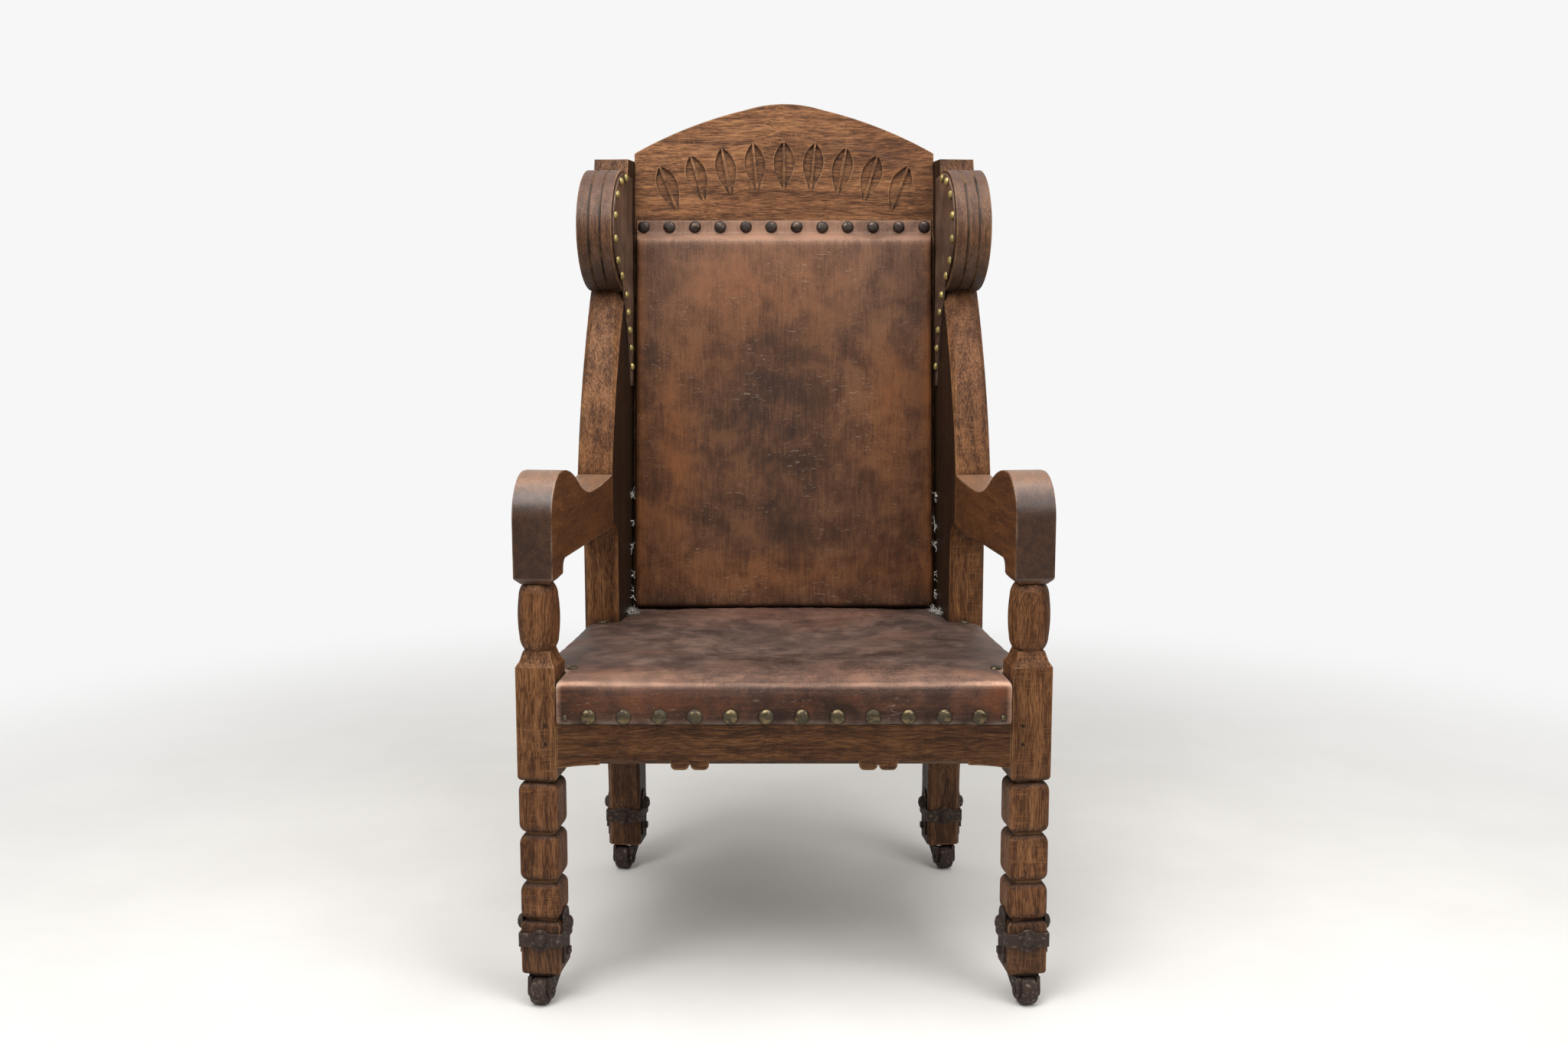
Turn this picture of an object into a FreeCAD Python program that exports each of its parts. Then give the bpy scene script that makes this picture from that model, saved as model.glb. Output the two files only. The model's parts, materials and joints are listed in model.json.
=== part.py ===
import FreeCAD, Part
import math
import os
import types

import Sketcher

Vector = FreeCAD.Vector
Placement = FreeCAD.Placement
Rotation = FreeCAD.Rotation
UP = Vector(0, 0, 1)
ACROSS = Vector(1, 0, 0)

# Driving dimensions in millimetres. A name that ends in angle is in degrees, and one in count is a count.
# A reach is measured back from the front line along a side of the chair.
# A level is a height over the floor.
SIZES = {
    # The two sides of the chair, which draw together towards the back
    "splay_angle": 6.6,
    "half_front": 336.0,
    "board": 55.0,
    "overrun": 20.0,
    # Front legs
    "foot_clear": 44.0,
    "foot_height": 77.5,
    "block_height": 64.0,
    "block_gap": 2.0,
    "block_core": 39.0,
    "block_round": 7.5,
    "shaft_height": 158.5,
    "neck_height": 21.0,
    "neck_waist_height": 8.0,
    "neck_waist_width": 45.0,
    "neck_width": 37.0,
    "barrel_height": 92.0,
    "barrel_radius": 25.5,
    "barrel_end_radius": 20.0,
    "barrel_shoulder": 17.0,
    "barrel_shoulder_curve": 26.0,
    "barrel_belly_curve": 420.0,
    "leg_tenon_radius": 12.0,
    "leg_tenon_length": 38.0,
    # Arms
    "arm_drop": 27.0,
    "arm_rear_depth": 82.0,
    "arm_dip_depth": 73.0,
    "arm_crown_depth": 121.0,
    "arm_crown_reach": 64.0,
    "arm_face_round": 61.0,
    "arm_dip_reach": 235.0,
    "arm_hook_depth": 57.0,
    "arm_hook_bevel": 8.0,
    "arm_notch_round": 14.0,
    "arm_tenon_length": 42.0,
    "arm_tenon_height": 52.0,
    "arm_tenon_width": 18.0,
    # Rear posts
    "rear_foot_reach": 570.0,
    "leg_curve_base": 150.0,
    "leg_curve_top": 430.0,
    "leg_edge_bevel": 6.0,
    "post_arm_reach": 369.0,
    "post_cove": 28.0,
    "post_ear_reach": 467.0,
    "post_ear_level": 985.0,
    "post_top_reach": 518.0,
    "post_top_level": 1193.0,
    "post_back_reach": 546.0,
    "post_back_level": 460.0,
    "wing_edge_curve": 850.0,
    "wing_bevel": 13.0,
    # Ears
    "ear_radius": 94.0,
    "ear_reach": 386.0,
    "ear_level": 1079.0,
    "ear_groove": 2.0,
    "ear_groove_step": 18.0,
    # Seat rails
    "rail_base": 349.0,
    "rail_height": 77.0,
    "rail_width": 32.0,
    "rail_proud": 3.5,
    "rail_tenon_height": 52.0,
    "rail_tenon_width": 12.0,
    "rail_tenon_length": 30.0,
    "rail_arch_run": 58.0,
    "rail_arch_rise": 5.0,
    "rail_arch_curve": 340.0,
    "rail_lobe_place": 128.0,
    "rail_lobe_width": 25.0,
    "rail_lobe_drop": 7.0,
    "rail_lobe_gap": 2.0,
    "rail_bevel": 7.0,
    "rear_rail_reach": 470.0,
    "side_rail_outset": 19.5,
    "corner_block_length": 90.0,
    "corner_block_height": 45.0,
    "peg_radius": 4.0,
    "peg_length": 45.0,
    # Seat
    "leather": 2.5,
    "seat_flap_level": 403.0,
    "seat_gap": 1.0,
    "seat_rear_gap": 8.0,
    "web": 2.0,
    "web_width": 50.0,
    "web_bearing": 14.0,
    "seat_web_gap": 30.0,
    "back_web_gap": 28.0,
    "back_web_rise_gap": 55.0,
    "seat_stuffing": 28.0,
    "seat_crown_curve": 4200.0,
    "seat_edge_round": 9.0,
    # Back
    "back_rake_angle": 4.0,
    "back_reach": 506.0,
    "back_level": 440.0,
    "back_frame": 26.0,
    "back_rail_height": 60.0,
    "back_stile_width": 34.0,
    "back_tenon_length": 24.0,
    "back_tenon_width": 10.0,
    "back_tenon_height": 40.0,
    "crest_foot": 635.0,
    "crest_end_rise": 132.0,
    "crest_apex_rise": 212.0,
    "crest_apex_run": 62.0,
    "crest_apex_curve": 210.0,
    "crest_side_drop": 9.0,
    "crest_side_curve": 700.0,
    "crest_tenon_height": 80.0,
    "panel_foot": 26.0,
    "panel_lap": 25.0,
    "panel_margin": 22.0,
    "panel_slope": 16.0,
    "panel_side_gap": 2.8,
    "panel_taper": 7.5,
    "panel_depth": 23.5,
    "panel_crown_curve": 9000.0,
    "panel_edge_round": 7.0,
    # Wing leathers
    "wing_leather": 3.0,
    "wing_margin": 5.0,
    "wing_rear_reach": 530.0,
    "wing_point_level": 832.0,
    "wing_point_reach": 506.0,
    "wing_break_reach": 452.0,
    "wing_break_drop": 78.0,
    "wing_hollow_curve": 420.0,
    # Round-headed nails
    "nail_radius": 9.5,
    "nail_height": 5.0,
    "small_nail_radius": 6.3,
    "small_nail_height": 4.6,
    "nail_shank": 2.4,
    "nail_length": 13.0,
    "nail_inset": 11.0,
    "nail_end_inset": 44.0,
    "seat_nail_count": 12,
    "side_nail_count": 6,
    "crest_nail_count": 12,
    "wing_nail_inset": 7.5,
    "wing_nail_count": 7,
    "wing_edge_nail_count": 5,
    "outer_nail_count": 7,
    # Foot collars
    "collar": 3.0,
    "collar_level": 86.0,
    "collar_height": 20.0,
    "collar_boss_radius": 15.5,
    "tongue_width": 30.0,
    "tongue_base": 58.0,
    "tongue_top": 136.0,
    "collar_bolt_radius": 9.0,
    "collar_bolt_height": 5.0,
    "side_bolt_radius": 12.0,
    "side_bolt_height": 7.0,
    "side_bolt_level": 112.0,
    "bolt_shank": 6.0,
    "bolt_length": 18.0,
    "collar_screw_width": 9.0,
    "collar_screw_height": 5.0,
    "collar_screw_level": 72.0,
    # Castors
    "castor_plate_width": 39.0,
    "castor_plate": 3.5,
    "stem_radius": 5.0,
    "stem_length": 42.0,
    "running_clearance": 0.05,
    "swivel_clearance": 0.3,
    "castor_trail": 18.0,
    "wheel_radius": 19.5,
    "wheel_width": 23.0,
    "wheel_edge": 2.0,
    "wheel_side_clearance": 0.5,
    "fork_cheek": 5.0,
    "fork_crown": 4.0,
    "fork_crown_front": 5.0,
    "fork_back": 14.0,
    "fork_front": 26.0,
    "fork_eye_radius": 10.0,
    "axle_radius": 3.0,
    "axle_head_radius": 5.0,
    "axle_head": 2.0,
    "castor_turn_angle": 8.0,
}

# Shares of the sizes that they follow
HALF_SHARE = 0.5
DOME_WAIST_SHARE = 0.76
DOME_RISE_SHARE = 0.68
DOME_CROWN_SHARE = 0.34
HEAD_SIDE_COUNT = 10


class Size:
    """A named size, or a sum worked out from named sizes, with the formula that binds it to the sheet."""

    def __init__(self, value, formula):
        self.value = value
        self.formula = formula

    def __add__(self, other):
        other = as_size(other)
        return Size(self.value + other.value, "(%s + %s)" % (self.formula, other.formula))

    def __radd__(self, other):
        return as_size(other) + self

    def __sub__(self, other):
        other = as_size(other)
        return Size(self.value - other.value, "(%s - %s)" % (self.formula, other.formula))

    def __rsub__(self, other):
        return as_size(other) - self

    def __mul__(self, other):
        other = as_size(other)
        return Size(self.value * other.value, "(%s * %s)" % (self.formula, other.formula))

    def __rmul__(self, other):
        return as_size(other) * self

    def __truediv__(self, other):
        other = as_size(other)
        return Size(self.value / other.value, "(%s / %s)" % (self.formula, other.formula))

    def __neg__(self):
        return Size(-self.value, "(0 - %s)" % self.formula)


def as_size(thing):
    """A plain number, such as a share or a count, as a Size."""
    if isinstance(thing, Size):
        return thing
    return Size(float(thing), repr(float(thing)))


def cosine(angle):
    return Size(math.cos(math.radians(angle.value)), "cos(%s)" % angle.formula)


def sine(angle):
    return Size(math.sin(math.radians(angle.value)), "sin(%s)" % angle.formula)


def tangent(angle):
    return Size(math.tan(math.radians(angle.value)), "tan(%s)" % angle.formula)


def curve_from_tangent(run, offset):
    """Radius of an arc that leaves a straight line and drifts by offset over a run along that line."""
    return (run * run + offset * offset) / (offset + offset)


ZERO = Size(0.0, "0")

doc = FreeCAD.newDocument("throne_chair")
sheet = doc.addObject("Spreadsheet::Sheet", "sizes")
for row, (alias, amount) in enumerate(SIZES.items(), start=1):
    sheet.set("A%d" % row, alias)
    sheet.set("B%d" % row, str(amount))
    sheet.setAlias("B%d" % row, alias)
doc.recompute()
bound_sizes = {alias: Size(float(amount), "sizes." + alias) for alias, amount in SIZES.items()}
size = types.SimpleNamespace(**bound_sizes)

# Heights and places that follow from the driving dimensions
half_board = size.board / 2
foot_top = size.foot_clear + size.foot_height
block_pitch = size.block_height + size.block_gap
shaft_base = foot_top + block_pitch * 3 + size.block_gap
shaft_top = shaft_base + size.shaft_height
barrel_base = shaft_top + size.neck_height
barrel_top = barrel_base + size.barrel_height
arm_underside = barrel_top + size.arm_drop
arm_rear_top = arm_underside + size.arm_rear_depth
rail_top = size.rail_base + size.rail_height
web_top = rail_top + size.web * 2
seat_edge_level = web_top + size.seat_stuffing + size.leather
ear_middle = size.ear_reach + size.ear_radius
flap_face = size.rail_proud + size.leather
rear_foot_extent = size.rear_foot_reach + half_board + size.collar + size.collar_bolt_height
rear_extent = rear_foot_extent * cosine(size.splay_angle)
front_extent = flap_face + size.nail_height
front_line = (front_extent - rear_extent) / 2
stem_top = size.foot_clear - size.castor_plate - size.swivel_clearance
post_low_reach = size.post_arm_reach + size.post_cove
seat_rear_reach = size.back_reach - size.seat_rear_gap
crest_end = size.crest_foot + size.crest_end_rise
crest_apex = size.crest_foot + size.crest_apex_rise
panel_top = size.crest_foot + size.panel_lap
back_inner_face = (size.half_front - half_board / cosine(size.splay_angle)
                   - size.back_reach * tangent(size.splay_angle))
panel_foot_half = back_inner_face - size.panel_side_gap
panel_top_half = panel_foot_half - size.panel_taper
back_half = size.half_front - (size.back_reach + size.panel_depth) * tangent(size.splay_angle)
post_back_rise = size.post_top_level - size.post_back_level
post_top_back = size.post_back_reach + post_back_rise * tangent(size.back_rake_angle)


class Bend:
    """Marks the edge after a corner as an arc that bulges left or right of the outline's way."""

    def __init__(self, radius, left):
        self.radius = radius
        self.left = left


def origin_plane(body, role):
    return next(plane for plane in body.Origin.OriginFeatures if plane.Role == role)


def new_body(name):
    body = doc.addObject("PartDesign::Body", name)
    body.Label = name
    return body


def new_sketch(body, plane, name, lift=None):
    sketch = body.newObject("Sketcher::SketchObject", name)
    sketch.AttachmentSupport = (origin_plane(body, plane), [""])
    sketch.MapMode = "FlatFace"
    if lift is not None:
        sketch.AttachmentOffset = Placement(Vector(0, 0, lift.value), Rotation())
        sketch.setExpression("AttachmentOffset.Base.z", lift.formula)
    return sketch


def bind_constraint(sketch, constraint, formula):
    index = sketch.addConstraint(constraint)
    sketch.setExpression("Constraints[%d]" % index, formula)


def pin_point(sketch, edge, end, across, upward):
    """Hold one end of an edge at a bound distance from the sketch's two axes."""
    if across is ZERO:
        sketch.addConstraint(Sketcher.Constraint("PointOnObject", edge, end, -2))
    else:
        level_rule = Sketcher.Constraint("DistanceX", -1, 1, edge, end, across.value)
        bind_constraint(sketch, level_rule, across.formula)
    if upward is ZERO:
        sketch.addConstraint(Sketcher.Constraint("PointOnObject", edge, end, -1))
    else:
        upright_rule = Sketcher.Constraint("DistanceY", -1, 1, edge, end, upward.value)
        bind_constraint(sketch, upright_rule, upward.formula)


def arc_between(start, finish, bend):
    """Arc from start to finish, stored counter-clockwise as a sketch keeps it."""
    chord = finish - start
    radius = bend.radius.value
    rise = math.sqrt(max(radius ** 2 - chord.Length ** 2 / 4, 0))
    leftward = Vector(-chord.y, chord.x, 0).normalize()
    middle = (start + finish) / 2
    centre = middle - leftward * rise if bend.left else middle + leftward * rise
    first, last = (finish, start) if bend.left else (start, finish)
    begin = math.atan2(first.y - centre.y, first.x - centre.x)
    end = math.atan2(last.y - centre.y, last.x - centre.x)
    return Part.ArcOfCircle(Part.Circle(centre, UP, radius), begin, end)


def outline(body, plane, name, corners, lift=None):
    """Closed sketch through corners (across, upward) or (across, upward, Bend), bound to the sheet."""
    sketch = new_sketch(body, plane, name, lift)
    points = [Vector(corner[0].value, corner[1].value, 0) for corner in corners]
    ends = []
    for index, corner in enumerate(corners):
        start = points[index]
        finish = points[(index + 1) % len(points)]
        if len(corner) > 2:
            sketch.addGeometry(arc_between(start, finish, corner[2]))
            ends.append((2, 1) if corner[2].left else (1, 2))
        else:
            sketch.addGeometry(Part.LineSegment(start, finish))
            ends.append((1, 2))
    for index, corner in enumerate(corners):
        follower = (index + 1) % len(corners)
        joint = Sketcher.Constraint("Coincident", index, ends[index][1], follower, ends[follower][0])
        sketch.addConstraint(joint)
    for index, corner in enumerate(corners):
        pin_point(sketch, index, ends[index][0], corner[0], corner[1])
        if len(corner) > 2:
            radius = corner[2].radius
            bind_constraint(sketch, Sketcher.Constraint("Radius", index, radius.value), radius.formula)
    return sketch


def pad(body, sketch, length, symmetric=False, reverse=False):
    feature = body.newObject("PartDesign::Pad", sketch.Name + "_pad")
    feature.Profile = sketch
    feature.setExpression("Length", length.formula)
    feature.Reversed = reverse
    if symmetric:
        feature.SideType = "Symmetric"
    return feature


def turn(body, sketch):
    """Full turn of a profile drawn on the XZ plane, about the upright axis of the sketch."""
    feature = body.newObject("PartDesign::Revolution", sketch.Name + "_turn")
    feature.Profile = sketch
    feature.ReferenceAxis = (sketch, ["V_Axis"])
    return feature


def loft(body, name, sections):
    """Straight-sided loft through sketches that have the same number of corners."""
    feature = body.newObject("PartDesign::AdditiveLoft", name)
    feature.Profile = sections[0]
    feature.Sections = [(section, [""]) for section in sections[1:]]
    feature.Ruled = True
    return feature


def soften(body, kind, edge_test, amount):
    """Fillet or chamfer the edges of the body's tip that pass a test."""
    doc.recompute()
    tip = body.Tip
    chosen = ["Edge%d" % (n + 1) for n, edge in enumerate(tip.Shape.Edges) if edge_test(edge)]
    feature = body.newObject("PartDesign::" + kind, body.Name + "_" + kind.lower())
    feature.Base = (tip, chosen)
    feature.setExpression("Radius" if kind == "Fillet" else "Size", amount.formula)
    return feature


def place(thing, x, y, z, rotation=Rotation()):
    thing.Placement = Placement(Vector(x.value, y.value, z.value), rotation)
    thing.setExpression("Placement.Base.x", x.formula)
    thing.setExpression("Placement.Base.y", y.formula)
    thing.setExpression("Placement.Base.z", z.formula)
    return thing


SIDE_TURN = Rotation(UP, size.splay_angle.value)
BACK_TURN = Rotation(ACROSS, -size.back_rake_angle.value)


def place_on_side(thing, outward, reach, level, rotation=SIDE_TURN):
    """Place a thing in the right-hand side of the chair, which leans in towards the back."""
    x = size.half_front + outward * cosine(size.splay_angle) - reach * sine(size.splay_angle)
    y = front_line + outward * sine(size.splay_angle) + reach * cosine(size.splay_angle)
    return place(thing, x, y, level, rotation)


def place_on_back(thing, across, behind, rise):
    """Place a thing in the raked frame of the back: behind its front face, and up its slope."""
    lean = size.back_rake_angle
    y = front_line + size.back_reach + behind * cosine(lean) + rise * sine(lean)
    z = size.back_level - behind * sine(lean) + rise * cosine(lean)
    return place(thing, across, y, z, BACK_TURN)


def box(name, width, depth, height):
    thing = doc.addObject("Part::Box", name)
    thing.setExpression("Length", width.formula)
    thing.setExpression("Width", depth.formula)
    thing.setExpression("Height", height.formula)
    return thing


def cylinder(name, radius, height):
    thing = doc.addObject("Part::Cylinder", name)
    thing.setExpression("Radius", radius.formula)
    thing.setExpression("Height", height.formula)
    return thing


def cut(label, base, tool):
    thing = doc.addObject("Part::Cut", label)
    thing.Base = base
    thing.Tool = tool
    thing.Refine = True
    return thing


def common(label, base, tool):
    thing = doc.addObject("Part::Common", label)
    thing.Base = base
    thing.Tool = tool
    return thing


def fuse(label, shapes):
    thing = doc.addObject("Part::MultiFuse", label)
    thing.Shapes = shapes
    thing.Refine = True
    return thing


def group(label, shapes):
    thing = doc.addObject("Part::Compound", label)
    thing.Links = shapes
    return thing


def mirrored(source, label):
    """The left-hand twin of a right-hand piece."""
    thing = doc.addObject("Part::Mirroring", label)
    thing.Source = source
    thing.Base = Vector(0, 0, 0)
    thing.Normal = ACROSS
    return thing


def copies(label, source, placements):
    """Separate solids of one repeated piece, in one node."""
    doc.recompute()
    thing = doc.addObject("Part::Feature", label)
    shapes = [source.Shape.transformed(spot.toMatrix(), True) for spot in placements]
    thing.Shape = Part.makeCompound(shapes)
    return thing


def side_spot(outward, reach, level, rotation):
    """Placement in the right-hand side, from plain sizes, for one of a group of copies."""
    shift = SIDE_TURN.multVec(Vector(outward, reach, 0))
    base = Vector(size.half_front.value + shift.x, front_line.value + shift.y, level)
    return Placement(base, SIDE_TURN * rotation)


def back_spot(across, behind, rise, rotation):
    """Placement in the raked frame of the back, from plain sizes, for one of a group of copies."""
    shift = BACK_TURN.multVec(Vector(across, behind, rise))
    base = Vector(0, front_line.value + size.back_reach.value, size.back_level.value) + shift
    return Placement(base, BACK_TURN * rotation)


def mirror_spot(spot):
    """The same spot on the left-hand side, for a piece that is round about its own axis."""
    axis = spot.Rotation.multVec(UP)
    base = Vector(-spot.Base.x, spot.Base.y, spot.Base.z)
    return Placement(base, Rotation(UP, Vector(-axis.x, axis.y, axis.z)))


FACING_FRONT = Rotation(UP, Vector(0, -1, 0))
FACING_BACK = Rotation(UP, Vector(0, 1, 0))
FACING_OUT = Rotation(UP, ACROSS)
FACING_IN = Rotation(UP, Vector(-1, 0, 0))


def spread(first, last, count):
    """Evenly spaced places from first to last."""
    return [first + (last - first) * step / (count - 1) for step in range(count)]


def is_level_edge(edge, low, high):
    """True for an edge that lies flat between two heights."""
    bounds = edge.BoundBox
    return bounds.ZLength < size.running_clearance.value and low < bounds.ZMin < high


# Front legs


def square(body, name, width, base):
    half = width / 2
    corners = [(-half, -half), (half, -half), (half, half), (-half, half)]
    return outline(body, "XY_Plane", name, corners, base)


def build_front_leg():
    """Right front leg: foot, stacked blocks on a core, square shaft, and turned barrel with its tenon."""
    body = new_body("front_leg_blank")
    pad(body, square(body, "core", size.block_core, size.foot_clear), shaft_base - size.foot_clear)
    pad(body, square(body, "foot_block", size.board, size.foot_clear), size.foot_height)
    for number in range(3):
        base = foot_top + size.block_gap + block_pitch * number
        pad(body, square(body, "block_%d" % number, size.board, base), size.block_height)
    pad(body, square(body, "shaft", size.board, shaft_base), size.shaft_height)
    reach = half_board.value - size.block_round.value
    low = size.foot_clear.value - size.block_gap.value
    high = shaft_base.value + size.block_gap.value

    def on_block_face(edge):
        bounds = edge.BoundBox
        across = max(abs(bounds.XMin), abs(bounds.XMax))
        deep = max(abs(bounds.YMin), abs(bounds.YMax))
        far = across > reach and deep > reach
        return far and is_level_edge(edge, low, high)

    soften(body, "Fillet", on_block_face, size.block_round)
    loft(body, "neck", [
        square(body, "neck_base", size.board, shaft_top),
        square(body, "neck_waist", size.neck_waist_width, shaft_top + size.neck_waist_height),
        square(body, "neck_top", size.neck_width, barrel_base),
    ])
    shoulder_base = barrel_base + size.barrel_shoulder
    shoulder_top = barrel_top - size.barrel_shoulder
    profile = [
        (ZERO, barrel_base),
        (size.barrel_end_radius, barrel_base, Bend(size.barrel_shoulder_curve, False)),
        (size.barrel_radius, shoulder_base, Bend(size.barrel_belly_curve, False)),
        (size.barrel_radius, shoulder_top, Bend(size.barrel_shoulder_curve, False)),
        (size.barrel_end_radius, barrel_top),
        (size.leg_tenon_radius, barrel_top),
        (size.leg_tenon_radius, barrel_top + size.leg_tenon_length),
        (ZERO, barrel_top + size.leg_tenon_length),
    ]
    turn(body, outline(body, "XZ_Plane", "barrel", profile))
    return place_on_side(body, ZERO, half_board, ZERO)


# Rear posts


def build_rear_post():
    """Right rear post, cut from a wide board: foot, raked leg, deep middle, and the ear's edge."""
    body = new_body("rear_post_board")
    foot_front = size.rear_foot_reach - half_board
    foot_back = size.rear_foot_reach + half_board
    curve_middle = (size.leg_curve_base + size.leg_curve_top) / 2
    front_middle = (foot_front + post_low_reach) / 2
    front_curve = curve_from_tangent(size.leg_curve_top - curve_middle, foot_front - front_middle)
    back_middle = (foot_back + size.post_back_reach) / 2
    back_middle_level = (size.leg_curve_base + size.post_back_level) / 2
    back_curve = curve_from_tangent(size.post_back_level - back_middle_level, foot_back - back_middle)
    cove = size.post_cove
    corners = [
        (foot_front, size.foot_clear),
        (foot_back, size.foot_clear),
        (foot_back, size.leg_curve_base, Bend(back_curve, False)),
        (back_middle, back_middle_level, Bend(back_curve, True)),
        (size.post_back_reach, size.post_back_level),
        (post_top_back, size.post_top_level),
        (size.post_top_reach, size.post_top_level),
        (size.post_ear_reach, size.post_ear_level, Bend(size.wing_edge_curve, False)),
        (size.post_arm_reach, arm_rear_top),
        (size.post_arm_reach, arm_underside, Bend(cove, True)),
        (post_low_reach, arm_underside - cove),
        (post_low_reach, size.leg_curve_top, Bend(front_curve, False)),
        (front_middle, curve_middle, Bend(front_curve, True)),
        (foot_front, size.leg_curve_base),
    ]
    pad(body, outline(body, "YZ_Plane", "post_outline", corners), size.board, symmetric=True)
    low = foot_top.value
    high = size.leg_curve_top.value - size.leg_edge_bevel.value
    front_most = post_low_reach.value - size.leg_edge_bevel.value
    back_most = foot_front.value + size.leg_edge_bevel.value

    def on_leg_front(edge):
        bounds = edge.BoundBox
        along = bounds.XLength < size.running_clearance.value and bounds.ZLength > size.board.value
        within = bounds.ZMax < high + size.board.value and bounds.ZMin > low and bounds.YMin > front_most
        return along and within and bounds.YMax < back_most

    soften(body, "Chamfer", on_leg_front, size.leg_edge_bevel)
    return place_on_side(body, ZERO, ZERO, ZERO)


def wing_edge_point(share):
    """Point on the post's front edge between the arm and the ear, at a share of the way up."""
    start = Vector(size.post_arm_reach.value, arm_rear_top.value, 0)
    finish = Vector(size.post_ear_reach.value, size.post_ear_level.value, 0)
    arc = arc_between(finish, start, Bend(size.wing_edge_curve, False))
    place_on_arc = arc.LastParameter + (arc.FirstParameter - arc.LastParameter) * share
    return arc.value(place_on_arc)


def build_wing_bevel(outward):
    """Tapering bevel along one front edge of the right post, widest under the ear."""
    shares = (0.0, HALF_SHARE, 1.0)
    wires = []
    for share in shares:
        point = wing_edge_point(share)
        least = size.running_clearance.value
        bevel = max(size.wing_bevel.value * share, least)
        face = half_board.value * outward
        corner = Vector(face + outward * bevel, point.x - bevel, point.y)
        on_front = Vector(face - outward * bevel, point.x - least, point.y)
        on_side = Vector(face + outward * least, point.x + bevel, point.y)
        wires.append(Part.makePolygon([corner, on_front, on_side, corner]))
    thing = doc.addObject("Part::Feature", "wing_bevel_%s" % ("out" if outward > 0 else "in"))
    thing.Shape = Part.makeLoft(wires, True, False)
    return place_on_side(thing, ZERO, ZERO, ZERO)


# Arms and ears


def build_arm():
    """Right arm: a board with a rounded, dropped front end over the leg and a dip before the post."""
    body = new_body("arm_board")
    crown = arm_underside + size.arm_crown_depth
    dip = arm_underside + size.arm_dip_depth
    front_curve = curve_from_tangent(size.arm_face_round, size.arm_crown_reach)
    wave_reach = (size.arm_crown_reach + size.arm_dip_reach) / 2
    wave_level = (crown + dip) / 2
    wave_curve = curve_from_tangent(size.arm_dip_reach - wave_reach, wave_level - dip)
    rise_curve = curve_from_tangent(size.post_arm_reach - size.arm_dip_reach, arm_rear_top - dip)
    notch = size.arm_notch_round
    corners = [
        (ZERO, barrel_top),
        (size.arm_hook_depth, barrel_top),
        (size.arm_hook_depth, arm_underside - notch, Bend(notch, True)),
        (size.arm_hook_depth + notch, arm_underside),
        (size.post_arm_reach, arm_underside),
        (size.post_arm_reach, arm_rear_top, Bend(rise_curve, True)),
        (size.arm_dip_reach, dip, Bend(wave_curve, True)),
        (wave_reach, wave_level, Bend(wave_curve, False)),
        (size.arm_crown_reach, crown, Bend(front_curve, False)),
        (ZERO, crown - size.arm_face_round),
    ]
    pad(body, outline(body, "YZ_Plane", "arm_outline", corners), size.board, symmetric=True)
    foot = barrel_top.value
    tolerance = size.running_clearance.value
    low = foot - tolerance
    high = foot + tolerance
    soften(body, "Chamfer", lambda edge: is_level_edge(edge, low, high), size.arm_hook_bevel)
    middle = arm_underside + size.arm_rear_depth / 2
    tenon_corners = [
        (-size.arm_tenon_width / 2, middle - size.arm_tenon_height / 2),
        (size.arm_tenon_width / 2, middle - size.arm_tenon_height / 2),
        (size.arm_tenon_width / 2, middle + size.arm_tenon_height / 2),
        (-size.arm_tenon_width / 2, middle + size.arm_tenon_height / 2),
    ]
    tenon = outline(body, "XZ_Plane", "arm_tenon", tenon_corners, -size.post_arm_reach)
    pad(body, tenon, size.arm_tenon_length, reverse=True)
    return place_on_side(body, ZERO, ZERO, ZERO)


def build_ear(post):
    """Right ear: a thick round board let against the post's front edge, with two grooves round its rim."""
    body = new_body("ear_disc")
    rim = size.ear_radius
    depth = size.ear_groove
    profile = [(ZERO, -half_board), (rim, -half_board)]
    for middle in (-size.ear_groove_step / 2, size.ear_groove_step / 2):
        profile += [(rim, middle - depth), (rim - depth, middle), (rim, middle + depth)]
    profile += [(rim, half_board), (ZERO, half_board)]
    turn(body, outline(body, "XZ_Plane", "ear_profile", profile))
    place_on_side(body, ZERO, ear_middle, size.ear_level, SIDE_TURN * FACING_OUT)
    return cut("ear_right", body, post)


# Seat frame


def rail_tenon(name, length, outward, reach, along_side):
    """Tenon of a seat rail, centred on its height, along the side of the chair or across it."""
    base = size.rail_base + (size.rail_height - size.rail_tenon_height) / 2
    if along_side:
        tenon = box(name, size.rail_tenon_width, length, size.rail_tenon_height)
        return place_on_side(tenon, outward, reach, base)
    tenon = box(name, length, size.rail_tenon_width, size.rail_tenon_height)
    return place(tenon, outward, reach, base)


def rail_lobe(middle, level):
    """Small flat-footed drop with rounded corners on the rail's lower edge."""
    half = size.rail_lobe_width / 2
    drop = size.rail_lobe_drop
    corner = Bend(drop, False)
    return [
        (middle - half, level, corner),
        (middle - half + drop, level - drop),
        (middle + half - drop, level - drop, corner),
        (middle + half, level),
    ]


def rail_bevel(name, first, length, level):
    """Stretch of the stopped bevel along the rail's lower front edge, between the drops."""
    body = new_body(name)
    bevel = size.rail_bevel
    corners = [(ZERO, level), (bevel, level), (ZERO, level + bevel)]
    pad(body, outline(body, "YZ_Plane", name + "_section", corners), length)
    return place(body, first, front_line - size.rail_proud, ZERO)


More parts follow.
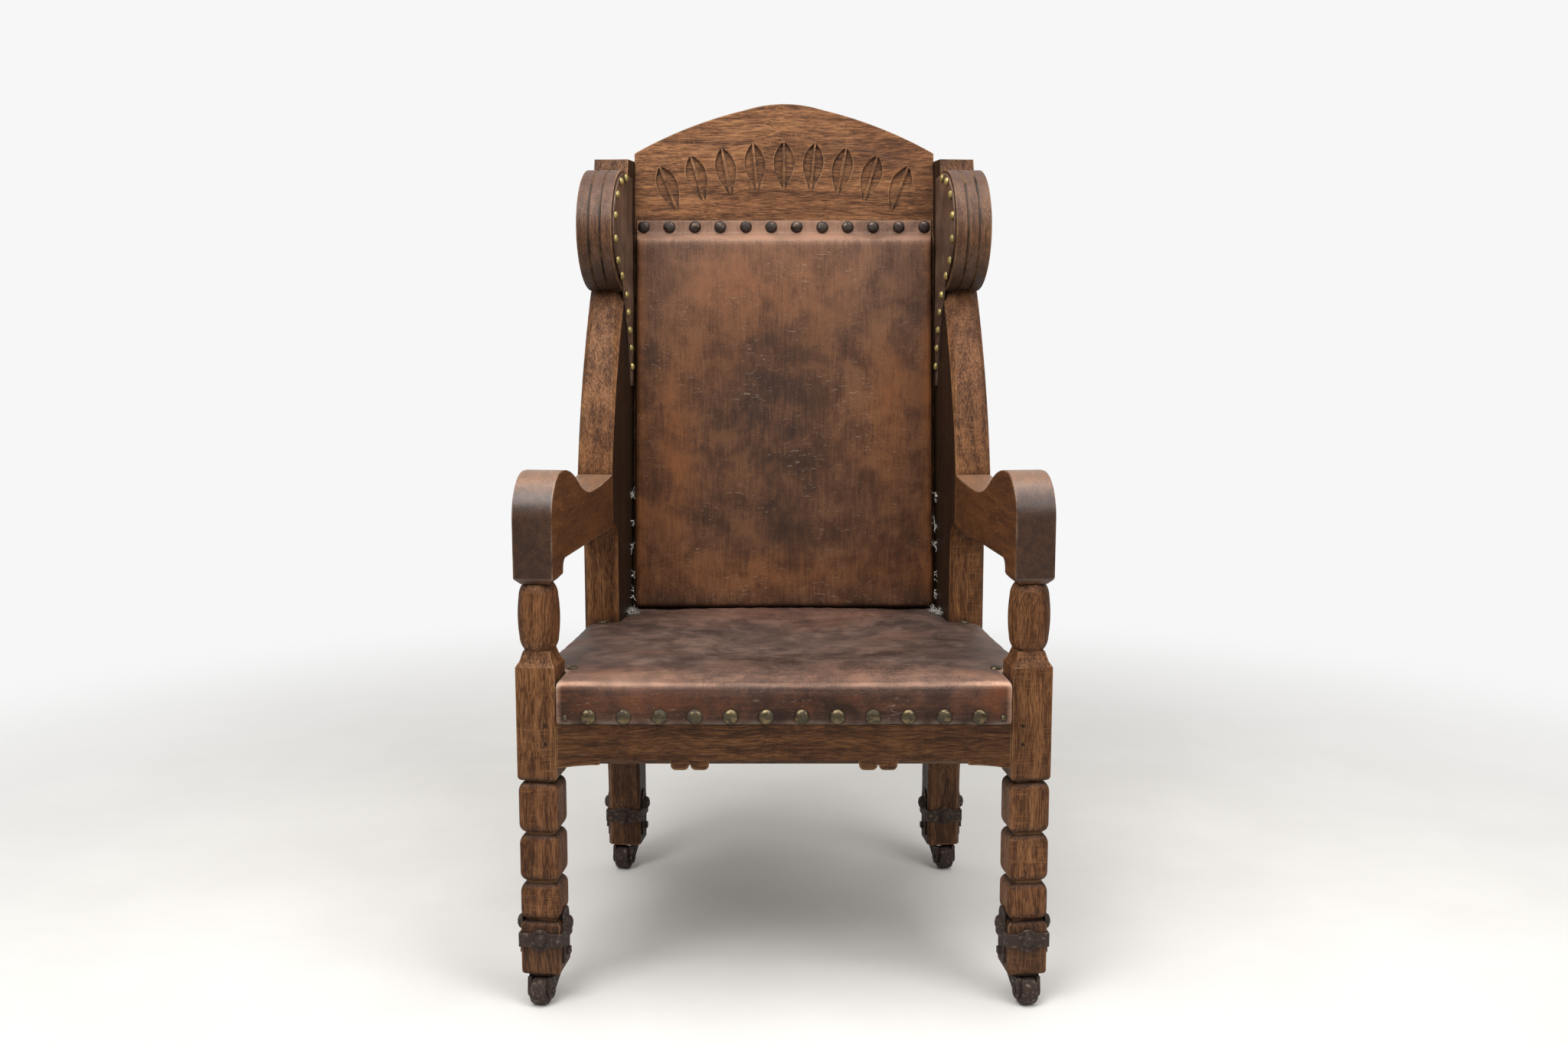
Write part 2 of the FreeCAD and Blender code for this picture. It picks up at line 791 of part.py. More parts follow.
def build_front_rail(legs):
    """Front seat rail, hollowed below, with two pairs of small rounded drops, tenoned into the legs."""
    body = new_body("front_rail_board")
    end = size.half_front - half_board / cosine(size.splay_angle)
    reach = end - size.rail_arch_run
    low = size.rail_base
    hollow = size.rail_base + size.rail_arch_rise
    arch = Bend(size.rail_arch_curve, True)
    step = (size.rail_lobe_width + size.rail_lobe_gap) / 2
    lobes = []
    for middle in (-size.rail_lobe_place, size.rail_lobe_place):
        lobes += rail_lobe(middle - step, hollow) + rail_lobe(middle + step, hollow)
    corners = [(-end, low, arch), (-reach, hollow)] + lobes
    corners += [(reach, hollow, arch), (end, low), (end, rail_top), (-end, rail_top)]
    pad(body, outline(body, "XZ_Plane", "front_rail_outline", corners), size.rail_width, reverse=True)
    lobe_reach = step + size.rail_lobe_width / 2
    inner = size.rail_lobe_place - lobe_reach
    outer = size.rail_lobe_place + lobe_reach
    spans = [(-reach, reach - outer), (-inner, inner * 2), (outer, reach - outer)]
    bevels = [rail_bevel("rail_bevel_%d" % number, first, length, hollow)
              for number, (first, length) in enumerate(spans)]
    place(body, ZERO, front_line - size.rail_proud, ZERO)
    shouldered = cut("front_rail_shouldered", body, fuse("front_rail_neighbours", [legs] + bevels))
    length = size.rail_tenon_length
    back = front_line - size.rail_proud + (size.rail_width - size.rail_tenon_width) / 2
    inside = size.half_front - half_board - size.rail_tenon_width
    reach = length + size.rail_tenon_width
    right = rail_tenon("front_tenon_right", reach, inside, back, False)
    left = rail_tenon("front_tenon_left", reach, -inside - reach, back, False)
    return fuse("front_seat_rail", [shouldered, right, left]), [right, left]


def build_side_rail(leg, post):
    """Right seat rail between the front leg and the rear post, tenoned into both."""
    length = size.post_back_reach - half_board
    body = box("side_rail_board", size.rail_width, length, size.rail_height)
    inner = size.side_rail_outset - size.rail_width
    place_on_side(body, inner, half_board, size.rail_base)
    shouldered = cut("side_rail_shouldered", body, fuse("side_rail_neighbours", [leg, post]))
    middle = inner + (size.rail_width - size.rail_tenon_width) / 2
    tenon = size.rail_tenon_length
    front = rail_tenon("side_tenon_front", tenon, middle, size.board - tenon + size.web, True)
    rear = rail_tenon("side_tenon_rear", tenon * 2, middle, post_low_reach, True)
    front = cut("side_tenon_front_fit", front, build_front_mortise_guard())
    return fuse("side_seat_rail_right", [shouldered, front, rear]), front, rear


def build_front_mortise_guard():
    """Space of the front rail's tenon inside the leg, which the side rail's tenon stops short of."""
    guard = box("front_mortise_guard", size.board, size.rail_width, size.rail_height)
    back = front_line - size.rail_proud
    return place(guard, size.half_front - half_board - size.rail_tenon_width, back, size.rail_base)


def build_rear_rail(posts):
    """Rear seat rail between the two posts, tenoned into them."""
    y = front_line + size.rear_rail_reach
    half = size.half_front - size.rear_rail_reach * tangent(size.splay_angle)
    body = box("rear_rail_board", half * 2, size.rail_width, size.rail_height)
    place(body, -half, y, size.rail_base)
    shouldered = cut("rear_rail_shouldered", body, posts)
    middle = y + (size.rail_width - size.rail_tenon_width) / 2
    inner_face = half - half_board
    length = size.rail_tenon_length + size.rail_tenon_width
    right = rail_tenon("rear_tenon_right", length, inner_face - size.rail_tenon_width, middle, False)
    left = rail_tenon("rear_tenon_left", length, -inner_face - size.rail_tenon_length, middle, False)
    return fuse("rear_seat_rail", [shouldered, right, left]), [right, left]


def build_corner_blocks(frame):
    """Glued corner blocks inside the seat frame, fitted round the legs and posts."""
    blocks = []
    inner_front = size.half_front - half_board
    rear_y = size.rear_rail_reach
    inner_rear = inner_front - rear_y * tangent(size.splay_angle)
    leg = size.corner_block_length
    places = [(inner_front, size.rail_width - size.rail_proud, 1), (inner_rear, rear_y, -1)]
    for number, (x, y, way) in enumerate(places):
        body = new_body("corner_block_%d" % number)
        corners = [(x, y), (x - leg, y), (x, y + leg * way)]
        if way < 0:
            corners.reverse()
        pad(body, outline(body, "XY_Plane", "corner_plan_%d" % number, corners), size.corner_block_height)
        place(body, ZERO, front_line, rail_top - size.corner_block_height - size.web)
        fitted = cut("corner_block_fit_%d" % number, body, frame)
        blocks.extend([fitted, mirrored(fitted, "corner_block_twin_%d" % number)])
    return group("seat_corner_blocks", blocks)


# Seat


def seat_plan(body, name, front, outset):
    """Plan of the seat, notched round the front legs and the rear posts."""
    turn_cos = cosine(size.splay_angle)
    turn_sin = sine(size.splay_angle)
    gap = size.seat_gap

    def corner(outward, reach):
        x = size.half_front + outward * turn_cos - reach * turn_sin
        y = outward * turn_sin + reach * turn_cos
        return (x, y)

    inside = -half_board - gap
    notch_front = size.board + gap
    notch_rear = post_low_reach - gap
    front_x = size.half_front - half_board / turn_cos + front * tangent(size.splay_angle) - gap
    rear_x = size.half_front - half_board / turn_cos - seat_rear_reach * tangent(size.splay_angle) - gap
    right = [
        (front_x, -front),
        corner(inside, notch_front),
        corner(outset, notch_front),
        corner(outset, notch_rear),
        corner(inside, notch_rear),
        (rear_x, seat_rear_reach),
    ]
    left = [(-x, y) for x, y in reversed(right)]
    return outline(body, "XY_Plane", name, right + left)


def seat_profile(body, name, front, base, top):
    """Side view of the seat, with a crowned top and an eased front edge."""
    ease = size.seat_edge_round
    corners = [
        (-front, base),
        (seat_rear_reach + size.overrun, base),
        (seat_rear_reach + size.overrun, top, Bend(size.seat_crown_curve, False)),
        (ease - front, top, Bend(ease, False)),
        (-front, top - ease),
    ]
    return outline(body, "YZ_Plane", name, corners)


def seat_solid(name, front, outset, base, top):
    """Crowned solid over the seat's plan."""
    plan = new_body(name + "_plan_body")
    pad(plan, seat_plan(plan, name + "_plan", front, outset), seat_edge_level * 2)
    place(plan, ZERO, front_line, ZERO)
    side = new_body(name + "_side_body")
    pad(side, seat_profile(side, name + "_side", front, base, top), size.half_front * 3, symmetric=True)
    place(side, ZERO, front_line, ZERO)
    return common(name, side, plan)


def build_seat():
    """Leather seat cover with its flaps, and the stuffing under it."""
    leather_top = seat_edge_level
    under_top = seat_edge_level - size.leather
    side_face = size.side_rail_outset + size.leather
    cover = seat_solid("seat_cover", flap_face, side_face, size.seat_flap_level, leather_top)
    below = size.seat_flap_level - size.overrun
    hollow = seat_solid("seat_hollow", size.rail_proud, size.side_rail_outset, below, under_top)
    leather = cut("seat_leather", cover, hollow)
    stuffing = seat_solid("seat_stuffing", size.rail_proud, size.side_rail_outset, web_top, under_top)
    return leather, stuffing


def build_seat_webbing():
    """Two crossing layers of webbing straps across the seat frame."""
    straps = []
    pitch = size.web_width + size.seat_web_gap
    for number in (-2, -1, 0, 1, 2):
        strap = box("seat_strap_long", size.web_width, size.rear_rail_reach, size.web)
        start = front_line + size.web_bearing
        straps.append(place(strap, pitch * number - size.web_width / 2, start, rail_top))
    for number in range(4):
        y = size.board + size.web_bearing + pitch * number
        half = size.half_front - y * tangent(size.splay_angle) - size.web_bearing
        strap = box("seat_strap_cross", half * 2, size.web_width, size.web)
        straps.append(place(strap, -half, front_line + y + size.web_bearing, rail_top + size.web))
    return group("seat_webbing", straps)


# Back


def crest_outline(body):
    """Arched crest: long shallow sides rising to a rounder apex."""
    half = back_half
    end = crest_end - (back_half - panel_top_half) * HALF_SHARE
    run = size.crest_apex_run
    shoulder = crest_apex - size.crest_side_drop
    side = Bend(size.crest_side_curve, False)
    apex = Bend(size.crest_apex_curve, False)
    corners = [
        (-half, size.crest_foot),
        (half, size.crest_foot),
        (half, end, side),
        (run, shoulder, apex),
        (-run, shoulder, side),
        (-half, end),
    ]
    return outline(body, "XZ_Plane", "crest_outline", corners)


def back_tenons(name, base, height):
    """Pair of tenons at the ends of a rail of the back."""
    inside = panel_top_half - size.back_tenon_length
    length = size.back_tenon_length * 2 + panel_foot_half - panel_top_half
    behind = (size.back_frame - size.back_tenon_width) / 2
    tenons = []
    for suffix, across in (("right", inside), ("left", -inside - length)):
        tenon = box(name + "_tenon_" + suffix, length, size.back_tenon_width, height)
        tenons.append(place_on_back(tenon, across, behind, base))
    return tenons


def build_crest(posts):
    """Crest between the posts; above their tops it still ends in line with their inner faces."""
    head_depth = size.overrun * 2 + post_top_back - size.post_top_reach
    headroom = box("post_headroom", size.board, head_depth, crest_apex)
    place_on_side(headroom, -half_board, size.post_top_reach, size.post_top_level)
    headroom_twin = mirrored(headroom, "post_headroom_twin")
    body = new_body("crest_board")
    pad(body, crest_outline(body), size.back_frame, reverse=True)
    place_on_back(body, ZERO, ZERO, ZERO)
    shouldered = cut("crest_shouldered", body, fuse("crest_neighbours", [posts, headroom, headroom_twin]))
    base = size.crest_foot + (crest_end - size.crest_foot - size.crest_tenon_height) / 2
    tenons = back_tenons("crest", base, size.crest_tenon_height)
    return fuse("crest_rail", [shouldered] + tenons), tenons


def build_lower_back_rail(posts):
    body = box("lower_back_board", back_half * 2, size.back_frame, size.back_rail_height)
    place_on_back(body, -back_half, ZERO, ZERO)
    shouldered = cut("lower_back_shouldered", body, posts)
    base = (size.back_rail_height - size.back_tenon_height) / 2
    tenons = back_tenons("lower_back", base, size.back_tenon_height)
    return fuse("lower_back_rail", [shouldered] + tenons), tenons


def build_back_stile(posts):
    """Right stile beside the post, between the lower back rail and the crest."""
    height = size.crest_foot - size.back_rail_height
    body = box("back_stile_board", size.back_stile_width * 2, size.back_frame, height)
    place_on_back(body, panel_foot_half - size.back_stile_width, ZERO, size.back_rail_height)
    return cut("back_stile_right", body, posts)


def panel_face(body, name, inset, foot, top):
    """Front view of the padded back, a little narrower at the top."""
    span = panel_top - size.panel_foot
    slope = (panel_foot_half - panel_top_half) / span
    foot_half = panel_foot_half - inset - (foot - size.panel_foot) * slope
    top_half = panel_foot_half - inset - (top - size.panel_foot) * slope
    corners = [(-foot_half, foot), (foot_half, foot), (top_half, top), (-top_half, top)]
    return outline(body, "XZ_Plane", name, corners)


def panel_profile(body, name, inset, back, foot, top):
    """Side view of the padded back: eased foot, crowned face, and a slope up to the nailed margin."""
    face = inset - size.panel_depth
    ease = size.panel_edge_round
    slope_foot = panel_top - size.panel_margin - size.panel_slope
    corners = [
        (back, foot),
        (back, top),
        (-size.leather, top),
        (-size.leather, panel_top - size.panel_margin - inset),
        (face, slope_foot - inset, Bend(size.panel_crown_curve, True)),
        (face, foot + ease, Bend(ease, True)),
        (face + ease, foot),
    ]
    return outline(body, "YZ_Plane", name, corners)


def panel_solid(name, inset, back, foot, top):
    """Padded back's solid, from its side view and its front view."""
    side = new_body(name + "_side_body")
    profile = panel_profile(side, name + "_side", inset, back, foot, top)
    pad(side, profile, size.half_front * 2, symmetric=True)
    place_on_back(side, ZERO, ZERO, ZERO)
    front = new_body(name + "_front_body")
    pad(front, panel_face(front, name + "_face", inset, foot, top), size.panel_depth * 4, symmetric=True)
    place_on_back(front, ZERO, ZERO, ZERO)
    return common(name, side, front)


def build_back():
    """Padded leather back and its stuffing."""
    foot = size.panel_foot
    skin = size.leather
    cover = panel_solid("back_cover", ZERO, ZERO, foot, panel_top)
    hollow_top = panel_top - size.panel_margin - skin
    hollow = panel_hollow("back_hollow", size.overrun, foot + skin, hollow_top)
    leather = cut("back_leather", cover, hollow)
    stuffing = panel_hollow("back_stuffing", -size.web * 2, foot + skin, hollow_top)
    return leather, stuffing


def panel_hollow(name, back, foot, top):
    """Solid that fills the padded back inside its leather, up to the margin."""
    skin = size.leather
    face = skin - size.panel_depth
    ease = size.panel_edge_round
    side = new_body(name + "_side_body")
    shoulder = top - size.panel_slope
    corners = [
        (back, foot),
        (back, top),
        (-size.web * 2 - skin, top),
        (face, shoulder, Bend(size.panel_crown_curve, True)),
        (face, foot + ease, Bend(ease, True)),
        (face + ease, foot),
    ]
    pad(side, outline(side, "YZ_Plane", name + "_side", corners), size.half_front * 2, symmetric=True)
    place_on_back(side, ZERO, ZERO, ZERO)
    front = new_body(name + "_front_body")
    pad(front, panel_face(front, name + "_face", skin, foot, top), size.panel_depth * 4, symmetric=True)
    place_on_back(front, ZERO, ZERO, ZERO)
    return common(name, side, front)


def build_back_webbing():
    """Upright and level webbing straps on the front of the back frame."""
    straps = []
    foot = size.panel_foot + size.leather + size.web
    top = size.crest_foot - size.web
    pitch = size.web_width + size.back_web_gap
    rise_pitch = size.web_width + size.back_web_rise_gap
    for number in (-2, -1, 0, 1, 2):
        strap = box("back_strap_upright", size.web_width, size.web, top - foot)
        straps.append(place_on_back(strap, pitch * number - size.web_width / 2, -size.web, foot))
    half = panel_top_half - size.web_bearing
    for number in range(5):
        rise = foot + rise_pitch * (number + HALF_SHARE)
        strap = box("back_strap_level", half * 2, size.web, size.web_width)
        straps.append(place_on_back(strap, -half, -size.web * 2, rise))
    return group("back_webbing", straps)


def build_outside_back():
    """Flat leather over the rear of the back frame."""
    body = new_body("outside_back")
    foot = size.web_bearing
    top = panel_top
    slope = (panel_foot_half - panel_top_half) / (panel_top - size.panel_foot)
    foot_half = panel_foot_half - size.leather * 2
    top_half = foot_half - (top - foot) * slope
    corners = [(-foot_half, foot), (foot_half, foot), (top_half, top), (-top_half, top)]
    pad(body, outline(body, "XZ_Plane", "outside_back_face", corners), size.leather, reverse=True)
    return place_on_back(body, ZERO, size.back_frame, ZERO)


def build_wing_leather():
    """Right wing leather, on the inner faces of the ear and the post, running down to a narrow tip."""
    body = new_body("wing_leather_right")
    radius = size.ear_radius - size.wing_margin
    round_edge = Bend(radius, True)
    hollow = Bend(size.wing_hollow_curve, False)
    break_level = size.ear_level - size.wing_break_drop
    tip_back = size.wing_point_reach + size.web_bearing
    corners = [
        (ear_middle, size.ear_level + radius),
        (size.wing_rear_reach, size.ear_level + radius - size.wing_margin),
        (tip_back, size.wing_point_level),
        (size.wing_point_reach, size.wing_point_level, hollow),
        (size.wing_break_reach, break_level, round_edge),
        (ear_middle - radius, size.ear_level, round_edge),
    ]
    pad(body, outline(body, "YZ_Plane", "wing_outline", corners), size.wing_leather, reverse=True)
    return place_on_side(body, -half_board, ZERO, ZERO)


# Nails


def polygon(body, name, radius, level):
    """Regular polygon that stands in for a small circle."""
    corners = []
    for step in range(HEAD_SIDE_COUNT):
        angle = math.tau * step / HEAD_SIDE_COUNT
        corners.append((radius * math.cos(angle), radius * math.sin(angle)))
    return outline(body, "XY_Plane", name, corners, level)


def build_nail(name, radius, height, shank_width, length):
    """Round-headed nail or bolt with a square shank; its head stands on the XY plane."""
    body = new_body(name)
    loft(body, name + "_head", [
        polygon(body, name + "_rim", radius, ZERO),
        polygon(body, name + "_waist", radius * DOME_WAIST_SHARE, height * DOME_RISE_SHARE),
        polygon(body, name + "_crown", radius * DOME_CROWN_SHARE, height),
    ])
    half = shank_width / 2
    shank = [(-half, -half), (half, -half), (half, half), (-half, half)]
    pad(body, outline(body, "XY_Plane", name + "_shank", shank), length, reverse=True)
    return body


def build_seat_nails(nail):
    """Nails along the seat's front flap and both side flaps."""
    level = size.seat_flap_level.value + size.nail_inset.value
    half = size.half_front.value - half_board.value - size.nail_end_inset.value
    face = front_line.value - flap_face.value
    spots = [Placement(Vector(x, face, level), FACING_FRONT)
             for x in spread(-half, half, int(size.seat_nail_count.value))]
    outward = size.side_rail_outset.value + size.leather.value
    first = size.board.value + size.nail_end_inset.value
    last = post_low_reach.value - size.nail_end_inset.value
    for reach in spread(first, last, int(size.side_nail_count.value)):
        spot = side_spot(outward, reach, level, FACING_OUT)
        spots.extend([spot, mirror_spot(spot)])
    return copies("seat_nails", nail, spots)


def build_crest_nails(nail):
    """Row of nails through the top margin of the back leather."""
    rise = panel_top.value - size.nail_inset.value
    half = panel_top_half.value - size.nail_inset.value
    places = spread(-half, half, int(size.crest_nail_count.value))
    spots = [back_spot(x, -size.leather.value, rise, FACING_FRONT) for x in places]
    return copies("crest_nails", nail, spots)


def build_wing_nails(nail):
    """Small nails round the ears and down the hollow edge of the wing leathers."""
    radius = size.ear_radius.value - size.wing_margin.value - size.wing_nail_inset.value
    outward = -half_board.value - size.wing_leather.value
    spots = []
    lowest = math.asin(size.wing_break_drop.value / (size.ear_radius.value - size.wing_margin.value))
    for angle in spread(math.pi / 2, math.pi + lowest, int(size.wing_nail_count.value)):
        reach = ear_middle.value + radius * math.cos(angle)
        level = size.ear_level.value + radius * math.sin(angle)
        spots.append(side_spot(outward, reach, level, FACING_IN))
    start = Vector(size.wing_break_reach.value, size.ear_level.value - size.wing_break_drop.value, 0)
    finish = Vector(size.wing_point_reach.value, size.wing_point_level.value, 0)
    edge = arc_between(finish, start, Bend(size.wing_hollow_curve, False))
    count = int(size.wing_edge_nail_count.value)
    for step in range(1, count + 1):
        share = step / (count + 1)
        parameter = edge.LastParameter + (edge.FirstParameter - edge.LastParameter) * share
        point = edge.value(parameter)
        towards_centre = (edge.Center - point).normalize() * size.wing_nail_inset.value
        inner = point - towards_centre
        spots.append(side_spot(outward, inner.x, inner.y, FACING_IN))
    spots = spots + [mirror_spot(spot) for spot in spots]
    return copies("wing_nails", nail, spots)


def build_outside_nails(nail):
    """Small nails round the rear leather."""
    behind = size.back_frame.value + size.leather.value
    inset = size.nail_inset.value
    half = panel_top_half.value - size.leather.value * 2 - inset
    low = size.web_bearing.value + inset
    high = panel_top.value - inset
    count = int(size.outer_nail_count.value)
    row = spread(-half, half, count)
    spots = [back_spot(x, behind, rise, FACING_BACK) for rise in (low, high) for x in row]
    for rise in spread(low, high, count + 2)[1:-1]:
        spots.append(back_spot(-half, behind, rise, FACING_BACK))
        spots.append(back_spot(half, behind, rise, FACING_BACK))
    return copies("outside_back_nails", nail, spots)


def build_pegs():
    """Oak pegs through the front legs and the front rail's tenons."""
    peg = cylinder("peg", size.peg_radius, size.peg_length)
    level = size.rail_base.value + size.rail_height.value / 2
    gap = size.rail_tenon_height.value / 4
    inward = -half_board.value + size.rail_tenon_length.value / 2
    spots = [side_spot(inward, 0, level + way * gap, FACING_BACK) for way in (-1, 1)]
    return copies("joint_pegs", peg, spots + [mirror_spot(spot) for spot in spots])


# Feet


def build_collar_boss(name, depth):
    """Round boss that carries the bolts on the front and the back of a band."""
    body = new_body(name)
    radius = size.collar_boss_radius
    level = size.collar_level + size.collar_height / 2
    corners = [
        (radius, level, Bend(radius, False)),
        (ZERO, level + radius, Bend(radius, False)),
        (-radius, level, Bend(radius, False)),
        (ZERO, level - radius, Bend(radius, False)),
    ]
    pad(body, outline(body, "XZ_Plane", name + "_outline", corners), depth, symmetric=True)
    return body


def build_collar(name, reach):
    """Iron band round a foot, with a tongue up the inner and the outer side."""
    outer = size.board + size.collar * 2
    band = box(name + "_band", outer, outer, size.collar_height)
    half = outer / 2
    place_on_side(band, -half, reach - half, size.collar_level)
    tongues = []
    for suffix, outward in (("in", -half), ("out", half - size.collar)):
        body = new_body(name + "_tongue_" + suffix)
        wide = size.tongue_width / 2
        shoulder = size.tongue_top - wide
        corners = [
            (-wide, size.tongue_base),
            (wide, size.tongue_base),
            (wide, shoulder, Bend(wide, False)),
            (ZERO, size.tongue_top, Bend(wide, False)),
            (-wide, shoulder),
        ]
        pad(body, outline(body, "YZ_Plane", name + "_tongue_outline_" + suffix, corners), size.collar)
        tongues.append(place_on_side(body, outward, reach, ZERO))
    boss = build_collar_boss(name + "_boss", outer)
    place_on_side(boss, ZERO, reach, ZERO)
    hole = box(name + "_hole", size.board, size.board, size.post_top_level)
    place_on_side(hole, -half_board, reach - half_board, ZERO)
    return cut(name, fuse(name + "_iron", [band, boss] + tongues), hole)


def foot_reaches():
    return (half_board.value, size.rear_foot_reach.value)


def build_collar_bolts(bolt, side_bolt):
    """Bolts through the front and back of each band and through its two tongues."""
    half = half_board.value + size.collar.value
    level = size.collar_level.value + size.collar_height.value / 2
    spots = []
    side_spots = []
    for reach in foot_reaches():
        spots.append(side_spot(0, reach - half, level, FACING_FRONT))
        spots.append(side_spot(0, reach + half, level, FACING_BACK))
        side_spots.append(side_spot(half, reach, size.side_bolt_level.value, FACING_OUT))
        side_spots.append(side_spot(-half, reach, size.side_bolt_level.value, FACING_IN))
    spots = spots + [mirror_spot(spot) for spot in spots]
    side_spots = side_spots + [mirror_spot(spot) for spot in side_spots]
    return copies("collar_bolts", bolt, spots), copies("collar_side_bolts", side_bolt, side_spots)


def build_collar_screws():
    """Square-headed screws low on each tongue."""
    width = size.collar_screw_width
    screw = box("collar_screw", width, width, size.collar_screw_height)
    place(screw, -width / 2, -width / 2, ZERO)
    half = half_board.value + size.collar.value
    level = size.collar_screw_level.value
    spots = []
    for reach in foot_reaches():
        spots.append(side_spot(half, reach, level, FACING_OUT))
        spots.append(side_spot(-half, reach, level, FACING_IN))
    return copies("collar_screws", screw, spots + [mirror_spot(spot) for spot in spots])


# Castors


def build_stem_bore(name, reach):
    """Hole up into a foot for a castor's stem."""
    bore = cylinder(name, size.stem_radius + size.running_clearance, size.stem_length + size.castor_plate)
    return place_on_side(bore, ZERO, reach, size.foot_clear - size.castor_plate)


def place_on_castor(thing, reach, across, along, level, rotation=Rotation()):
    """Place a thing about the upright stem of a castor, turned with the castor's heading."""
    heading = size.splay_angle + size.castor_turn_angle
    x = size.half_front - reach * sine(size.splay_angle) + across * cosine(heading) - along * sine(heading)
    y = front_line + reach * cosine(size.splay_angle) + across * sine(heading) + along * cosine(heading)
    return place(thing, x, y, level, Rotation(UP, heading.value) * rotation)


def build_castor(corner, reach):
    """One castor: plate under the foot, swivelling fork with its stem, axle, and wheel."""
    width = size.castor_plate_width
    plate = box("plate_blank_" + corner, width, width, size.castor_plate)
    place_on_side(plate, -width / 2, reach - width / 2, size.foot_clear - size.castor_plate)
    plate = cut("castor_plate_" + corner, plate, build_stem_bore("plate_bore_" + corner, reach))
    half = size.wheel_width / 2 + size.wheel_side_clearance
    wide = half + size.fork_cheek
    fork = build_fork(corner, reach, half, wide)
    axle = build_axle(corner, wide)
    wheel = build_wheel(corner)
    for thing in (axle, wheel):
        place_on_castor(thing, reach, ZERO, -size.castor_trail, size.wheel_radius, FACING_OUT)
    return [plate, fork, axle, wheel]


def build_fork(corner, reach, half, wide):
    """Fork: a stem and a crown plate behind the wheel, with a cheek on each side of it."""
    length = size.stem_length + size.castor_plate - size.swivel_clearance + size.fork_crown
    stem = cylinder("stem_" + corner, size.stem_radius, length)
    place_on_castor(stem, reach, ZERO, ZERO, stem_top - size.fork_crown)
    crown = box("crown_" + corner, wide * 2, size.fork_crown_front + size.fork_back, size.fork_crown)
    place_on_castor(crown, reach, -wide, -size.fork_crown_front, stem_top - size.fork_crown)
    eye = size.fork_eye_radius
    corners = [
        (size.fork_back, stem_top - size.fork_crown),
        (size.fork_back, stem_top),
        (-size.fork_front, stem_top),
        (-size.castor_trail - eye, size.wheel_radius, Bend(eye, False)),
        (-size.castor_trail, size.wheel_radius - eye, Bend(eye, False)),
        (-size.castor_trail + eye, size.wheel_radius),
    ]
    pieces = [stem, crown]
    for suffix, across in (("a", half), ("b", -wide)):
        body = new_body("cheek_%s_%s" % (suffix, corner))
        cheek_name = "cheek_outline_%s_%s" % (suffix, corner)
        pad(body, outline(body, "YZ_Plane", cheek_name, corners), size.fork_cheek)
        place_on_castor(body, reach, across, ZERO, ZERO)
        eye_hole = cylinder("eye_hole_%s_%s" % (suffix, corner), size.axle_radius, size.fork_cheek)
        place_on_castor(eye_hole, reach, across, -size.castor_trail, size.wheel_radius, FACING_OUT)
        pieces.append(cut("cheek_drilled_%s_%s" % (suffix, corner), body, eye_hole))
    return fuse("castor_fork_" + corner, pieces)


def build_axle(corner, wide):
    body = new_body("castor_axle_" + corner)
    profile = [
        (ZERO, -wide - size.axle_head),
        (size.axle_head_radius, -wide - size.axle_head),
        (size.axle_head_radius, -wide),
        (size.axle_radius, -wide),
        (size.axle_radius, wide),
        (size.axle_head_radius, wide),
        (size.axle_head_radius, wide + size.axle_head),
        (ZERO, wide + size.axle_head),
    ]
    turn(body, outline(body, "XZ_Plane", "axle_profile_" + corner, profile))
    return body


def build_wheel(corner):
    """Iron wheel with eased edges, a running fit on its axle."""
    body = new_body("castor_wheel_" + corner)
    bore = size.axle_radius + size.running_clearance
    rim = size.wheel_width / 2
    profile = [
        (bore, -rim),
        (size.wheel_radius - size.wheel_edge, -rim),
        (size.wheel_radius, size.wheel_edge - rim),
        (size.wheel_radius, rim - size.wheel_edge),
        (size.wheel_radius - size.wheel_edge, rim),
        (bore, rim),
    ]
    turn(body, outline(body, "XZ_Plane", "wheel_profile_" + corner, profile))
    return body


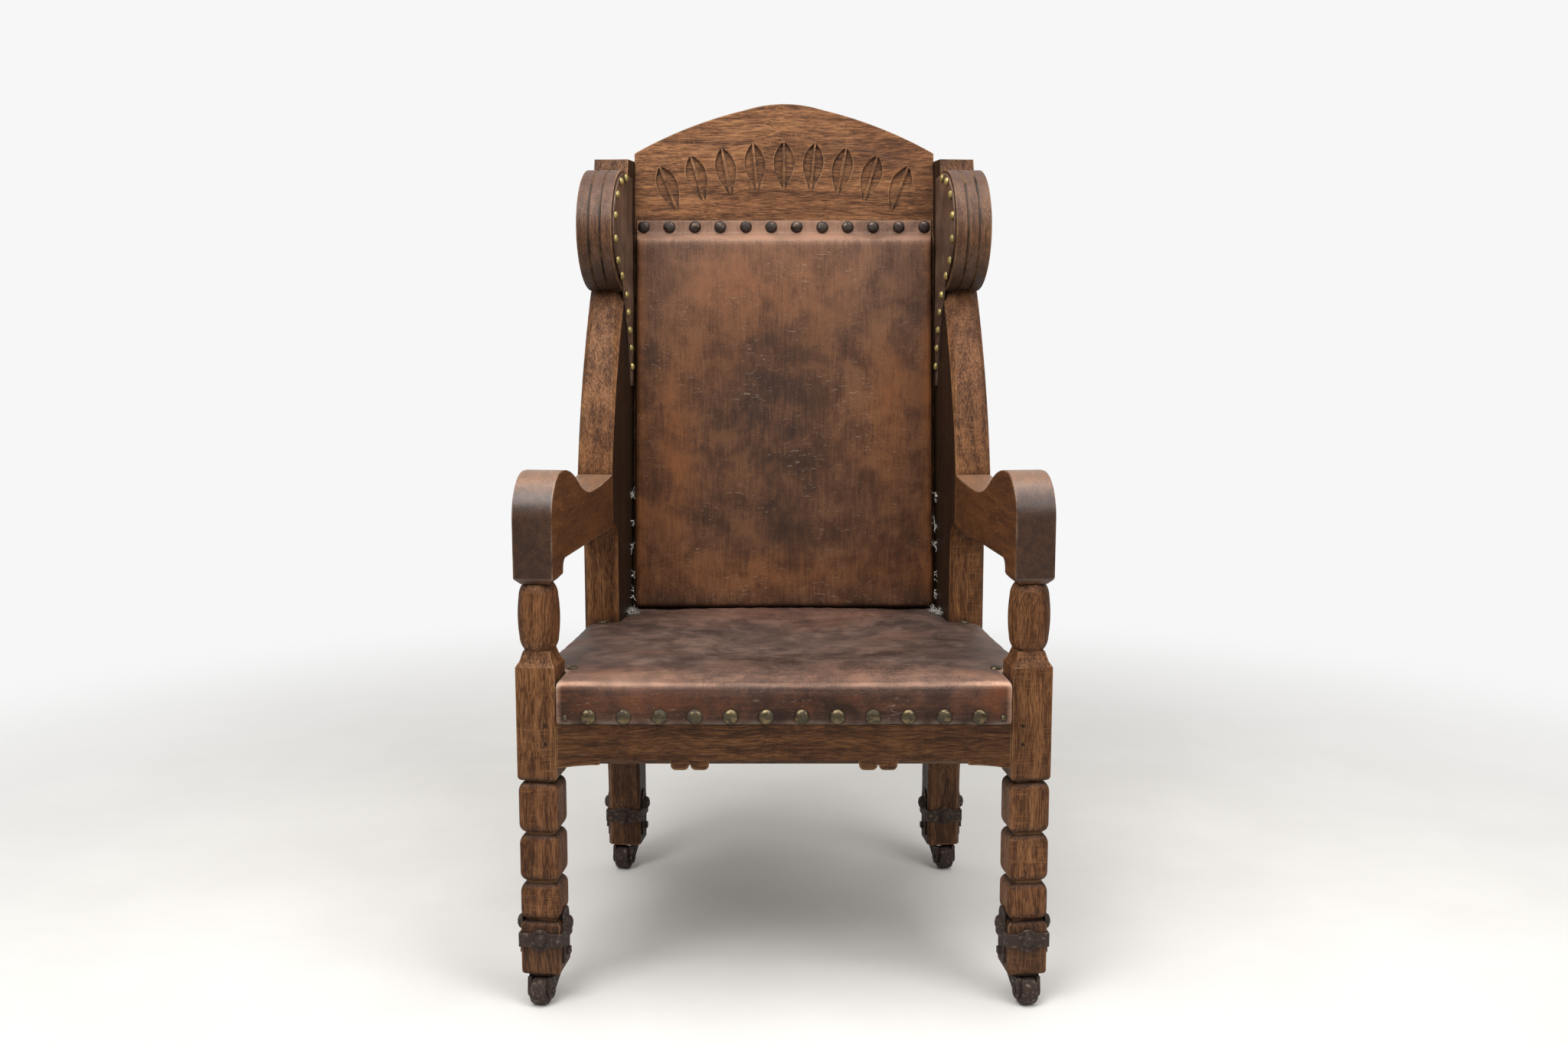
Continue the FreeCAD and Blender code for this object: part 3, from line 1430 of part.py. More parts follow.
def build_chair():
    """All the sub-parts that are written out."""
    leg = build_front_leg()
    post = build_rear_post()
    leg_twin = mirrored(leg, "front_leg_blank_twin")
    post_twin = mirrored(post, "rear_post_board_twin")
    legs = fuse("leg_pair", [leg, leg_twin])
    posts = fuse("post_pair", [post, post_twin])
    arm = build_arm()
    ear = build_ear(post)
    front_rail, front_tenons = build_front_rail(legs)
    side_rail, side_front_tenon, side_rear_tenon = build_side_rail(leg, post)
    rear_rail, rear_tenons = build_rear_rail(posts)
    crest, crest_tenons = build_crest(posts)
    lower_rail, lower_tenons = build_lower_back_rail(posts)
    stile = build_back_stile(posts)
    leg_bore = build_stem_bore("front_stem_bore", half_board)
    leg_mortises = fuse("front_leg_mortises", [front_tenons[0], side_front_tenon, leg_bore])
    leg_right = cut("front_leg_right", leg, leg_mortises)
    post_bore = build_stem_bore("rear_stem_bore", size.rear_foot_reach)
    bevels = [build_wing_bevel(1), build_wing_bevel(-1)]
    post_cuts = [arm, side_rear_tenon, rear_tenons[0], crest_tenons[0], lower_tenons[0], post_bore] + bevels
    post_right = cut("rear_post_right", post, fuse("rear_post_mortises", post_cuts))
    arm_right = cut("arm_right", arm, leg)
    frame = fuse("seat_frame", [leg, post, front_rail, side_rail, rear_rail])
    seat_leather, seat_stuffing = build_seat()
    back_leather, back_stuffing = build_back()
    wing = build_wing_leather()
    nail = build_nail("nail", size.nail_radius, size.nail_height, size.nail_shank, size.nail_length)
    small_nail = build_nail("small_nail", size.small_nail_radius, size.small_nail_height, size.nail_shank,
                            size.nail_length)
    bolt = build_nail("bolt", size.collar_bolt_radius, size.collar_bolt_height, size.bolt_shank,
                      size.bolt_length)
    side_bolt = build_nail("side_bolt", size.side_bolt_radius, size.side_bolt_height, size.bolt_shank,
                           size.bolt_length)
    bolts = build_collar_bolts(bolt, side_bolt)
    collar_front = build_collar("foot_collar_front_right", half_board)
    collar_rear = build_collar("foot_collar_rear_right", size.rear_foot_reach)
    nodes = [leg_right, post_right, arm_right, ear, side_rail, stile, wing, collar_front, collar_rear]
    nodes += build_castor("front_right", half_board) + build_castor("rear_right", size.rear_foot_reach)
    nodes = nodes + [mirrored(node, node.Label.replace("right", "left")) for node in nodes]
    nodes += [front_rail, rear_rail, crest, lower_rail, build_corner_blocks(frame), build_pegs()]
    nodes += [build_seat_webbing(), seat_stuffing, seat_leather]
    nodes += [build_back_webbing(), back_stuffing, back_leather, build_outside_back()]
    nodes += [build_seat_nails(nail), build_crest_nails(nail), build_wing_nails(small_nail)]
    nodes += [build_outside_nails(small_nail), build_collar_screws()]
    nodes += list(bolts)
    return nodes


def check(nodes):
    """Stop before writing if any object failed or any sub-part has no sound shape."""
    for thing in doc.Objects:
        if "Invalid" in thing.State or "Error" in thing.State:
            raise RuntimeError("%s did not build: %s" % (thing.Label, thing.State))
    for node in nodes:
        if node.Shape.isNull() or not node.Shape.isValid() or not node.Shape.Solids:
            raise RuntimeError("%s has no sound solid" % node.Label)


chair = build_chair()
doc.recompute()
check(chair)
os.makedirs("parts", exist_ok=True)
for node in chair:
    node.Shape.exportStep("parts/%s.step" % node.Label)
    print("%s: %d solids, %.1f cm3" % (node.Label, len(node.Shape.Solids), node.Shape.Volume / 1000))
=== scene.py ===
"""Throne chair: the visible pieces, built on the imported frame.

Each sub-assembly of the chair is a class that holds its sizes and builds its own pieces.
Every length is in metres, with X to the right as the chair is looked at, Y to the back and Z up.
"""

from __future__ import annotations

import json
import logging
import math
import random
from collections.abc import Callable, Sequence
from dataclasses import dataclass, field
from enum import Enum

import bmesh
import bpy
import numpy as np
from mathutils import Euler, Matrix, Vector, noise
from mathutils.bvhtree import BVHTree

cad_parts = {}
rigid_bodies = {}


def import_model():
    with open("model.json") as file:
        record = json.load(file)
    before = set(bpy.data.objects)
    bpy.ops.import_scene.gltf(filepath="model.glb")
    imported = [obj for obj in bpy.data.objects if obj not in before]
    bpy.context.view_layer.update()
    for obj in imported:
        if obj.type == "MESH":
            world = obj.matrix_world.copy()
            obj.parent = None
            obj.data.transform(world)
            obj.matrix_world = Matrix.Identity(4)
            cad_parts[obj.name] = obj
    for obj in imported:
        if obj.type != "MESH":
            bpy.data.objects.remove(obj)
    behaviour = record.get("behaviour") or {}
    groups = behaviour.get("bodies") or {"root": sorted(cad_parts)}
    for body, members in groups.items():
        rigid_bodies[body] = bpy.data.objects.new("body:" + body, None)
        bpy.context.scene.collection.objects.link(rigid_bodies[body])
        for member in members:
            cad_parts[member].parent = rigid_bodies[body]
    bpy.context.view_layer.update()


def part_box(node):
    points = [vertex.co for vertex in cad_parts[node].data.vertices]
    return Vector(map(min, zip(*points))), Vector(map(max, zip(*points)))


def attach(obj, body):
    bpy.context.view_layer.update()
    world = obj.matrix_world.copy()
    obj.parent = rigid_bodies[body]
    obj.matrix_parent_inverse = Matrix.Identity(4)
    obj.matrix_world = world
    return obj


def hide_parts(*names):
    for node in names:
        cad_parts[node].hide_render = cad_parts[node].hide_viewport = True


LOG = logging.getLogger("throne_chair")
MM = 0.001
CHAIR = "chair"
HANDS = {"left": -1.0, "right": 1.0}
CORNERS = tuple(f"{end}_{hand}" for end in ("front", "rear") for hand in HANDS)
QUARTER = math.pi / 2
UP = Vector((0.0, 0.0, 1.0))
BACKWARD = Vector((0.0, 1.0, 0.0))

Triple = tuple[float, float, float]
Colour = Triple
Socket = bpy.types.NodeSocket
Feed = Socket | float | Sequence[float]
Piece = bpy.types.Object
Shape = bmesh.types.BMesh
Point = bmesh.types.BMVert
Spot = tuple[Vector, Vector, float]


@dataclass(frozen=True)
class ChairFrame:
    """The lines that the chair is set out from."""

    front_line: float
    half_front: float = 0.336
    splay: float = math.radians(6.6)
    back_reach: float = 0.506
    back_level: float = 0.440
    rake: float = math.radians(4.0)

    @classmethod
    def from_packed(cls, rail_proud: float = 3.5 * MM) -> ChairFrame:
        """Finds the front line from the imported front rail."""
        low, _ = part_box("front_seat_rail")
        return cls(front_line=low.y + rail_proud)

    def side(self, across: float, along: float, level: float, hand: float) -> Vector:
        """Gives a place on a splayed side.

        Args:
            across: Distance outward from the side's middle line.
            along: Distance back from the front line.
            level: Height above the floor.
            hand: 1 for the right side, -1 for the left.

        Returns:
            The place in the chair's frame.
        """
        x = self.half_front + across * math.cos(self.splay) - along * math.sin(self.splay)
        y = self.front_line + across * math.sin(self.splay) + along * math.cos(self.splay)
        return Vector((hand * x, y, level))

    def back(self, across: float, out: float, up: float) -> Vector:
        """Gives a place on the raked back.

        Args:
            across: Distance to the right of the middle.
            out: Distance behind the back's plane.
            up: Distance up the back's plane.

        Returns:
            The place in the chair's frame.
        """
        y = self.front_line + self.back_reach + out * math.cos(self.rake) + up * math.sin(self.rake)
        z = self.back_level - out * math.sin(self.rake) + up * math.cos(self.rake)
        return Vector((across, y, z))


class Wiring:
    """Adds and joins the nodes of one shader tree."""

    def __init__(self, tree: bpy.types.NodeTree) -> None:
        """Keeps the tree that the nodes go into."""
        self.tree = tree

    def feed(self, socket: Socket, value: Feed) -> None:
        """Joins a value to an input, or sets it there.

        Args:
            socket: The input.
            value: Another node's output, or a plain value.
        """
        if isinstance(value, Socket):
            self.tree.links.new(value, socket)
        else:
            socket.default_value = value

    def node(
        self, kind: str, feeds: dict[str | int, Feed] | None = None, **settings: object
    ) -> bpy.types.Node:
        """Adds a node.

        Args:
            kind: The node's type.
            feeds: What goes into its inputs.
            **settings: The node's own settings.

        Returns:
            The new node.
        """
        made = self.tree.nodes.new(kind)
        for name, value in settings.items():
            setattr(made, name, value)
        for key, value in (feeds or {}).items():
            self.feed(made.inputs[key], value)
        return made

    def place(self) -> Socket:
        """Gives the place on the piece, in the chair's frame."""
        return self.node("ShaderNodeTexCoord").outputs["Object"]

    def mask(self, label: str) -> Socket:
        """Gives a mask that is painted on the mesh."""
        return self.node("ShaderNodeAttribute", attribute_name=label).outputs["Fac"]

    def mapped(self, where: Feed, scale: Triple = (1.0, 1.0, 1.0), turn: Triple = (0.0, 0.0, 0.0)) -> Socket:
        """Scales a place by a different amount along each axis, and turns it."""
        feeds = {"Vector": where, "Scale": scale, "Rotation": turn}
        return self.node("ShaderNodeMapping", feeds).outputs["Vector"]

    def vectors(
        self, operation: str, first: Feed, second: Feed = (0.0, 0.0, 0.0), scale: Feed = 1.0
    ) -> bpy.types.NodeOutputs:
        """Adds a sum of vectors and gives its outputs."""
        feeds = {0: first, 1: second, 3: scale}
        return self.node("ShaderNodeVectorMath", feeds, operation=operation).outputs

    def height_of(self, way: Feed) -> Socket:
        """Gives the upright part of a vector."""
        return self.node("ShaderNodeSeparateXYZ", {0: way}).outputs["Z"]

    def noise(
        self, where: Feed, scale: float, detail: float = 3.0, roughness: float = 0.55, distortion: float = 0.0
    ) -> Socket:
        """Adds cloudy noise.

        Args:
            where: The places that it is drawn at.
            scale: How many clouds lie along a metre.
            detail: How fine the noise goes.
            roughness: How strong its fine parts are.
            distortion: How far it is twisted.

        Returns:
            The noise's value.
        """
        feeds = {"Vector": where, "Scale": scale, "Detail": detail}
        feeds |= {"Roughness": roughness, "Distortion": distortion}
        return self.node("ShaderNodeTexNoise", feeds).outputs["Fac"]

    def bent(self, where: Feed, scale: float, detail: float, amount: float) -> Socket:
        """Shifts places by cloudy noise, so that what is drawn there wanders.

        Args:
            where: The places.
            scale: The noise's scale.
            detail: How fine the noise goes.
            amount: How far the places shift.

        Returns:
            The shifted places.
        """
        cloud = self.node("ShaderNodeTexNoise", {"Vector": where, "Scale": scale, "Detail": detail})
        shift = self.vectors("SCALE", cloud.outputs["Color"], scale=amount)[0]
        return self.vectors("ADD", where, shift)[0]

    def borders(self, where: Feed, scale: Feed) -> Socket:
        """Gives the distance to the nearest border between random cells."""
        feeds = {"Vector": where, "Scale": scale}
        return self.node("ShaderNodeTexVoronoi", feeds, feature="DISTANCE_TO_EDGE").outputs["Distance"]

    def maths(self, operation: str, first: Feed, second: Feed = 0.0) -> Socket:
        """Adds a sum of two values, held between 0 and 1."""
        made = self.node("ShaderNodeMath", {0: first, 1: second}, operation=operation, use_clamp=True)
        return made.outputs[0]

    def times(self, first: Feed, second: Feed) -> Socket:
        """Multiplies two values."""
        return self.maths("MULTIPLY", first, second)

    def span(self, value: Feed, low: float, high: float, least: Feed = 0.0, most: Feed = 1.0) -> Socket:
        """Spreads the part of a value between low and high over least to most."""
        feeds = {"Value": value, "From Min": low, "From Max": high, "To Min": least, "To Max": most}
        return self.node("ShaderNodeMapRange", feeds, interpolation_type="SMOOTHSTEP").outputs["Result"]

    def blend(self, share: Feed, first: Feed, second: Feed, mode: str = "MIX") -> Socket:
        """Mixes two colours by a share."""
        feeds = {0: share, 6: opaque(first), 7: opaque(second)}
        return self.node("ShaderNodeMix", feeds, data_type="RGBA", blend_type=mode).outputs[2]

    def layered(self, colour: Feed, layers: Sequence[tuple[Feed, float, Feed]]) -> Socket:
        """Lays tints over a colour, one after another.

        Args:
            colour: The colour under them.
            layers: The mask, the strength and the tint of each.

        Returns:
            The colour on top.
        """
        for mask, strength, tint in layers:
            colour = self.blend(self.times(mask, strength), colour, tint)
        return colour

    def ramp(self, value: Feed, places: Sequence[float], colours: Sequence[Colour]) -> Socket:
        """Turns a value into a colour by stops along it.

        Args:
            value: The value.
            places: Where the stops lie.
            colours: The colour of each stop.

        Returns:
            The colour.
        """
        made = self.node("ShaderNodeValToRGB", {"Fac": value})
        band = made.color_ramp
        while len(band.elements) < len(places):
            band.elements.new(0.5)
        for element, place, colour in zip(band.elements, places, colours):
            element.position = place
            element.color = opaque(colour)
        return made.outputs["Color"]

    def emboss(self, shader: bpy.types.Node, height: Feed, strength: float, depth: float) -> None:
        """Gives a shader fine relief."""
        made = self.node("ShaderNodeBump", {"Height": height, "Strength": strength, "Distance": depth})
        self.feed(shader.inputs["Normal"], made.outputs["Normal"])


def opaque(colour: Feed) -> Feed:
    """Gives a plain colour its full opacity, and leaves a socket as it is."""
    return colour if isinstance(colour, Socket) else (*colour[:3], 1.0)


class Effect:
    """A shader node group that is built once and placed in each material that uses it."""

    name = "effect"
    takes: dict[str, tuple[str, object]] = {}
    gives: dict[str, str] = {}

    def draw(self, wiring: Wiring, given: bpy.types.NodeOutputs) -> dict[str, Feed]:
        """Draws the inside of the group."""
        raise NotImplementedError

    def tree(self) -> bpy.types.NodeTree:
        """Gives the group's tree, built the first time it is asked for.

        Returns:
            The tree.
        """
        known = bpy.data.node_groups.get(self.name)
        if known:
            return known
        tree = bpy.data.node_groups.new(self.name, "ShaderNodeTree")
        for label, (kind, value) in self.takes.items():
            socket = tree.interface.new_socket(label, in_out="INPUT", socket_type=kind)
            if value is not None:
                socket.default_value = value
        for label, kind in self.gives.items():
            tree.interface.new_socket(label, in_out="OUTPUT", socket_type=kind)
        wiring = Wiring(tree)
        given = tree.nodes.new("NodeGroupInput").outputs
        result = tree.nodes.new("NodeGroupOutput")
        for label, value in self.draw(wiring, given).items():
            wiring.feed(result.inputs[label], value)
        return tree

    def place(self, wiring: Wiring, **feeds: Feed) -> bpy.types.NodeOutputs:
        """Places the group in a material."""
        return wiring.node("ShaderNodeGroup", feeds, node_tree=self.tree()).outputs


VALUE = "NodeSocketFloat"
VECTOR = "NodeSocketVector"


class OakFigure(Effect):
    """Growth bands, streaks, open pores and ray flecks of oak, with the grain along Z."""

    name = "oak_figure"
    takes = {"Vector": (VECTOR, None), "Flecks": (VALUE, 0.5)}
    gives = {"Tone": VALUE, "Pores": VALUE, "Rays": VALUE, "Height": VALUE}
    sway = (0.03, 0.03, 0.0)
    band_scale = (95.0, 95.0, 4.0)
    streak_scale = (600.0, 600.0, 38.0)
    pore_scale = (1150.0, 1150.0, 85.0)
    fleck_scale = (42.0, 42.0, 620.0)
    band_share = 0.38
    streak_share = 0.62

    def draw(self, wiring: Wiring, given: bpy.types.NodeOutputs) -> dict[str, Feed]:
        """Draws the figure from stretched noise.

        Args:
            wiring: The group's own tree.
            given: The group's inputs.

        Returns:
            What goes to each of the group's outputs.
        """
        drift = wiring.node("ShaderNodeTexNoise", {"Vector": given["Vector"], "Scale": 5.0, "Detail": 2.0})
        centred = wiring.vectors("SUBTRACT", drift.outputs["Color"], (0.5, 0.5, 0.5))[0]
        shift = wiring.vectors("MULTIPLY", centred, self.sway)[0]
        where = wiring.vectors("ADD", given["Vector"], shift)[0]
        bands = wiring.noise(wiring.mapped(where, self.band_scale), 1.0, 2.0)
        streaks = wiring.noise(wiring.mapped(where, self.streak_scale), 1.0, 3.0, 0.62)
        lines = wiring.noise(wiring.mapped(where, self.pore_scale), 1.0, 2.0, 0.6)
        fleck = wiring.noise(wiring.mapped(where, self.fleck_scale), 1.0, 2.0, 0.5, 0.7)
        pores = wiring.span(lines, 0.53, 0.64)
        patch = wiring.span(wiring.noise(where, 11.0, 1.0), 0.45, 0.62)
        rays = wiring.times(wiring.times(wiring.span(fleck, 0.56, 0.64), patch), given["Flecks"])
        broad = wiring.times(wiring.span(bands, 0.2, 0.8), self.band_share)
        fine = wiring.times(wiring.span(streaks, 0.2, 0.8), self.streak_share)
        tone = wiring.maths("ADD", broad, fine)
        relief = wiring.maths("SUBTRACT", wiring.times(tone, 0.6), wiring.times(pores, 0.5))
        return {"Tone": tone, "Pores": pores, "Rays": rays, "Height": wiring.maths("ADD", relief, 0.45)}


class EdgeWear(Effect):
    """Mask of rubbed arrises, broken up along their length."""

    name = "edge_wear"
    takes = {"Vector": (VECTOR, None), "Reach": (VALUE, 0.004), "Patches": (VALUE, 30.0)}
    gives = {"Wear": VALUE}

    def draw(self, wiring: Wiring, given: bpy.types.NodeOutputs) -> dict[str, Feed]:
        """Compares the rounded normal with the plain one.

        Args:
            wiring: The group's own tree.
            given: The group's inputs.

        Returns:
            What goes to each of the group's outputs.
        """
        rounded = wiring.node("ShaderNodeBevel", {"Radius": given["Reach"]}, samples=4)
        plain = wiring.node("ShaderNodeNewGeometry")
        likeness = wiring.vectors("DOT_PRODUCT", rounded.outputs["Normal"], plain.outputs["Normal"])["Value"]
        edge = wiring.span(wiring.maths("SUBTRACT", 1.0, likeness), 0.015, 0.16)
        spotty = wiring.noise(given["Vector"], given["Patches"], 4.0, 0.6)
        return {"Wear": wiring.times(edge, wiring.span(spotty, 0.34, 0.62))}


class ShadeAndGrime(Effect):
    """Mask of painted shade and old dirt in corners and round what is fixed on."""

    name = "shade_and_grime_mask"
    takes = {"Vector": (VECTOR, None), "Reach": (VALUE, 0.02)}
    gives = {"ShadeAndDirt": VALUE}
    patches = 45.0

    def draw(self, wiring: Wiring, given: bpy.types.NodeOutputs) -> dict[str, Feed]:
        """Takes the places that little open space reaches.

        Args:
            wiring: The group's own tree.
            given: The group's inputs.

        Returns:
            What goes to each of the group's outputs.
        """
        # Ambient occlusion: where little open space reaches, the mask paints shade as well as dirt.
        open_space = wiring.node("ShaderNodeAmbientOcclusion", {"Distance": given["Reach"]}, samples=4)
        hidden = wiring.maths("SUBTRACT", 1.0, open_space.outputs["AO"])
        uneven = wiring.span(wiring.noise(given["Vector"], self.patches, 4.0, 0.6), 0.2, 0.7, 0.55, 1.0)
        return {"ShadeAndDirt": wiring.times(wiring.span(hidden, 0.12, 0.75), uneven)}


class Mottling(Effect):
    """Clouds, blotches and specks of old hide or metal."""

    name = "mottling"
    takes = {"Vector": (VECTOR, None), "Spread": (VALUE, 1.0)}
    gives = {"Clouds": VALUE, "Blotches": VALUE, "Specks": VALUE}
    cloud_scale = 6.0
    blotch_scale = 24.0
    speck_scale = 760.0

    def draw(self, wiring: Wiring, given: bpy.types.NodeOutputs) -> dict[str, Feed]:
        """Draws marks of three sizes.

        Args:
            wiring: The group's own tree.
            given: The group's inputs.

        Returns:
            What goes to each of the group's outputs.
        """
        scaled = wiring.vectors("SCALE", given["Vector"], scale=given["Spread"])[0]
        clouds = wiring.noise(scaled, self.cloud_scale, 4.0, 0.62, 0.8)
        blotches = wiring.noise(scaled, self.blotch_scale, 5.0, 0.66, 0.4)
        specks = wiring.noise(scaled, self.speck_scale, 2.0, 0.6)
        return {
            "Clouds": wiring.span(clouds, 0.30, 0.70),
            "Blotches": wiring.span(blotches, 0.30, 0.70),
            "Specks": wiring.span(specks, 0.60, 0.68),
        }


class HideGrain(Effect):
    """Fine pebbled relief of leather."""

    name = "hide_grain"
    takes = {"Vector": (VECTOR, None), "Cells": (VALUE, 620.0)}
    gives = {"Height": VALUE}
    pebble_share = 0.45
    soft_share = 0.55

    def draw(self, wiring: Wiring, given: bpy.types.NodeOutputs) -> dict[str, Feed]:
        """Draws rounded cells with creases between them.

        Args:
            wiring: The group's own tree.
            given: The group's inputs.

        Returns:
            What goes to each of the group's outputs.
        """
        where = wiring.bent(given["Vector"], 90.0, 2.0, 0.004)
        pebble = wiring.span(wiring.borders(where, given["Cells"]), 0.0, 0.22)
        soft = wiring.noise(where, 160.0, 4.0, 0.65)
        shares = wiring.times(pebble, self.pebble_share), wiring.times(soft, self.soft_share)
        return {"Height": wiring.maths("ADD", *shares)}


class HairScratches(Effect):
    """Fine light scratches that lie every way, thick in some places and thin in others."""

    name = "hair_scratches"
    takes = {"Vector": (VECTOR, None)}
    gives = {"Marks": VALUE}
    scale = (75.0, 1100.0, 300.0)
    ways = ((0.3, 0.2, 0.5), (0.9, -0.6, 1.9), (-0.7, 0.8, 2.7), (1.3, 0.4, -0.6))

    def draw(self, wiring: Wiring, given: bpy.types.NodeOutputs) -> dict[str, Feed]:
        """Lays stretched noise over itself at several turns.

        Args:
            wiring: The group's own tree.
            given: The group's inputs.

        Returns:
            What goes to each of the group's outputs.
        """
        marks: Feed = 0.0
        for way in self.ways:
            turned = wiring.mapped(given["Vector"], self.scale, way)
            lines = wiring.span(wiring.noise(turned, 1.0, 1.0, 0.5, 0.4), 0.68, 0.77)
            marks = wiring.maths("MAXIMUM", marks, lines)
        thick = wiring.span(wiring.noise(given["Vector"], 13.0, 3.0, 0.6), 0.42, 0.68, 0.1, 1.0)
        return {"Marks": wiring.times(marks, thick)}


class Creases(Effect):
    """Sparse fine cracks of dry leather."""

    name = "hide_creases"
    takes = {"Vector": (VECTOR, None)}
    gives = {"Lines": VALUE}
    cells = ((24.0, 0.022), (70.0, 0.035))

    def draw(self, wiring: Wiring, given: bpy.types.NodeOutputs) -> dict[str, Feed]:
        """Takes the borders of bent cells, in patches.

        Args:
            wiring: The group's own tree.
            given: The group's inputs.

        Returns:
            What goes to each of the group's outputs.
        """
        where = wiring.bent(given["Vector"], 22.0, 4.0, 0.045)
        lines: Feed = 0.0
        for scale, width in self.cells:
            lines = wiring.maths("MAXIMUM", lines, wiring.span(wiring.borders(where, scale), width, 0.0))
        patch = wiring.span(wiring.noise(given["Vector"], 9.0, 3.0, 0.6), 0.44, 0.62)
        return {"Lines": wiring.times(lines, patch)}


class Grain(Enum):
    """Way the oak's grain runs in a piece, as the turn that brings it upright."""

    UPRIGHT = (0.0, 0.0, 0.0)
    ACROSS = (0.0, math.pi / 2, 0.0)
    FORE_AFT = (math.pi / 2, 0.0, 0.0)


@dataclass(frozen=True)
class Finish:
    """A finish, which is built once as the material of its name."""

    name: str

    def dress(self, wiring: Wiring, shader: bpy.types.Node, place: Socket) -> None:
        """Joins the finish's nodes to its shader."""
        raise NotImplementedError

    def material(self) -> bpy.types.Material:
        """Gives the finish's material, built the first time it is asked for.

        Returns:
            The material.
        """
        material = bpy.data.materials.get(self.name)
        if not material:
            material = bpy.data.materials.new(self.name)
            material.use_nodes = True
            wiring = Wiring(material.node_tree)
            self.dress(wiring, material.node_tree.nodes["Principled BSDF"], wiring.place())
        return material


@dataclass(frozen=True)
class OakFinish(Finish):
    """Old waxed oak."""

    grain: Grain
    dark: Colour = (0.058, 0.0215, 0.0072)
    middle: Colour = (0.145, 0.0580, 0.0200)
    pale: Colour = (0.270, 0.1200, 0.0460)
    worn: Colour = (0.42, 0.225, 0.098)
    shade_and_soot: Colour = (0.012, 0.0065, 0.0042)
    end_grain: Colour = (0.040, 0.0210, 0.0160)
    patch_tint: Colour = (0.66, 0.58, 0.55)
    stops: Triple = (0.27, 0.5, 0.74)
    flecks: float = 0.5
    wear: float = 0.75
    top_highlight_and_rub: float = 0.0
    gloss: float = 0.42
    polish: float = 0.0
    polish_rough: float = 0.38
    shine: float = 0.22
    pore_dark: float = 0.55
    pore_rough: float = 0.25
    ray_pale: float = 0.7
    patchy: float = 0.55
    end_cover: float = 0.9
    end_figure: float = 0.3
    corner_shade_and_grime: float = 0.85
    relief: float = 0.55
    relief_depth: float = 0.8 * MM

    def cut_ends(self, wiring: Wiring, looks: Socket) -> Socket:
        """Gives the mask of the faces that are cut across the grain.

        Args:
            wiring: The material's tree.
            looks: The way that the surface looks.

        Returns:
            The mask.
        """
        feeds = {"Vector": looks, "Rotation": self.grain.value}
        facing = wiring.node("ShaderNodeMapping", feeds, vector_type="NORMAL").outputs["Vector"]
        along = wiring.node("ShaderNodeMath", {0: wiring.height_of(facing)}, operation="ABSOLUTE").outputs[0]
        return wiring.span(along, 0.55, 0.95, 0.0, self.end_cover)

    def dress(self, wiring: Wiring, shader: bpy.types.Node, place: Socket) -> None:
        """Joins the finish's nodes to its shader, with a mask of painted shade and dirt that is painted on
        the mesh.

        Args:
            wiring: The material's tree.
            shader: The material's Principled shader.
            place: The place on the piece.
        """
        turned = wiring.mapped(place, turn=self.grain.value)
        figure = OakFigure().place(wiring, Vector=turned, Flecks=self.flecks)
        wear = EdgeWear().place(wiring, Vector=place)["Wear"]
        shade_and_grime = ShadeAndGrime().place(wiring, Vector=place)["ShadeAndDirt"]
        clouds = Mottling().place(wiring, Vector=place)["Clouds"]
        looks = wiring.node("ShaderNodeTexCoord").outputs["Normal"]
        colour = wiring.ramp(figure["Tone"], self.stops, (self.dark, self.middle, self.pale))
        pores = (figure["Pores"], self.pore_dark, self.shade_and_soot)
        colour = wiring.layered(colour, (pores, (figure["Rays"], self.ray_pale, self.pale)))
        tinted = wiring.blend(1.0, colour, self.patch_tint, "MULTIPLY")
        colour = wiring.blend(wiring.span(clouds, 0.1, 0.9, 0.0, self.patchy), colour, tinted)
        ends = wiring.blend(self.end_figure, self.end_grain, colour)
        colour = wiring.blend(self.cut_ends(wiring, looks), colour, ends)
        # Painted shade and dirt: corners that little open space reaches, and the mask painted on the mesh,
        # darken towards the soot colour.
        shaded_and_soiled = wiring.maths("MAXIMUM", wiring.times(shade_and_grime, self.corner_shade_and_grime), wiring.mask("painted_shade_and_soil"))
        colour = wiring.blend(shaded_and_soiled, colour, self.shade_and_soot)
        # Painted highlight and hand wear: faces that look upward are lightened towards the pale colour of
        # rubbed oak.
        highlit_and_handled = wiring.times(wiring.span(wiring.height_of(looks), 0.45, 0.95), self.top_highlight_and_rub)
        rubbed = wiring.maths("MAXIMUM", wiring.times(wear, self.wear), highlit_and_handled)
        wiring.feed(shader.inputs["Base Color"], wiring.blend(rubbed, colour, self.worn))
        rough = wiring.span(figure["Tone"], 0.0, 1.0, self.gloss + 0.16, self.gloss)
        rough = wiring.maths("ADD", rough, wiring.times(figure["Pores"], self.pore_rough))
        wiring.feed(shader.inputs["Roughness"], rough)
        wiring.emboss(shader, figure["Height"], self.relief, self.relief_depth)
        shader.inputs["Specular IOR Level"].default_value = self.shine
        shader.inputs["Coat Weight"].default_value = self.polish
        shader.inputs["Coat Roughness"].default_value = self.polish_rough


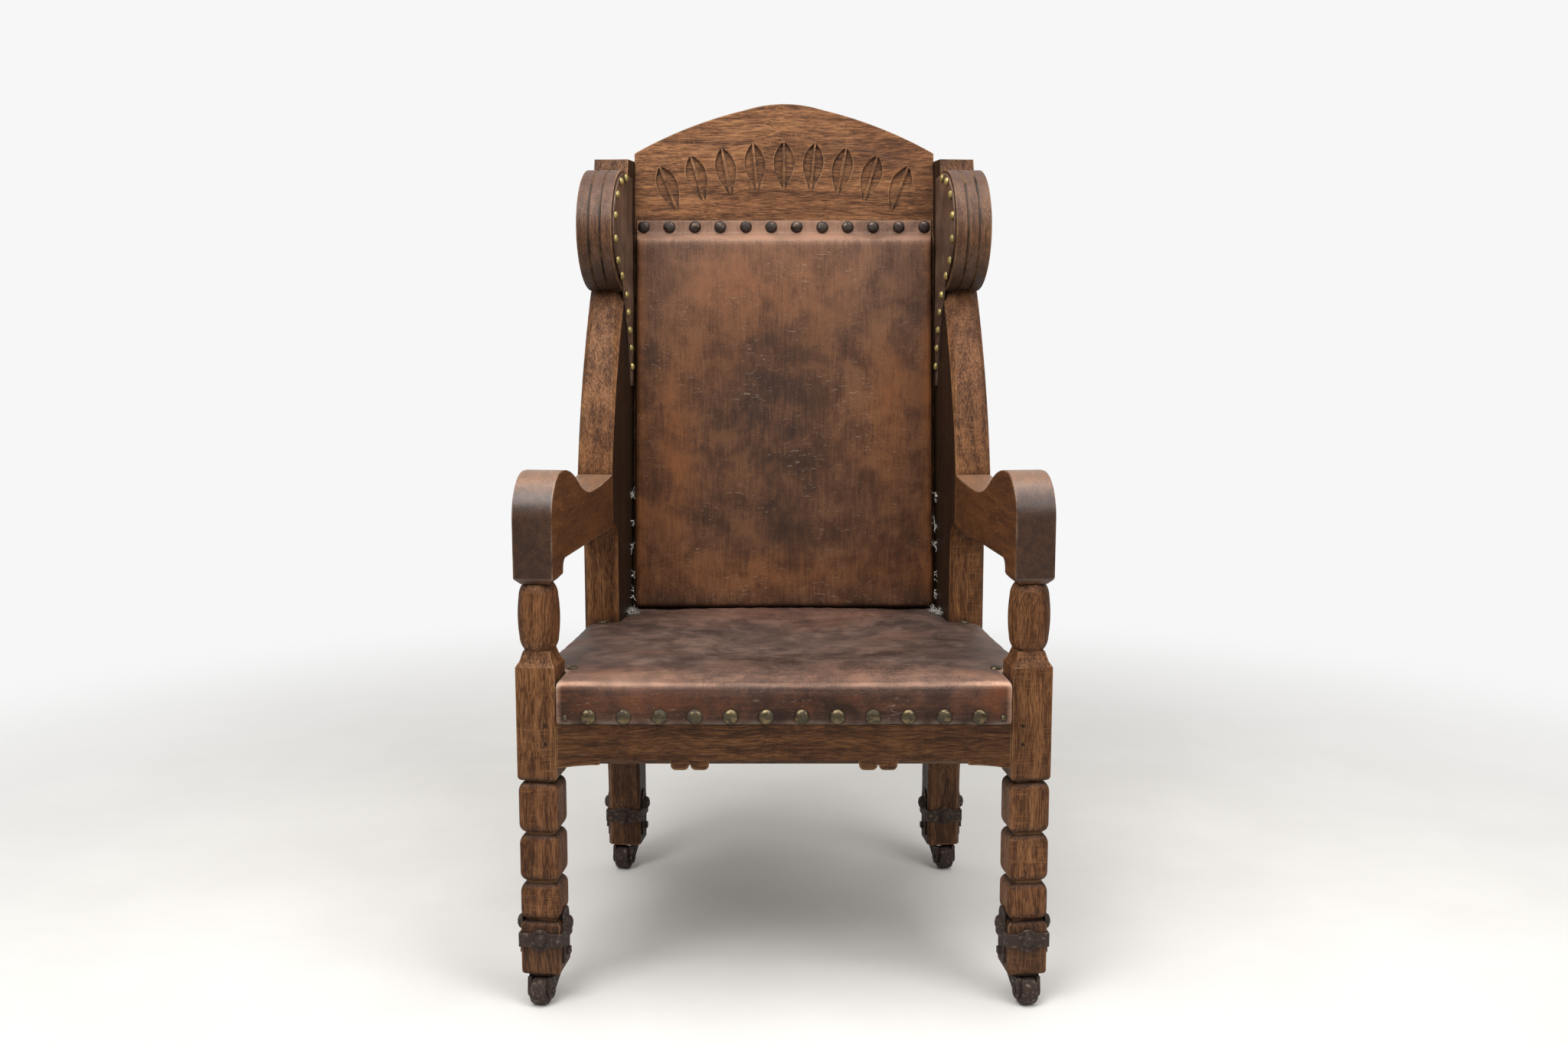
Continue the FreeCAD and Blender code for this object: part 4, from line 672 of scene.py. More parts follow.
@dataclass(frozen=True)
class LeatherFinish(Finish):
    """Old cowhide, rubbed and stained."""

    deep: Colour
    middle: Colour
    pale: Colour
    warm: Colour
    brushed: Triple = (300.0, 300.0, 14.0)
    dust: Colour = (0.42, 0.33, 0.26)
    worn: Colour = (0.40, 0.190, 0.100)
    stain_and_shade: Colour = (0.028, 0.0165, 0.0130)
    stops: Triple = (0.36, 0.50, 0.65)
    spread: float = 1.0
    gloss: float = 0.40
    sheen: float = 0.28
    cells: float = 620.0
    scratches: float = 0.28
    cracked: float = 0.18
    specks: float = 0.03
    speck_cover: float = 0.7
    corner_shade_and_grime: float = 0.8
    shade_and_grime_reach: float = 12.0 * MM
    cut_cover: float = 0.8
    dust_rough: float = 0.12
    relief: float = 0.35
    relief_depth: float = 0.9 * MM

    def tone(self, wiring: Wiring, place: Feed, marks: bpy.types.NodeOutputs) -> Socket:
        """Mixes the hide's clouds, blotches, brushing and fine grain into one tone.

        Args:
            wiring: The material's tree.
            place: The place on the piece.
            marks: The mottling's outputs.

        Returns:
            The tone, from dark to light.
        """
        brushing = wiring.noise(wiring.mapped(place, self.brushed), 1.0, 3.0, 0.6)
        grit = wiring.noise(place, 650.0, 3.0, 0.7)
        parts = [(marks["Clouds"], 0.13), (marks["Blotches"], 0.17), (brushing, 0.30), (grit, 0.40)]
        total: Feed = 0.0
        for part, share in parts:
            total = wiring.maths("ADD", total, wiring.times(part, share))
        return total

    def dress(self, wiring: Wiring, shader: bpy.types.Node, place: Socket) -> None:
        """Joins the nodes, with masks painted on the mesh as worn (wear and painted highlights), dusty, warm,
        darkened (stains and a painted shadow) and cut.

        Args:
            wiring: The material's tree.
            shader: The material's Principled shader.
            place: The place on the piece.
        """
        marks = Mottling().place(wiring, Vector=place, Spread=self.spread)
        grain = HideGrain().place(wiring, Vector=place, Cells=self.cells)["Height"]
        hairs = HairScratches().place(wiring, Vector=place)["Marks"]
        creases = Creases().place(wiring, Vector=place)["Lines"]
        shade_and_grime = ShadeAndGrime().place(wiring, Vector=place, Reach=self.shade_and_grime_reach)["ShadeAndDirt"]
        dusty = wiring.mask("dusty")
        tone = self.tone(wiring, place, marks)
        colour = wiring.ramp(tone, self.stops, (self.deep, self.middle, self.pale))
        glow = wiring.times(wiring.mask("warm"), wiring.span(tone, 0.36, 0.62, 0.25, 0.95))
        colour = wiring.blend(glow, colour, self.warm)
        # This mask carries stains, and on the seat the painted shadow along the front of its dish.
        stain_and_shade = wiring.times(wiring.mask("darkened"), wiring.span(tone, 0.62, 0.38, 0.35, 0.9))
        colour = wiring.blend(stain_and_shade, colour, self.stain_and_shade)
        specks = wiring.times(marks["Specks"], wiring.maths("ADD", dusty, self.specks))
        scratched = (hairs, self.scratches, self.dust)
        colour = wiring.layered(colour, (scratched, (specks, self.speck_cover, self.dust)))
        # This mask carries wear and painted highlights: the seat's front roll and the back's top fold, and
        # painted sheen on the back's upper part.
        rub = wiring.times(wiring.mask("worn"), wiring.span(tone, 0.25, 0.6, 0.3, 1.0))
        colour = wiring.blend(rub, colour, self.worn)
        cracks = (creases, self.cracked, self.stain_and_shade)
        raw = (wiring.mask("cut"), self.cut_cover, self.dust)
        # Cracks; painted shade and grime in corners; and the pale cut edge.
        colour = wiring.layered(colour, (cracks, (shade_and_grime, self.corner_shade_and_grime, self.stain_and_shade), raw))
        wiring.feed(shader.inputs["Base Color"], colour)
        rough = wiring.span(marks["Blotches"], 0.0, 1.0, self.gloss, self.gloss + 0.18)
        rough = wiring.maths("ADD", rough, wiring.times(dusty, self.dust_rough))
        wiring.feed(shader.inputs["Roughness"], rough)
        height = wiring.maths("SUBTRACT", grain, wiring.times(creases, 2.0 * self.cracked))
        wiring.emboss(shader, height, self.relief, self.relief_depth)
        shader.inputs["Specular IOR Level"].default_value = self.sheen


@dataclass(frozen=True)
class MetalFinish(Finish):
    """Old metal with tarnish or rust over it."""

    bare: Colour
    tarnish: Colour
    crust: Colour
    metallic: float = 1.0
    gloss: float = 0.34
    covered: float = 0.5
    rubbed: float = 0.25
    pitting: float = 0.4
    spread: float = 5.0
    edge: float = 2.0 * MM
    edge_patches: float = 120.0
    shade_and_grime_reach: float = 9.0 * MM
    crust_share: float = 0.4
    pit_depth: float = 0.7 * MM

    def dress(self, wiring: Wiring, shader: bpy.types.Node, place: Socket) -> None:
        """Joins the finish's nodes to its shader.

        Args:
            wiring: The material's tree.
            shader: The material's Principled shader.
            place: The place on the piece.
        """
        marks = Mottling().place(wiring, Vector=place, Spread=self.spread)
        wear = EdgeWear().place(wiring, Vector=place, Reach=self.edge, Patches=self.edge_patches)["Wear"]
        shade_and_grime = ShadeAndGrime().place(wiring, Vector=place, Reach=self.shade_and_grime_reach)["ShadeAndDirt"]
        low, high = 0.75 - 0.6 * self.covered, 1.05 - 0.6 * self.covered
        rub = wiring.times(wear, self.rubbed)
        cover = wiring.maths("SUBTRACT", wiring.span(marks["Blotches"], low, high), rub)
        colour = wiring.blend(cover, self.bare, self.tarnish)
        colour = wiring.layered(colour, ((marks["Clouds"], self.crust_share, self.crust),))
        # Corners and hollows take the crust colour: painted shade as well as crust and dirt.
        wiring.feed(shader.inputs["Base Color"], wiring.blend(shade_and_grime, colour, self.crust))
        metallic = wiring.span(cover, 0.0, 1.0, self.metallic, self.metallic * 0.4)
        wiring.feed(shader.inputs["Metallic"], metallic)
        wiring.feed(shader.inputs["Roughness"], wiring.span(cover, 0.0, 1.0, self.gloss, self.gloss + 0.35))
        wiring.emboss(shader, marks["Blotches"], self.pitting, self.pit_depth)


@dataclass(frozen=True)
class ClothFinish(Finish):
    """Coarse jute or loose wadding."""

    thread: Colour
    gap: Colour
    threads: float = 700.0
    wander: float = 1.5
    lumps: float = 60.0
    soiling: float = 0.35
    rough: float = 0.95
    relief: float = 0.6
    relief_depth: float = 1.0 * MM

    def dress(self, wiring: Wiring, shader: bpy.types.Node, place: Socket) -> None:
        """Joins the finish's nodes to its shader.

        Args:
            wiring: The material's tree.
            shader: The material's Principled shader.
            place: The place on the piece.
        """
        marks = Mottling().place(wiring, Vector=place, Spread=1.5)
        feeds = {"Vector": place, "Scale": self.threads, "Distortion": self.wander}
        warp, weft = (
            wiring.node("ShaderNodeTexWave", feeds, bands_direction=way).outputs["Fac"] for way in "XY"
        )
        height = wiring.times(wiring.maths("MAXIMUM", warp, weft), wiring.noise(place, self.lumps, 5.0, 0.7))
        colour = wiring.blend(wiring.span(height, 0.1, 0.6), self.gap, self.thread)
        colour = wiring.layered(colour, ((marks["Clouds"], self.soiling, self.gap),))
        wiring.feed(shader.inputs["Base Color"], colour)
        shader.inputs["Roughness"].default_value = self.rough
        wiring.emboss(shader, height, self.relief, self.relief_depth)

UPRIGHT_OAK = OakFinish("oak_upright", Grain.UPRIGHT, flecks=0.8)
# A lighter copy of the oak for the crest: its lighter colours are painted light, for the light that falls on
# the top of the chair.
LIT_CROSS_OAK = OakFinish(
    "oak_across_lit",
    Grain.ACROSS,
    dark=(0.066, 0.0245, 0.0085),
    middle=(0.172, 0.0700, 0.0250),
    pale=(0.310, 0.1400, 0.0550),
    flecks=0.35,
)
RAIL_OAK = OakFinish(
    "oak_rails",
    Grain.ACROSS,
    dark=(0.031, 0.0110, 0.0030),
    middle=(0.076, 0.0285, 0.0080),
    pale=(0.145, 0.0610, 0.0200),
    flecks=0.35,
)
ARM_OAK = OakFinish(
    "oak_fore_aft",
    Grain.FORE_AFT,
    dark=(0.060, 0.0190, 0.0040),
    middle=(0.126, 0.0420, 0.0090),
    pale=(0.220, 0.0830, 0.0230),
    end_grain=(0.008, 0.0040, 0.0030),
    worn=(0.46, 0.300, 0.200),
    flecks=0.3,
    wear=0.9,
    # Painted highlight and hand wear on the arms' tops.
    top_highlight_and_rub=0.23,
    polish=0.9,
)
EAR_OAK = OakFinish(
    "oak_ears",
    Grain.UPRIGHT,
    dark=(0.074, 0.0320, 0.0150),
    middle=(0.128, 0.0580, 0.0270),
    pale=(0.198, 0.0950, 0.0460),
    end_grain=(0.085, 0.0500, 0.0400),
    flecks=0.3,
    polish=0.25,
)
PEG_OAK = OakFinish("oak_pegs", Grain.FORE_AFT, middle=(0.05, 0.024, 0.012), pale=(0.09, 0.045, 0.02))
BACK_HIDE = LeatherFinish(
    "back_hide",
    deep=(0.042, 0.0180, 0.0092),
    middle=(0.090, 0.0375, 0.0175),
    pale=(0.165, 0.0720, 0.0330),
    warm=(0.225, 0.0790, 0.0240),
    worn=(0.44, 0.260, 0.180),
    spread=0.9,
    sheen=0.20,
)
SEAT_HIDE = LeatherFinish(
    "seat_hide",
    deep=(0.042, 0.0280, 0.0240),
    middle=(0.089, 0.0560, 0.0440),
    pale=(0.162, 0.0990, 0.0750),
    warm=(0.150, 0.0440, 0.0140),
    worn=(0.71, 0.415, 0.280),
    stain_and_shade=(0.024, 0.0110, 0.0065),
    brushed=(16.0, 260.0, 260.0),
    spread=1.1,
    gloss=0.40,
    sheen=0.20,
    scratches=0.32,
    cracked=0.38,
)
WING_HIDE = LeatherFinish(
    "wing_hide",
    deep=(0.048, 0.0270, 0.0195),
    middle=(0.106, 0.0585, 0.0380),
    pale=(0.200, 0.1170, 0.0735),
    warm=(0.20, 0.085, 0.038),
)
BRASS = MetalFinish(
    "old_brass",
    bare=(0.200, 0.152, 0.083),
    tarnish=(0.074, 0.0570, 0.0345),
    crust=(0.018, 0.0140, 0.0100),
    gloss=0.38,
    covered=0.62,
    pitting=0.12,
    spread=4.0,
)
RUBBED_BRASS = MetalFinish(
    "rubbed_brass",
    bare=(0.600, 0.470, 0.165),
    tarnish=(0.330, 0.255, 0.085),
    crust=(0.060, 0.042, 0.018),
    metallic=0.6,
    gloss=0.36,
    covered=0.55,
    pitting=0.2,
    spread=9.0,
)
BRONZE = MetalFinish(
    "old_bronze",
    bare=(0.110, 0.080, 0.062),
    tarnish=(0.042, 0.030, 0.025),
    crust=(0.018, 0.012, 0.010),
    covered=0.75,
)
IRON = MetalFinish(
    "rusted_iron",
    bare=(0.150, 0.108, 0.085),
    tarnish=(0.042, 0.0235, 0.0160),
    crust=(0.020, 0.0115, 0.0085),
    metallic=0.6,
    gloss=0.45,
    covered=1.15,
    rubbed=1.0,
    pitting=0.28,
    spread=7.0,
)
JUTE = ClothFinish("jute_webbing", thread=(0.30, 0.215, 0.125), gap=(0.10, 0.066, 0.036))
LINT = ClothFinish("loose_lint", thread=(0.80, 0.77, 0.71), gap=(0.55, 0.51, 0.45), threads=300.0)
WADDING = ClothFinish("wadding", thread=(0.50, 0.44, 0.35), gap=(0.20, 0.16, 0.115), threads=300.0)


def link(name: str, data: bpy.types.ID) -> Piece:
    """Puts a new object in the scene.

    Args:
        name: The object's name.
        data: Its mesh, lamp or camera.

    Returns:
        The object.
    """
    made = bpy.data.objects.new(name, data)
    bpy.context.scene.collection.objects.link(made)
    return made


def from_shape(name: str, shape: Shape) -> Piece:
    """Turns a worked shape into an object.

    Args:
        name: The object's name.
        shape: The shape, which is used up.

    Returns:
        The object.
    """
    data = bpy.data.meshes.new(name)
    shape.to_mesh(data)
    shape.free()
    return link(name, data)


def smooth(piece: Piece, angle: float = math.radians(38.0)) -> None:
    """Shades a piece smooth except at edges sharper than the angle."""
    piece.data.shade_smooth()
    piece.data.set_sharp_from_angle(angle=angle)


def smooth_arrises(piece: Piece) -> None:
    """Shades a piece's arrises smooth and keeps its faces flat."""
    smooth(piece)
    piece.modifiers.new("flat_faces", "WEIGHTED_NORMAL").keep_sharp = True


def thicken(leather: Piece, thickness: float) -> None:
    """Gives a leather its thickness and a finer surface.

    Args:
        leather: The leather, as one surface.
        thickness: How far it reaches inward.
    """
    smooth(leather, math.radians(80.0))
    skin = leather.modifiers.new("thickness", "SOLIDIFY")
    skin.thickness = thickness
    skin.offset = -1.0
    fine = leather.modifiers.new("fine", "SUBSURF")
    fine.levels = fine.render_levels = 1


def apply_modifiers(piece: Piece) -> None:
    """Works a piece's modifiers into its mesh.

    Args:
        piece: The piece.
    """
    ready = piece.evaluated_get(bpy.context.evaluated_depsgraph_get())
    data = bpy.data.meshes.new_from_object(ready)
    piece.modifiers.clear()
    piece.data = data


def packed_shape(node: str) -> Shape:
    """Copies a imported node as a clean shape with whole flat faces.

    Args:
        node: The node's name.

    Returns:
        The shape, in the chair's frame.
    """
    shape = bmesh.new()
    shape.from_mesh(bpy.data.objects[node].data)
    bmesh.ops.remove_doubles(shape, verts=shape.verts, dist=0.02 * MM)
    bmesh.ops.dissolve_limit(
        shape,
        angle_limit=math.radians(0.8),
        verts=shape.verts,
        edges=shape.edges,
        use_dissolve_boundaries=False,
    )
    return shape


def islands(shape: Shape) -> list[list[Point]]:
    """Parts a shape's points into those that hang together.

    Args:
        shape: The shape.

    Returns:
        The points of each part.
    """
    found: list[list[Point]] = []
    seen: set[Point] = set()
    for start in shape.verts:
        if start in seen:
            continue
        group, queue = [], [start]
        seen.add(start)
        while queue:
            vertex = queue.pop()
            group.append(vertex)
            for edge in vertex.link_edges:
                other = edge.other_vert(vertex)
                if other not in seen:
                    seen.add(other)
                    queue.append(other)
        found.append(group)
    return found


def break_arrises(shape: Shape, width: float, steps: int = 2) -> None:
    """Rounds the sharp edges of a shape a little, as wear does.

    Args:
        shape: The shape to work.
        width: How far the rounding reaches from each edge.
        steps: Facets across the rounding.
    """
    least = math.radians(32.0)
    sharp = [
        edge
        for edge in shape.edges
        if len(edge.link_faces) == 2 and edge.is_convex and edge.calc_face_angle(0.0) > least
    ]
    bmesh.ops.bevel(
        shape,
        geom=sharp,
        offset=width,
        offset_type="OFFSET",
        segments=steps,
        profile=0.5,
        affect="EDGES",
        clamp_overlap=True,
        loop_slide=True,
    )


def join_rings(shape: Shape, lower: Sequence[Point], upper: Sequence[Point]) -> None:
    """Joins two rings of points by faces. A ring of one point makes a tip.

    Args:
        shape: The shape that they are part of.
        lower: The first ring.
        upper: The ring after it.
    """
    for k in range(max(len(lower), len(upper))):
        corners = [lower[k % len(lower)], lower[(k + 1) % len(lower)]]
        corners += [upper[(k + 1) % len(upper)], upper[k % len(upper)]]
        shape.faces.new(list(dict.fromkeys(corners)))


def lathe(profile: Sequence[tuple[float, float]], steps: int) -> Shape:
    """Turns a profile round Z.

    Args:
        profile: Radius and height of each ring, from one end to the other.
        steps: Sides of each ring.

    Returns:
        The turned shape.
    """
    shape = bmesh.new()
    turns = [2.0 * math.pi / steps * k for k in range(steps)]
    rings: list[list[Point]] = []
    for radius, height in profile:
        around = turns if radius else turns[:1]
        places = [(radius * math.cos(turn), radius * math.sin(turn), height) for turn in around]
        rings.append([shape.verts.new(place) for place in places])
    for lower, upper in zip(rings, rings[1:]):
        join_rings(shape, lower, upper)
    return shape


def surface(points: Sequence[Sequence[Vector | None]]) -> tuple[Shape, list[list[Point | None]]]:
    """Joins rows of points into a surface, leaving out the places that are None.

    Args:
        points: Rows of points.

    Returns:
        The shape, and its vertices in the same rows.
    """
    shape = bmesh.new()
    rows = [[shape.verts.new(p) if p is not None else None for p in row] for row in points]
    for low, high in zip(rows, rows[1:]):
        for k in range(len(low) - 1):
            corners = [low[k], low[k + 1], high[k + 1], high[k]]
            if all(corner is not None for corner in corners):
                shape.faces.new(corners)
    shape.verts.index_update()
    return shape, rows


def steps_between(first: float, last: float, spacing: float) -> list[float]:
    """Divides a length evenly, at about the spacing given, both ends included."""
    count = max(1, round(abs(last - first) / spacing))
    return [first + (last - first) * k / count for k in range(count + 1)]


def rounded(radius: float, steps: int) -> list[tuple[float, float]]:
    """Gives how far in and how far along each step of a quarter round is, without its start."""
    turns = [QUARTER * k / steps for k in range(1, steps + 1)]
    return [(radius * (1.0 - math.cos(turn)), radius * math.sin(turn)) for turn in turns]


def cut_across(shape: Shape, way: Vector, levels: Sequence[float]) -> None:
    """Cuts a shape's faces by planes, so that they can be shaped.

    Args:
        shape: The shape.
        way: The way that the planes look.
        levels: Where they lie along that way.
    """
    for level in levels:
        everything = shape.verts[:] + shape.edges[:] + shape.faces[:]
        bmesh.ops.bisect_plane(shape, geom=everything, plane_co=way * level, plane_no=way)


def gridded(shape: Shape, ways: Sequence[Vector], spacing: float) -> None:
    """Cuts a shape's faces by evenly spaced planes.

    Args:
        shape: The shape.
        ways: The ways that the planes look.
        spacing: How far apart they are.
    """
    for way in ways:
        reach = [vertex.co.dot(way) for vertex in shape.verts]
        cut_across(shape, way, steps_between(min(reach), max(reach), spacing)[1:-1])


def paint(piece: Piece, label: str, amount: Callable[[Vector], float]) -> None:
    """Paints a mask on a piece's points.

    Args:
        piece: The piece.
        label: The mask's name.
        amount: Gives the mask's value at a place.
    """
    mask = piece.data.attributes.new(label, "FLOAT", "POINT")
    for vertex, value in zip(piece.data.vertices, mask.data):
        value.value = amount(vertex.co)


def paint_faces(piece: Piece, label: str, amount: Callable[[Vector, Vector], float]) -> None:
    """Paints a mask on the corners of a piece's faces.

    Args:
        piece: The piece.
        label: The mask's name.
        amount: Gives the mask's value from the way that a face looks and the place of its corner.
    """
    mask = piece.data.attributes.new(label, "FLOAT", "CORNER")
    for face in piece.data.polygons:
        for corner in face.loop_indices:
            place = piece.data.vertices[piece.data.loops[corner].vertex_index].co
            mask.data[corner].value = amount(face.normal, place)


def hump(distance: float, width: float) -> float:
    """Gives a smooth hump, 1 at no distance and falling off over the width."""
    return math.exp(-((distance / width) ** 2))


def share_of(value: float) -> float:
    """Holds a value between 0 and 1."""
    return max(0.0, min(1.0, value))


@dataclass(frozen=True)
class Mark:
    """A soft mark on leather, with its middle and how far it reaches each way."""

    strength: float
    across: float = 0.0
    width: float = math.inf
    level: float = 0.0
    height: float = math.inf
    mirrored: bool = False

    def at(self, across: float, level: float) -> float:
        """Gives how strong the mark is at a place."""
        aside = (abs(across) if self.mirrored else across) - self.across
        return self.strength * hump(aside, self.width) * hump(level - self.level, self.height)


@dataclass(frozen=True)
class Drift:
    """Uneven clouds that break up the marks on leather."""

    strength: float
    scale: Triple
    shift: Triple = (0.0, 0.0, 0.0)

    def at(self, place: Vector) -> float:
        """Gives how strong the clouds are at a place."""
        return self.strength * noise.noise(place * Vector(self.scale) + Vector(self.shift))


@dataclass(frozen=True)
class LeatherPull:
    """How leather swells over its stuffing when it is nailed down."""

    pressure: float = 4.0
    slack: float = 0.012
    frames: int = 20
    reach: float = 6.0 * MM
    quality: int = 6
    mass: float = 0.4
    tension: float = 30.0
    shear: float = 20.0
    bending: float = 6.0

    def set_up(self, modifier: bpy.types.ClothModifier, nailed: str) -> None:
        """Sets the cloth's weight, stiffness and pressure.

        Args:
            modifier: The cloth.
            nailed: The group of points that the nails hold.
        """
        settings = modifier.settings
        settings.quality = self.quality
        settings.mass = self.mass
        settings.tension_stiffness = settings.compression_stiffness = self.tension
        settings.shear_stiffness = self.shear
        settings.bending_stiffness = self.bending
        settings.use_pressure = True
        settings.uniform_pressure_force = self.pressure
        settings.effector_weights.gravity = 0.0
        settings.shrink_min = -self.slack
        settings.vertex_group_mass = nailed
        modifier.collision_settings.use_collision = False
        modifier.point_cache.frame_start = 1
        modifier.point_cache.frame_end = self.frames

    def settle(self, piece: Piece, held: Sequence[int]) -> None:
        """Lets the leather settle as cloth between its nailed edges.

        Args:
            piece: The leather.
            held: Points that the nails hold.
        """
        group = piece.vertex_groups.new(name="nailed")
        group.add(list(held), 1.0, "REPLACE")
        before = [vertex.co.copy() for vertex in piece.data.vertices]
        modifier = piece.modifiers.new("settling", "CLOTH")
        self.set_up(modifier, group.name)
        scene = bpy.context.scene
        for frame in range(1, self.frames + 1):
            scene.frame_set(frame)
        ready = piece.evaluated_get(bpy.context.evaluated_depsgraph_get())
        after = [vertex.co.copy() for vertex in ready.data.vertices]
        piece.modifiers.remove(modifier)
        scene.frame_set(1)
        for vertex, old, new in zip(piece.data.vertices, before, after):
            move = new - old
            vertex.co = old + move * (self.reach / (self.reach + move.length))
        piece.vertex_groups.remove(group)


class SubAssembly:
    """A group of pieces that are built and dressed together."""

    def settle(
        self, piece: Piece, finish: Finish, slot: str, nodes: Sequence[str], body: str = CHAIR
    ) -> Piece:
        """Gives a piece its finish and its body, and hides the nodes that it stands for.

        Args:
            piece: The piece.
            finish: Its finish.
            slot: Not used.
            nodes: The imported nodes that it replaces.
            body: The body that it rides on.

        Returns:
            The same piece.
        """
        piece.data.materials.clear()
        piece.data.materials.append(finish.material())
        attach(piece, body)
        if nodes:
            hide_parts(*nodes)
        LOG.info("%s rides on %s", piece.name, body)
        return piece

    def coat(self, node: str, finish: Finish) -> None:
        """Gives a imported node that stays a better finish.

        Args:
            node: The node's name.
            finish: The finish.
        """
        data = bpy.data.objects[node].data
        data.materials.clear()
        data.materials.append(finish.material())
        LOG.info("%s keeps its solid", node)


@dataclass
class Joinery(SubAssembly):
    """The oak frame: legs, posts, arms, ears and rails."""

    frame: ChairFrame
    arris: float = 1.8 * MM
    groove_arris: float = 0.5 * MM
    groove_line: float = 9.0 * MM
    groove_reach: float = 2.2 * MM
    groove_side_dirt: float = 0.7
    inside_shade: float = 0.87
    arm_arris: float = 3.5 * MM
    arm_steps: int = 3
    board: float = 55.0 * MM
    block_foot: float = 122.5 * MM
    block_heights: tuple[float, ...] = (55.0 * MM, 69.0 * MM, 74.0 * MM)
    block_gap: float = 2.0 * MM
    block_core: float = 39.0 * MM
    block_sunk: float = 9.5 * MM
    block_reach: float = 13.5 * MM
    round_steps: int = 6
    corner: float = 5.5 * MM
    corner_steps: int = 4
    gap_dirt: float = 0.6
    gap_reach: float = 7.0 * MM
    foot_dirt: float = 0.6
    foot_level: float = 114.0 * MM
    sole_dirt: float = 0.42
    sole_level: float = 70.0 * MM
    low_shade_and_dirt: float = 0.45
    low_level: float = 400.0 * MM
    head_dirt: float = 0.4
    head_reach: float = 20.0 * MM
    ear_dirt: float = 0.4
    post_rows: float = 30.0 * MM
    barrel_span: tuple[float, float] = (501.0 * MM, 593.0 * MM)
    barrel_rows: float = 6.0 * MM
    barrel_fill: float = 2.1 * MM
    rail_foot: float = 361.25 * MM
    rail_drop: float = 8.0 * MM
    hidden: tuple[str, ...] = ("back_stile_left", "back_stile_right", "lower_back_rail", "seat_corner_blocks")

    def shown(self) -> dict[str, OakFinish]:
        """Names the pieces that are worked, with their finishes.

        Returns:
            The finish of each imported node.
        """
        wanted = {"front_seat_rail": RAIL_OAK, "rear_seat_rail": RAIL_OAK}
        for hand in HANDS:
            wanted |= {f"front_leg_{hand}": UPRIGHT_OAK, f"rear_post_{hand}": UPRIGHT_OAK}
            wanted |= {f"ear_{hand}": EAR_OAK, f"arm_{hand}": ARM_OAK, f"side_seat_rail_{hand}": ARM_OAK}
        return wanted

    def soil_ear(self, p: Vector, hand: float, middle: float, half: float) -> float:
        """Gives the darkening at a place on an ear: dirt in the grooves round its rim, and painted shade on
        its lower half.

        Args:
            p: The place.
            hand: 1 for the right ear, -1 for the left.
            middle: The level of the ear's middle.
            half: Half its height.

        Returns:
            The darkening, from 0 to 1.
        """
        across = (hand * p.x - self.frame.half_front) * math.cos(self.frame.splay)
        across += (p.y - self.frame.front_line) * math.sin(self.frame.splay)
        away = abs(abs(across) - self.groove_line)
        if away > self.groove_reach:
            # Painted shade: the ear is darkened towards its bottom, below its middle.
            return self.ear_dirt * max(0.0, (middle - p.z) / half)
        return 1.0 if away < 0.5 * self.groove_reach else self.groove_side_dirt

    def arris_of(self, node: str) -> float:
        """Gives how far the edges of a piece are rubbed round.

        Args:
            node: The piece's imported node.

        Returns:
            The reach of the rounding.
        """
        if node.startswith("ear"):
            return self.groove_arris
        return self.arm_arris if node.startswith("arm") else self.arris

    def ring(self, half: float, level: float, hand: float) -> list[Vector]:
        """Gives a square with rounded corners about a front leg's middle line.

        Args:
            half: Half its width.
            level: Its height above the floor.
            hand: 1 for the right leg, -1 for the left.

        Returns:
            Its points in order.
        """
        found = []
        for quarter in range(4):
            for k in range(self.corner_steps + 1):
                turn = math.pi / 2 * (quarter + k / self.corner_steps)
                x = math.copysign(half - self.corner, math.cos(math.pi / 2 * (quarter + 0.5)))
                y = math.copysign(half - self.corner, math.sin(math.pi / 2 * (quarter + 0.5)))
                x, y = x + self.corner * math.cos(turn), y + self.corner * math.sin(turn)
                found.append(self.frame.side(x, self.board / 2 + y, level, hand))
        return found

    def add_block(self, leg: Shape, half: float, low: float, high: float, sunk: float, hand: float) -> None:
        """Adds one block with its ends rounded in.

        Args:
            leg: The leg's shape.
            half: Half the block's width.
            low: The level of its foot.
            high: The level of its top.
            sunk: How far its sides draw in at the ends.
            hand: 1 for the right leg, -1 for the left.
        """
        turns = [QUARTER * k / self.round_steps for k in range(self.round_steps + 1)]
        ends = [(self.block_reach * (1.0 - math.cos(turn)), sunk * (1.0 - math.sin(turn))) for turn in turns]
        rows = [(low + rise, inset) for rise, inset in ends]
        rows += [(high - rise, inset) for rise, inset in ends[::-1]]
        rings = [[leg.verts.new(p) for p in self.ring(half - inset, level, hand)] for level, inset in rows]
        for lower, upper in zip(rings, rings[1:]):
            join_rings(leg, lower, upper)
        leg.faces.new(rings[0][::-1])
        leg.faces.new(rings[-1])

    def round_blocks(self, leg: Shape, hand: float) -> None:
        """Puts cushion-shaped blocks in place of a front leg's plain ones.

        Args:
            leg: The leg's shape.
            hand: 1 for the right leg, -1 for the left.
        """
        foot, head = self.gap_levels()[0], self.gap_levels()[-1]
        cut_across(leg, UP, (foot, head))
        spare = [face for face in leg.faces if foot < face.calc_center_median().z < head]
        bmesh.ops.delete(leg, geom=spare, context="FACES")
        bmesh.ops.holes_fill(leg, edges=[edge for edge in leg.edges if edge.is_boundary])
        self.add_block(leg, self.block_core / 2, foot, head, 0.0, hand)
        for low, high in zip(self.gap_levels(), self.gap_levels()[1:]):
            gap = 0.5 * self.block_gap
            self.add_block(leg, self.board / 2, low + gap, high - gap, self.block_sunk, hand)
        bmesh.ops.recalc_face_normals(leg, faces=leg.faces)

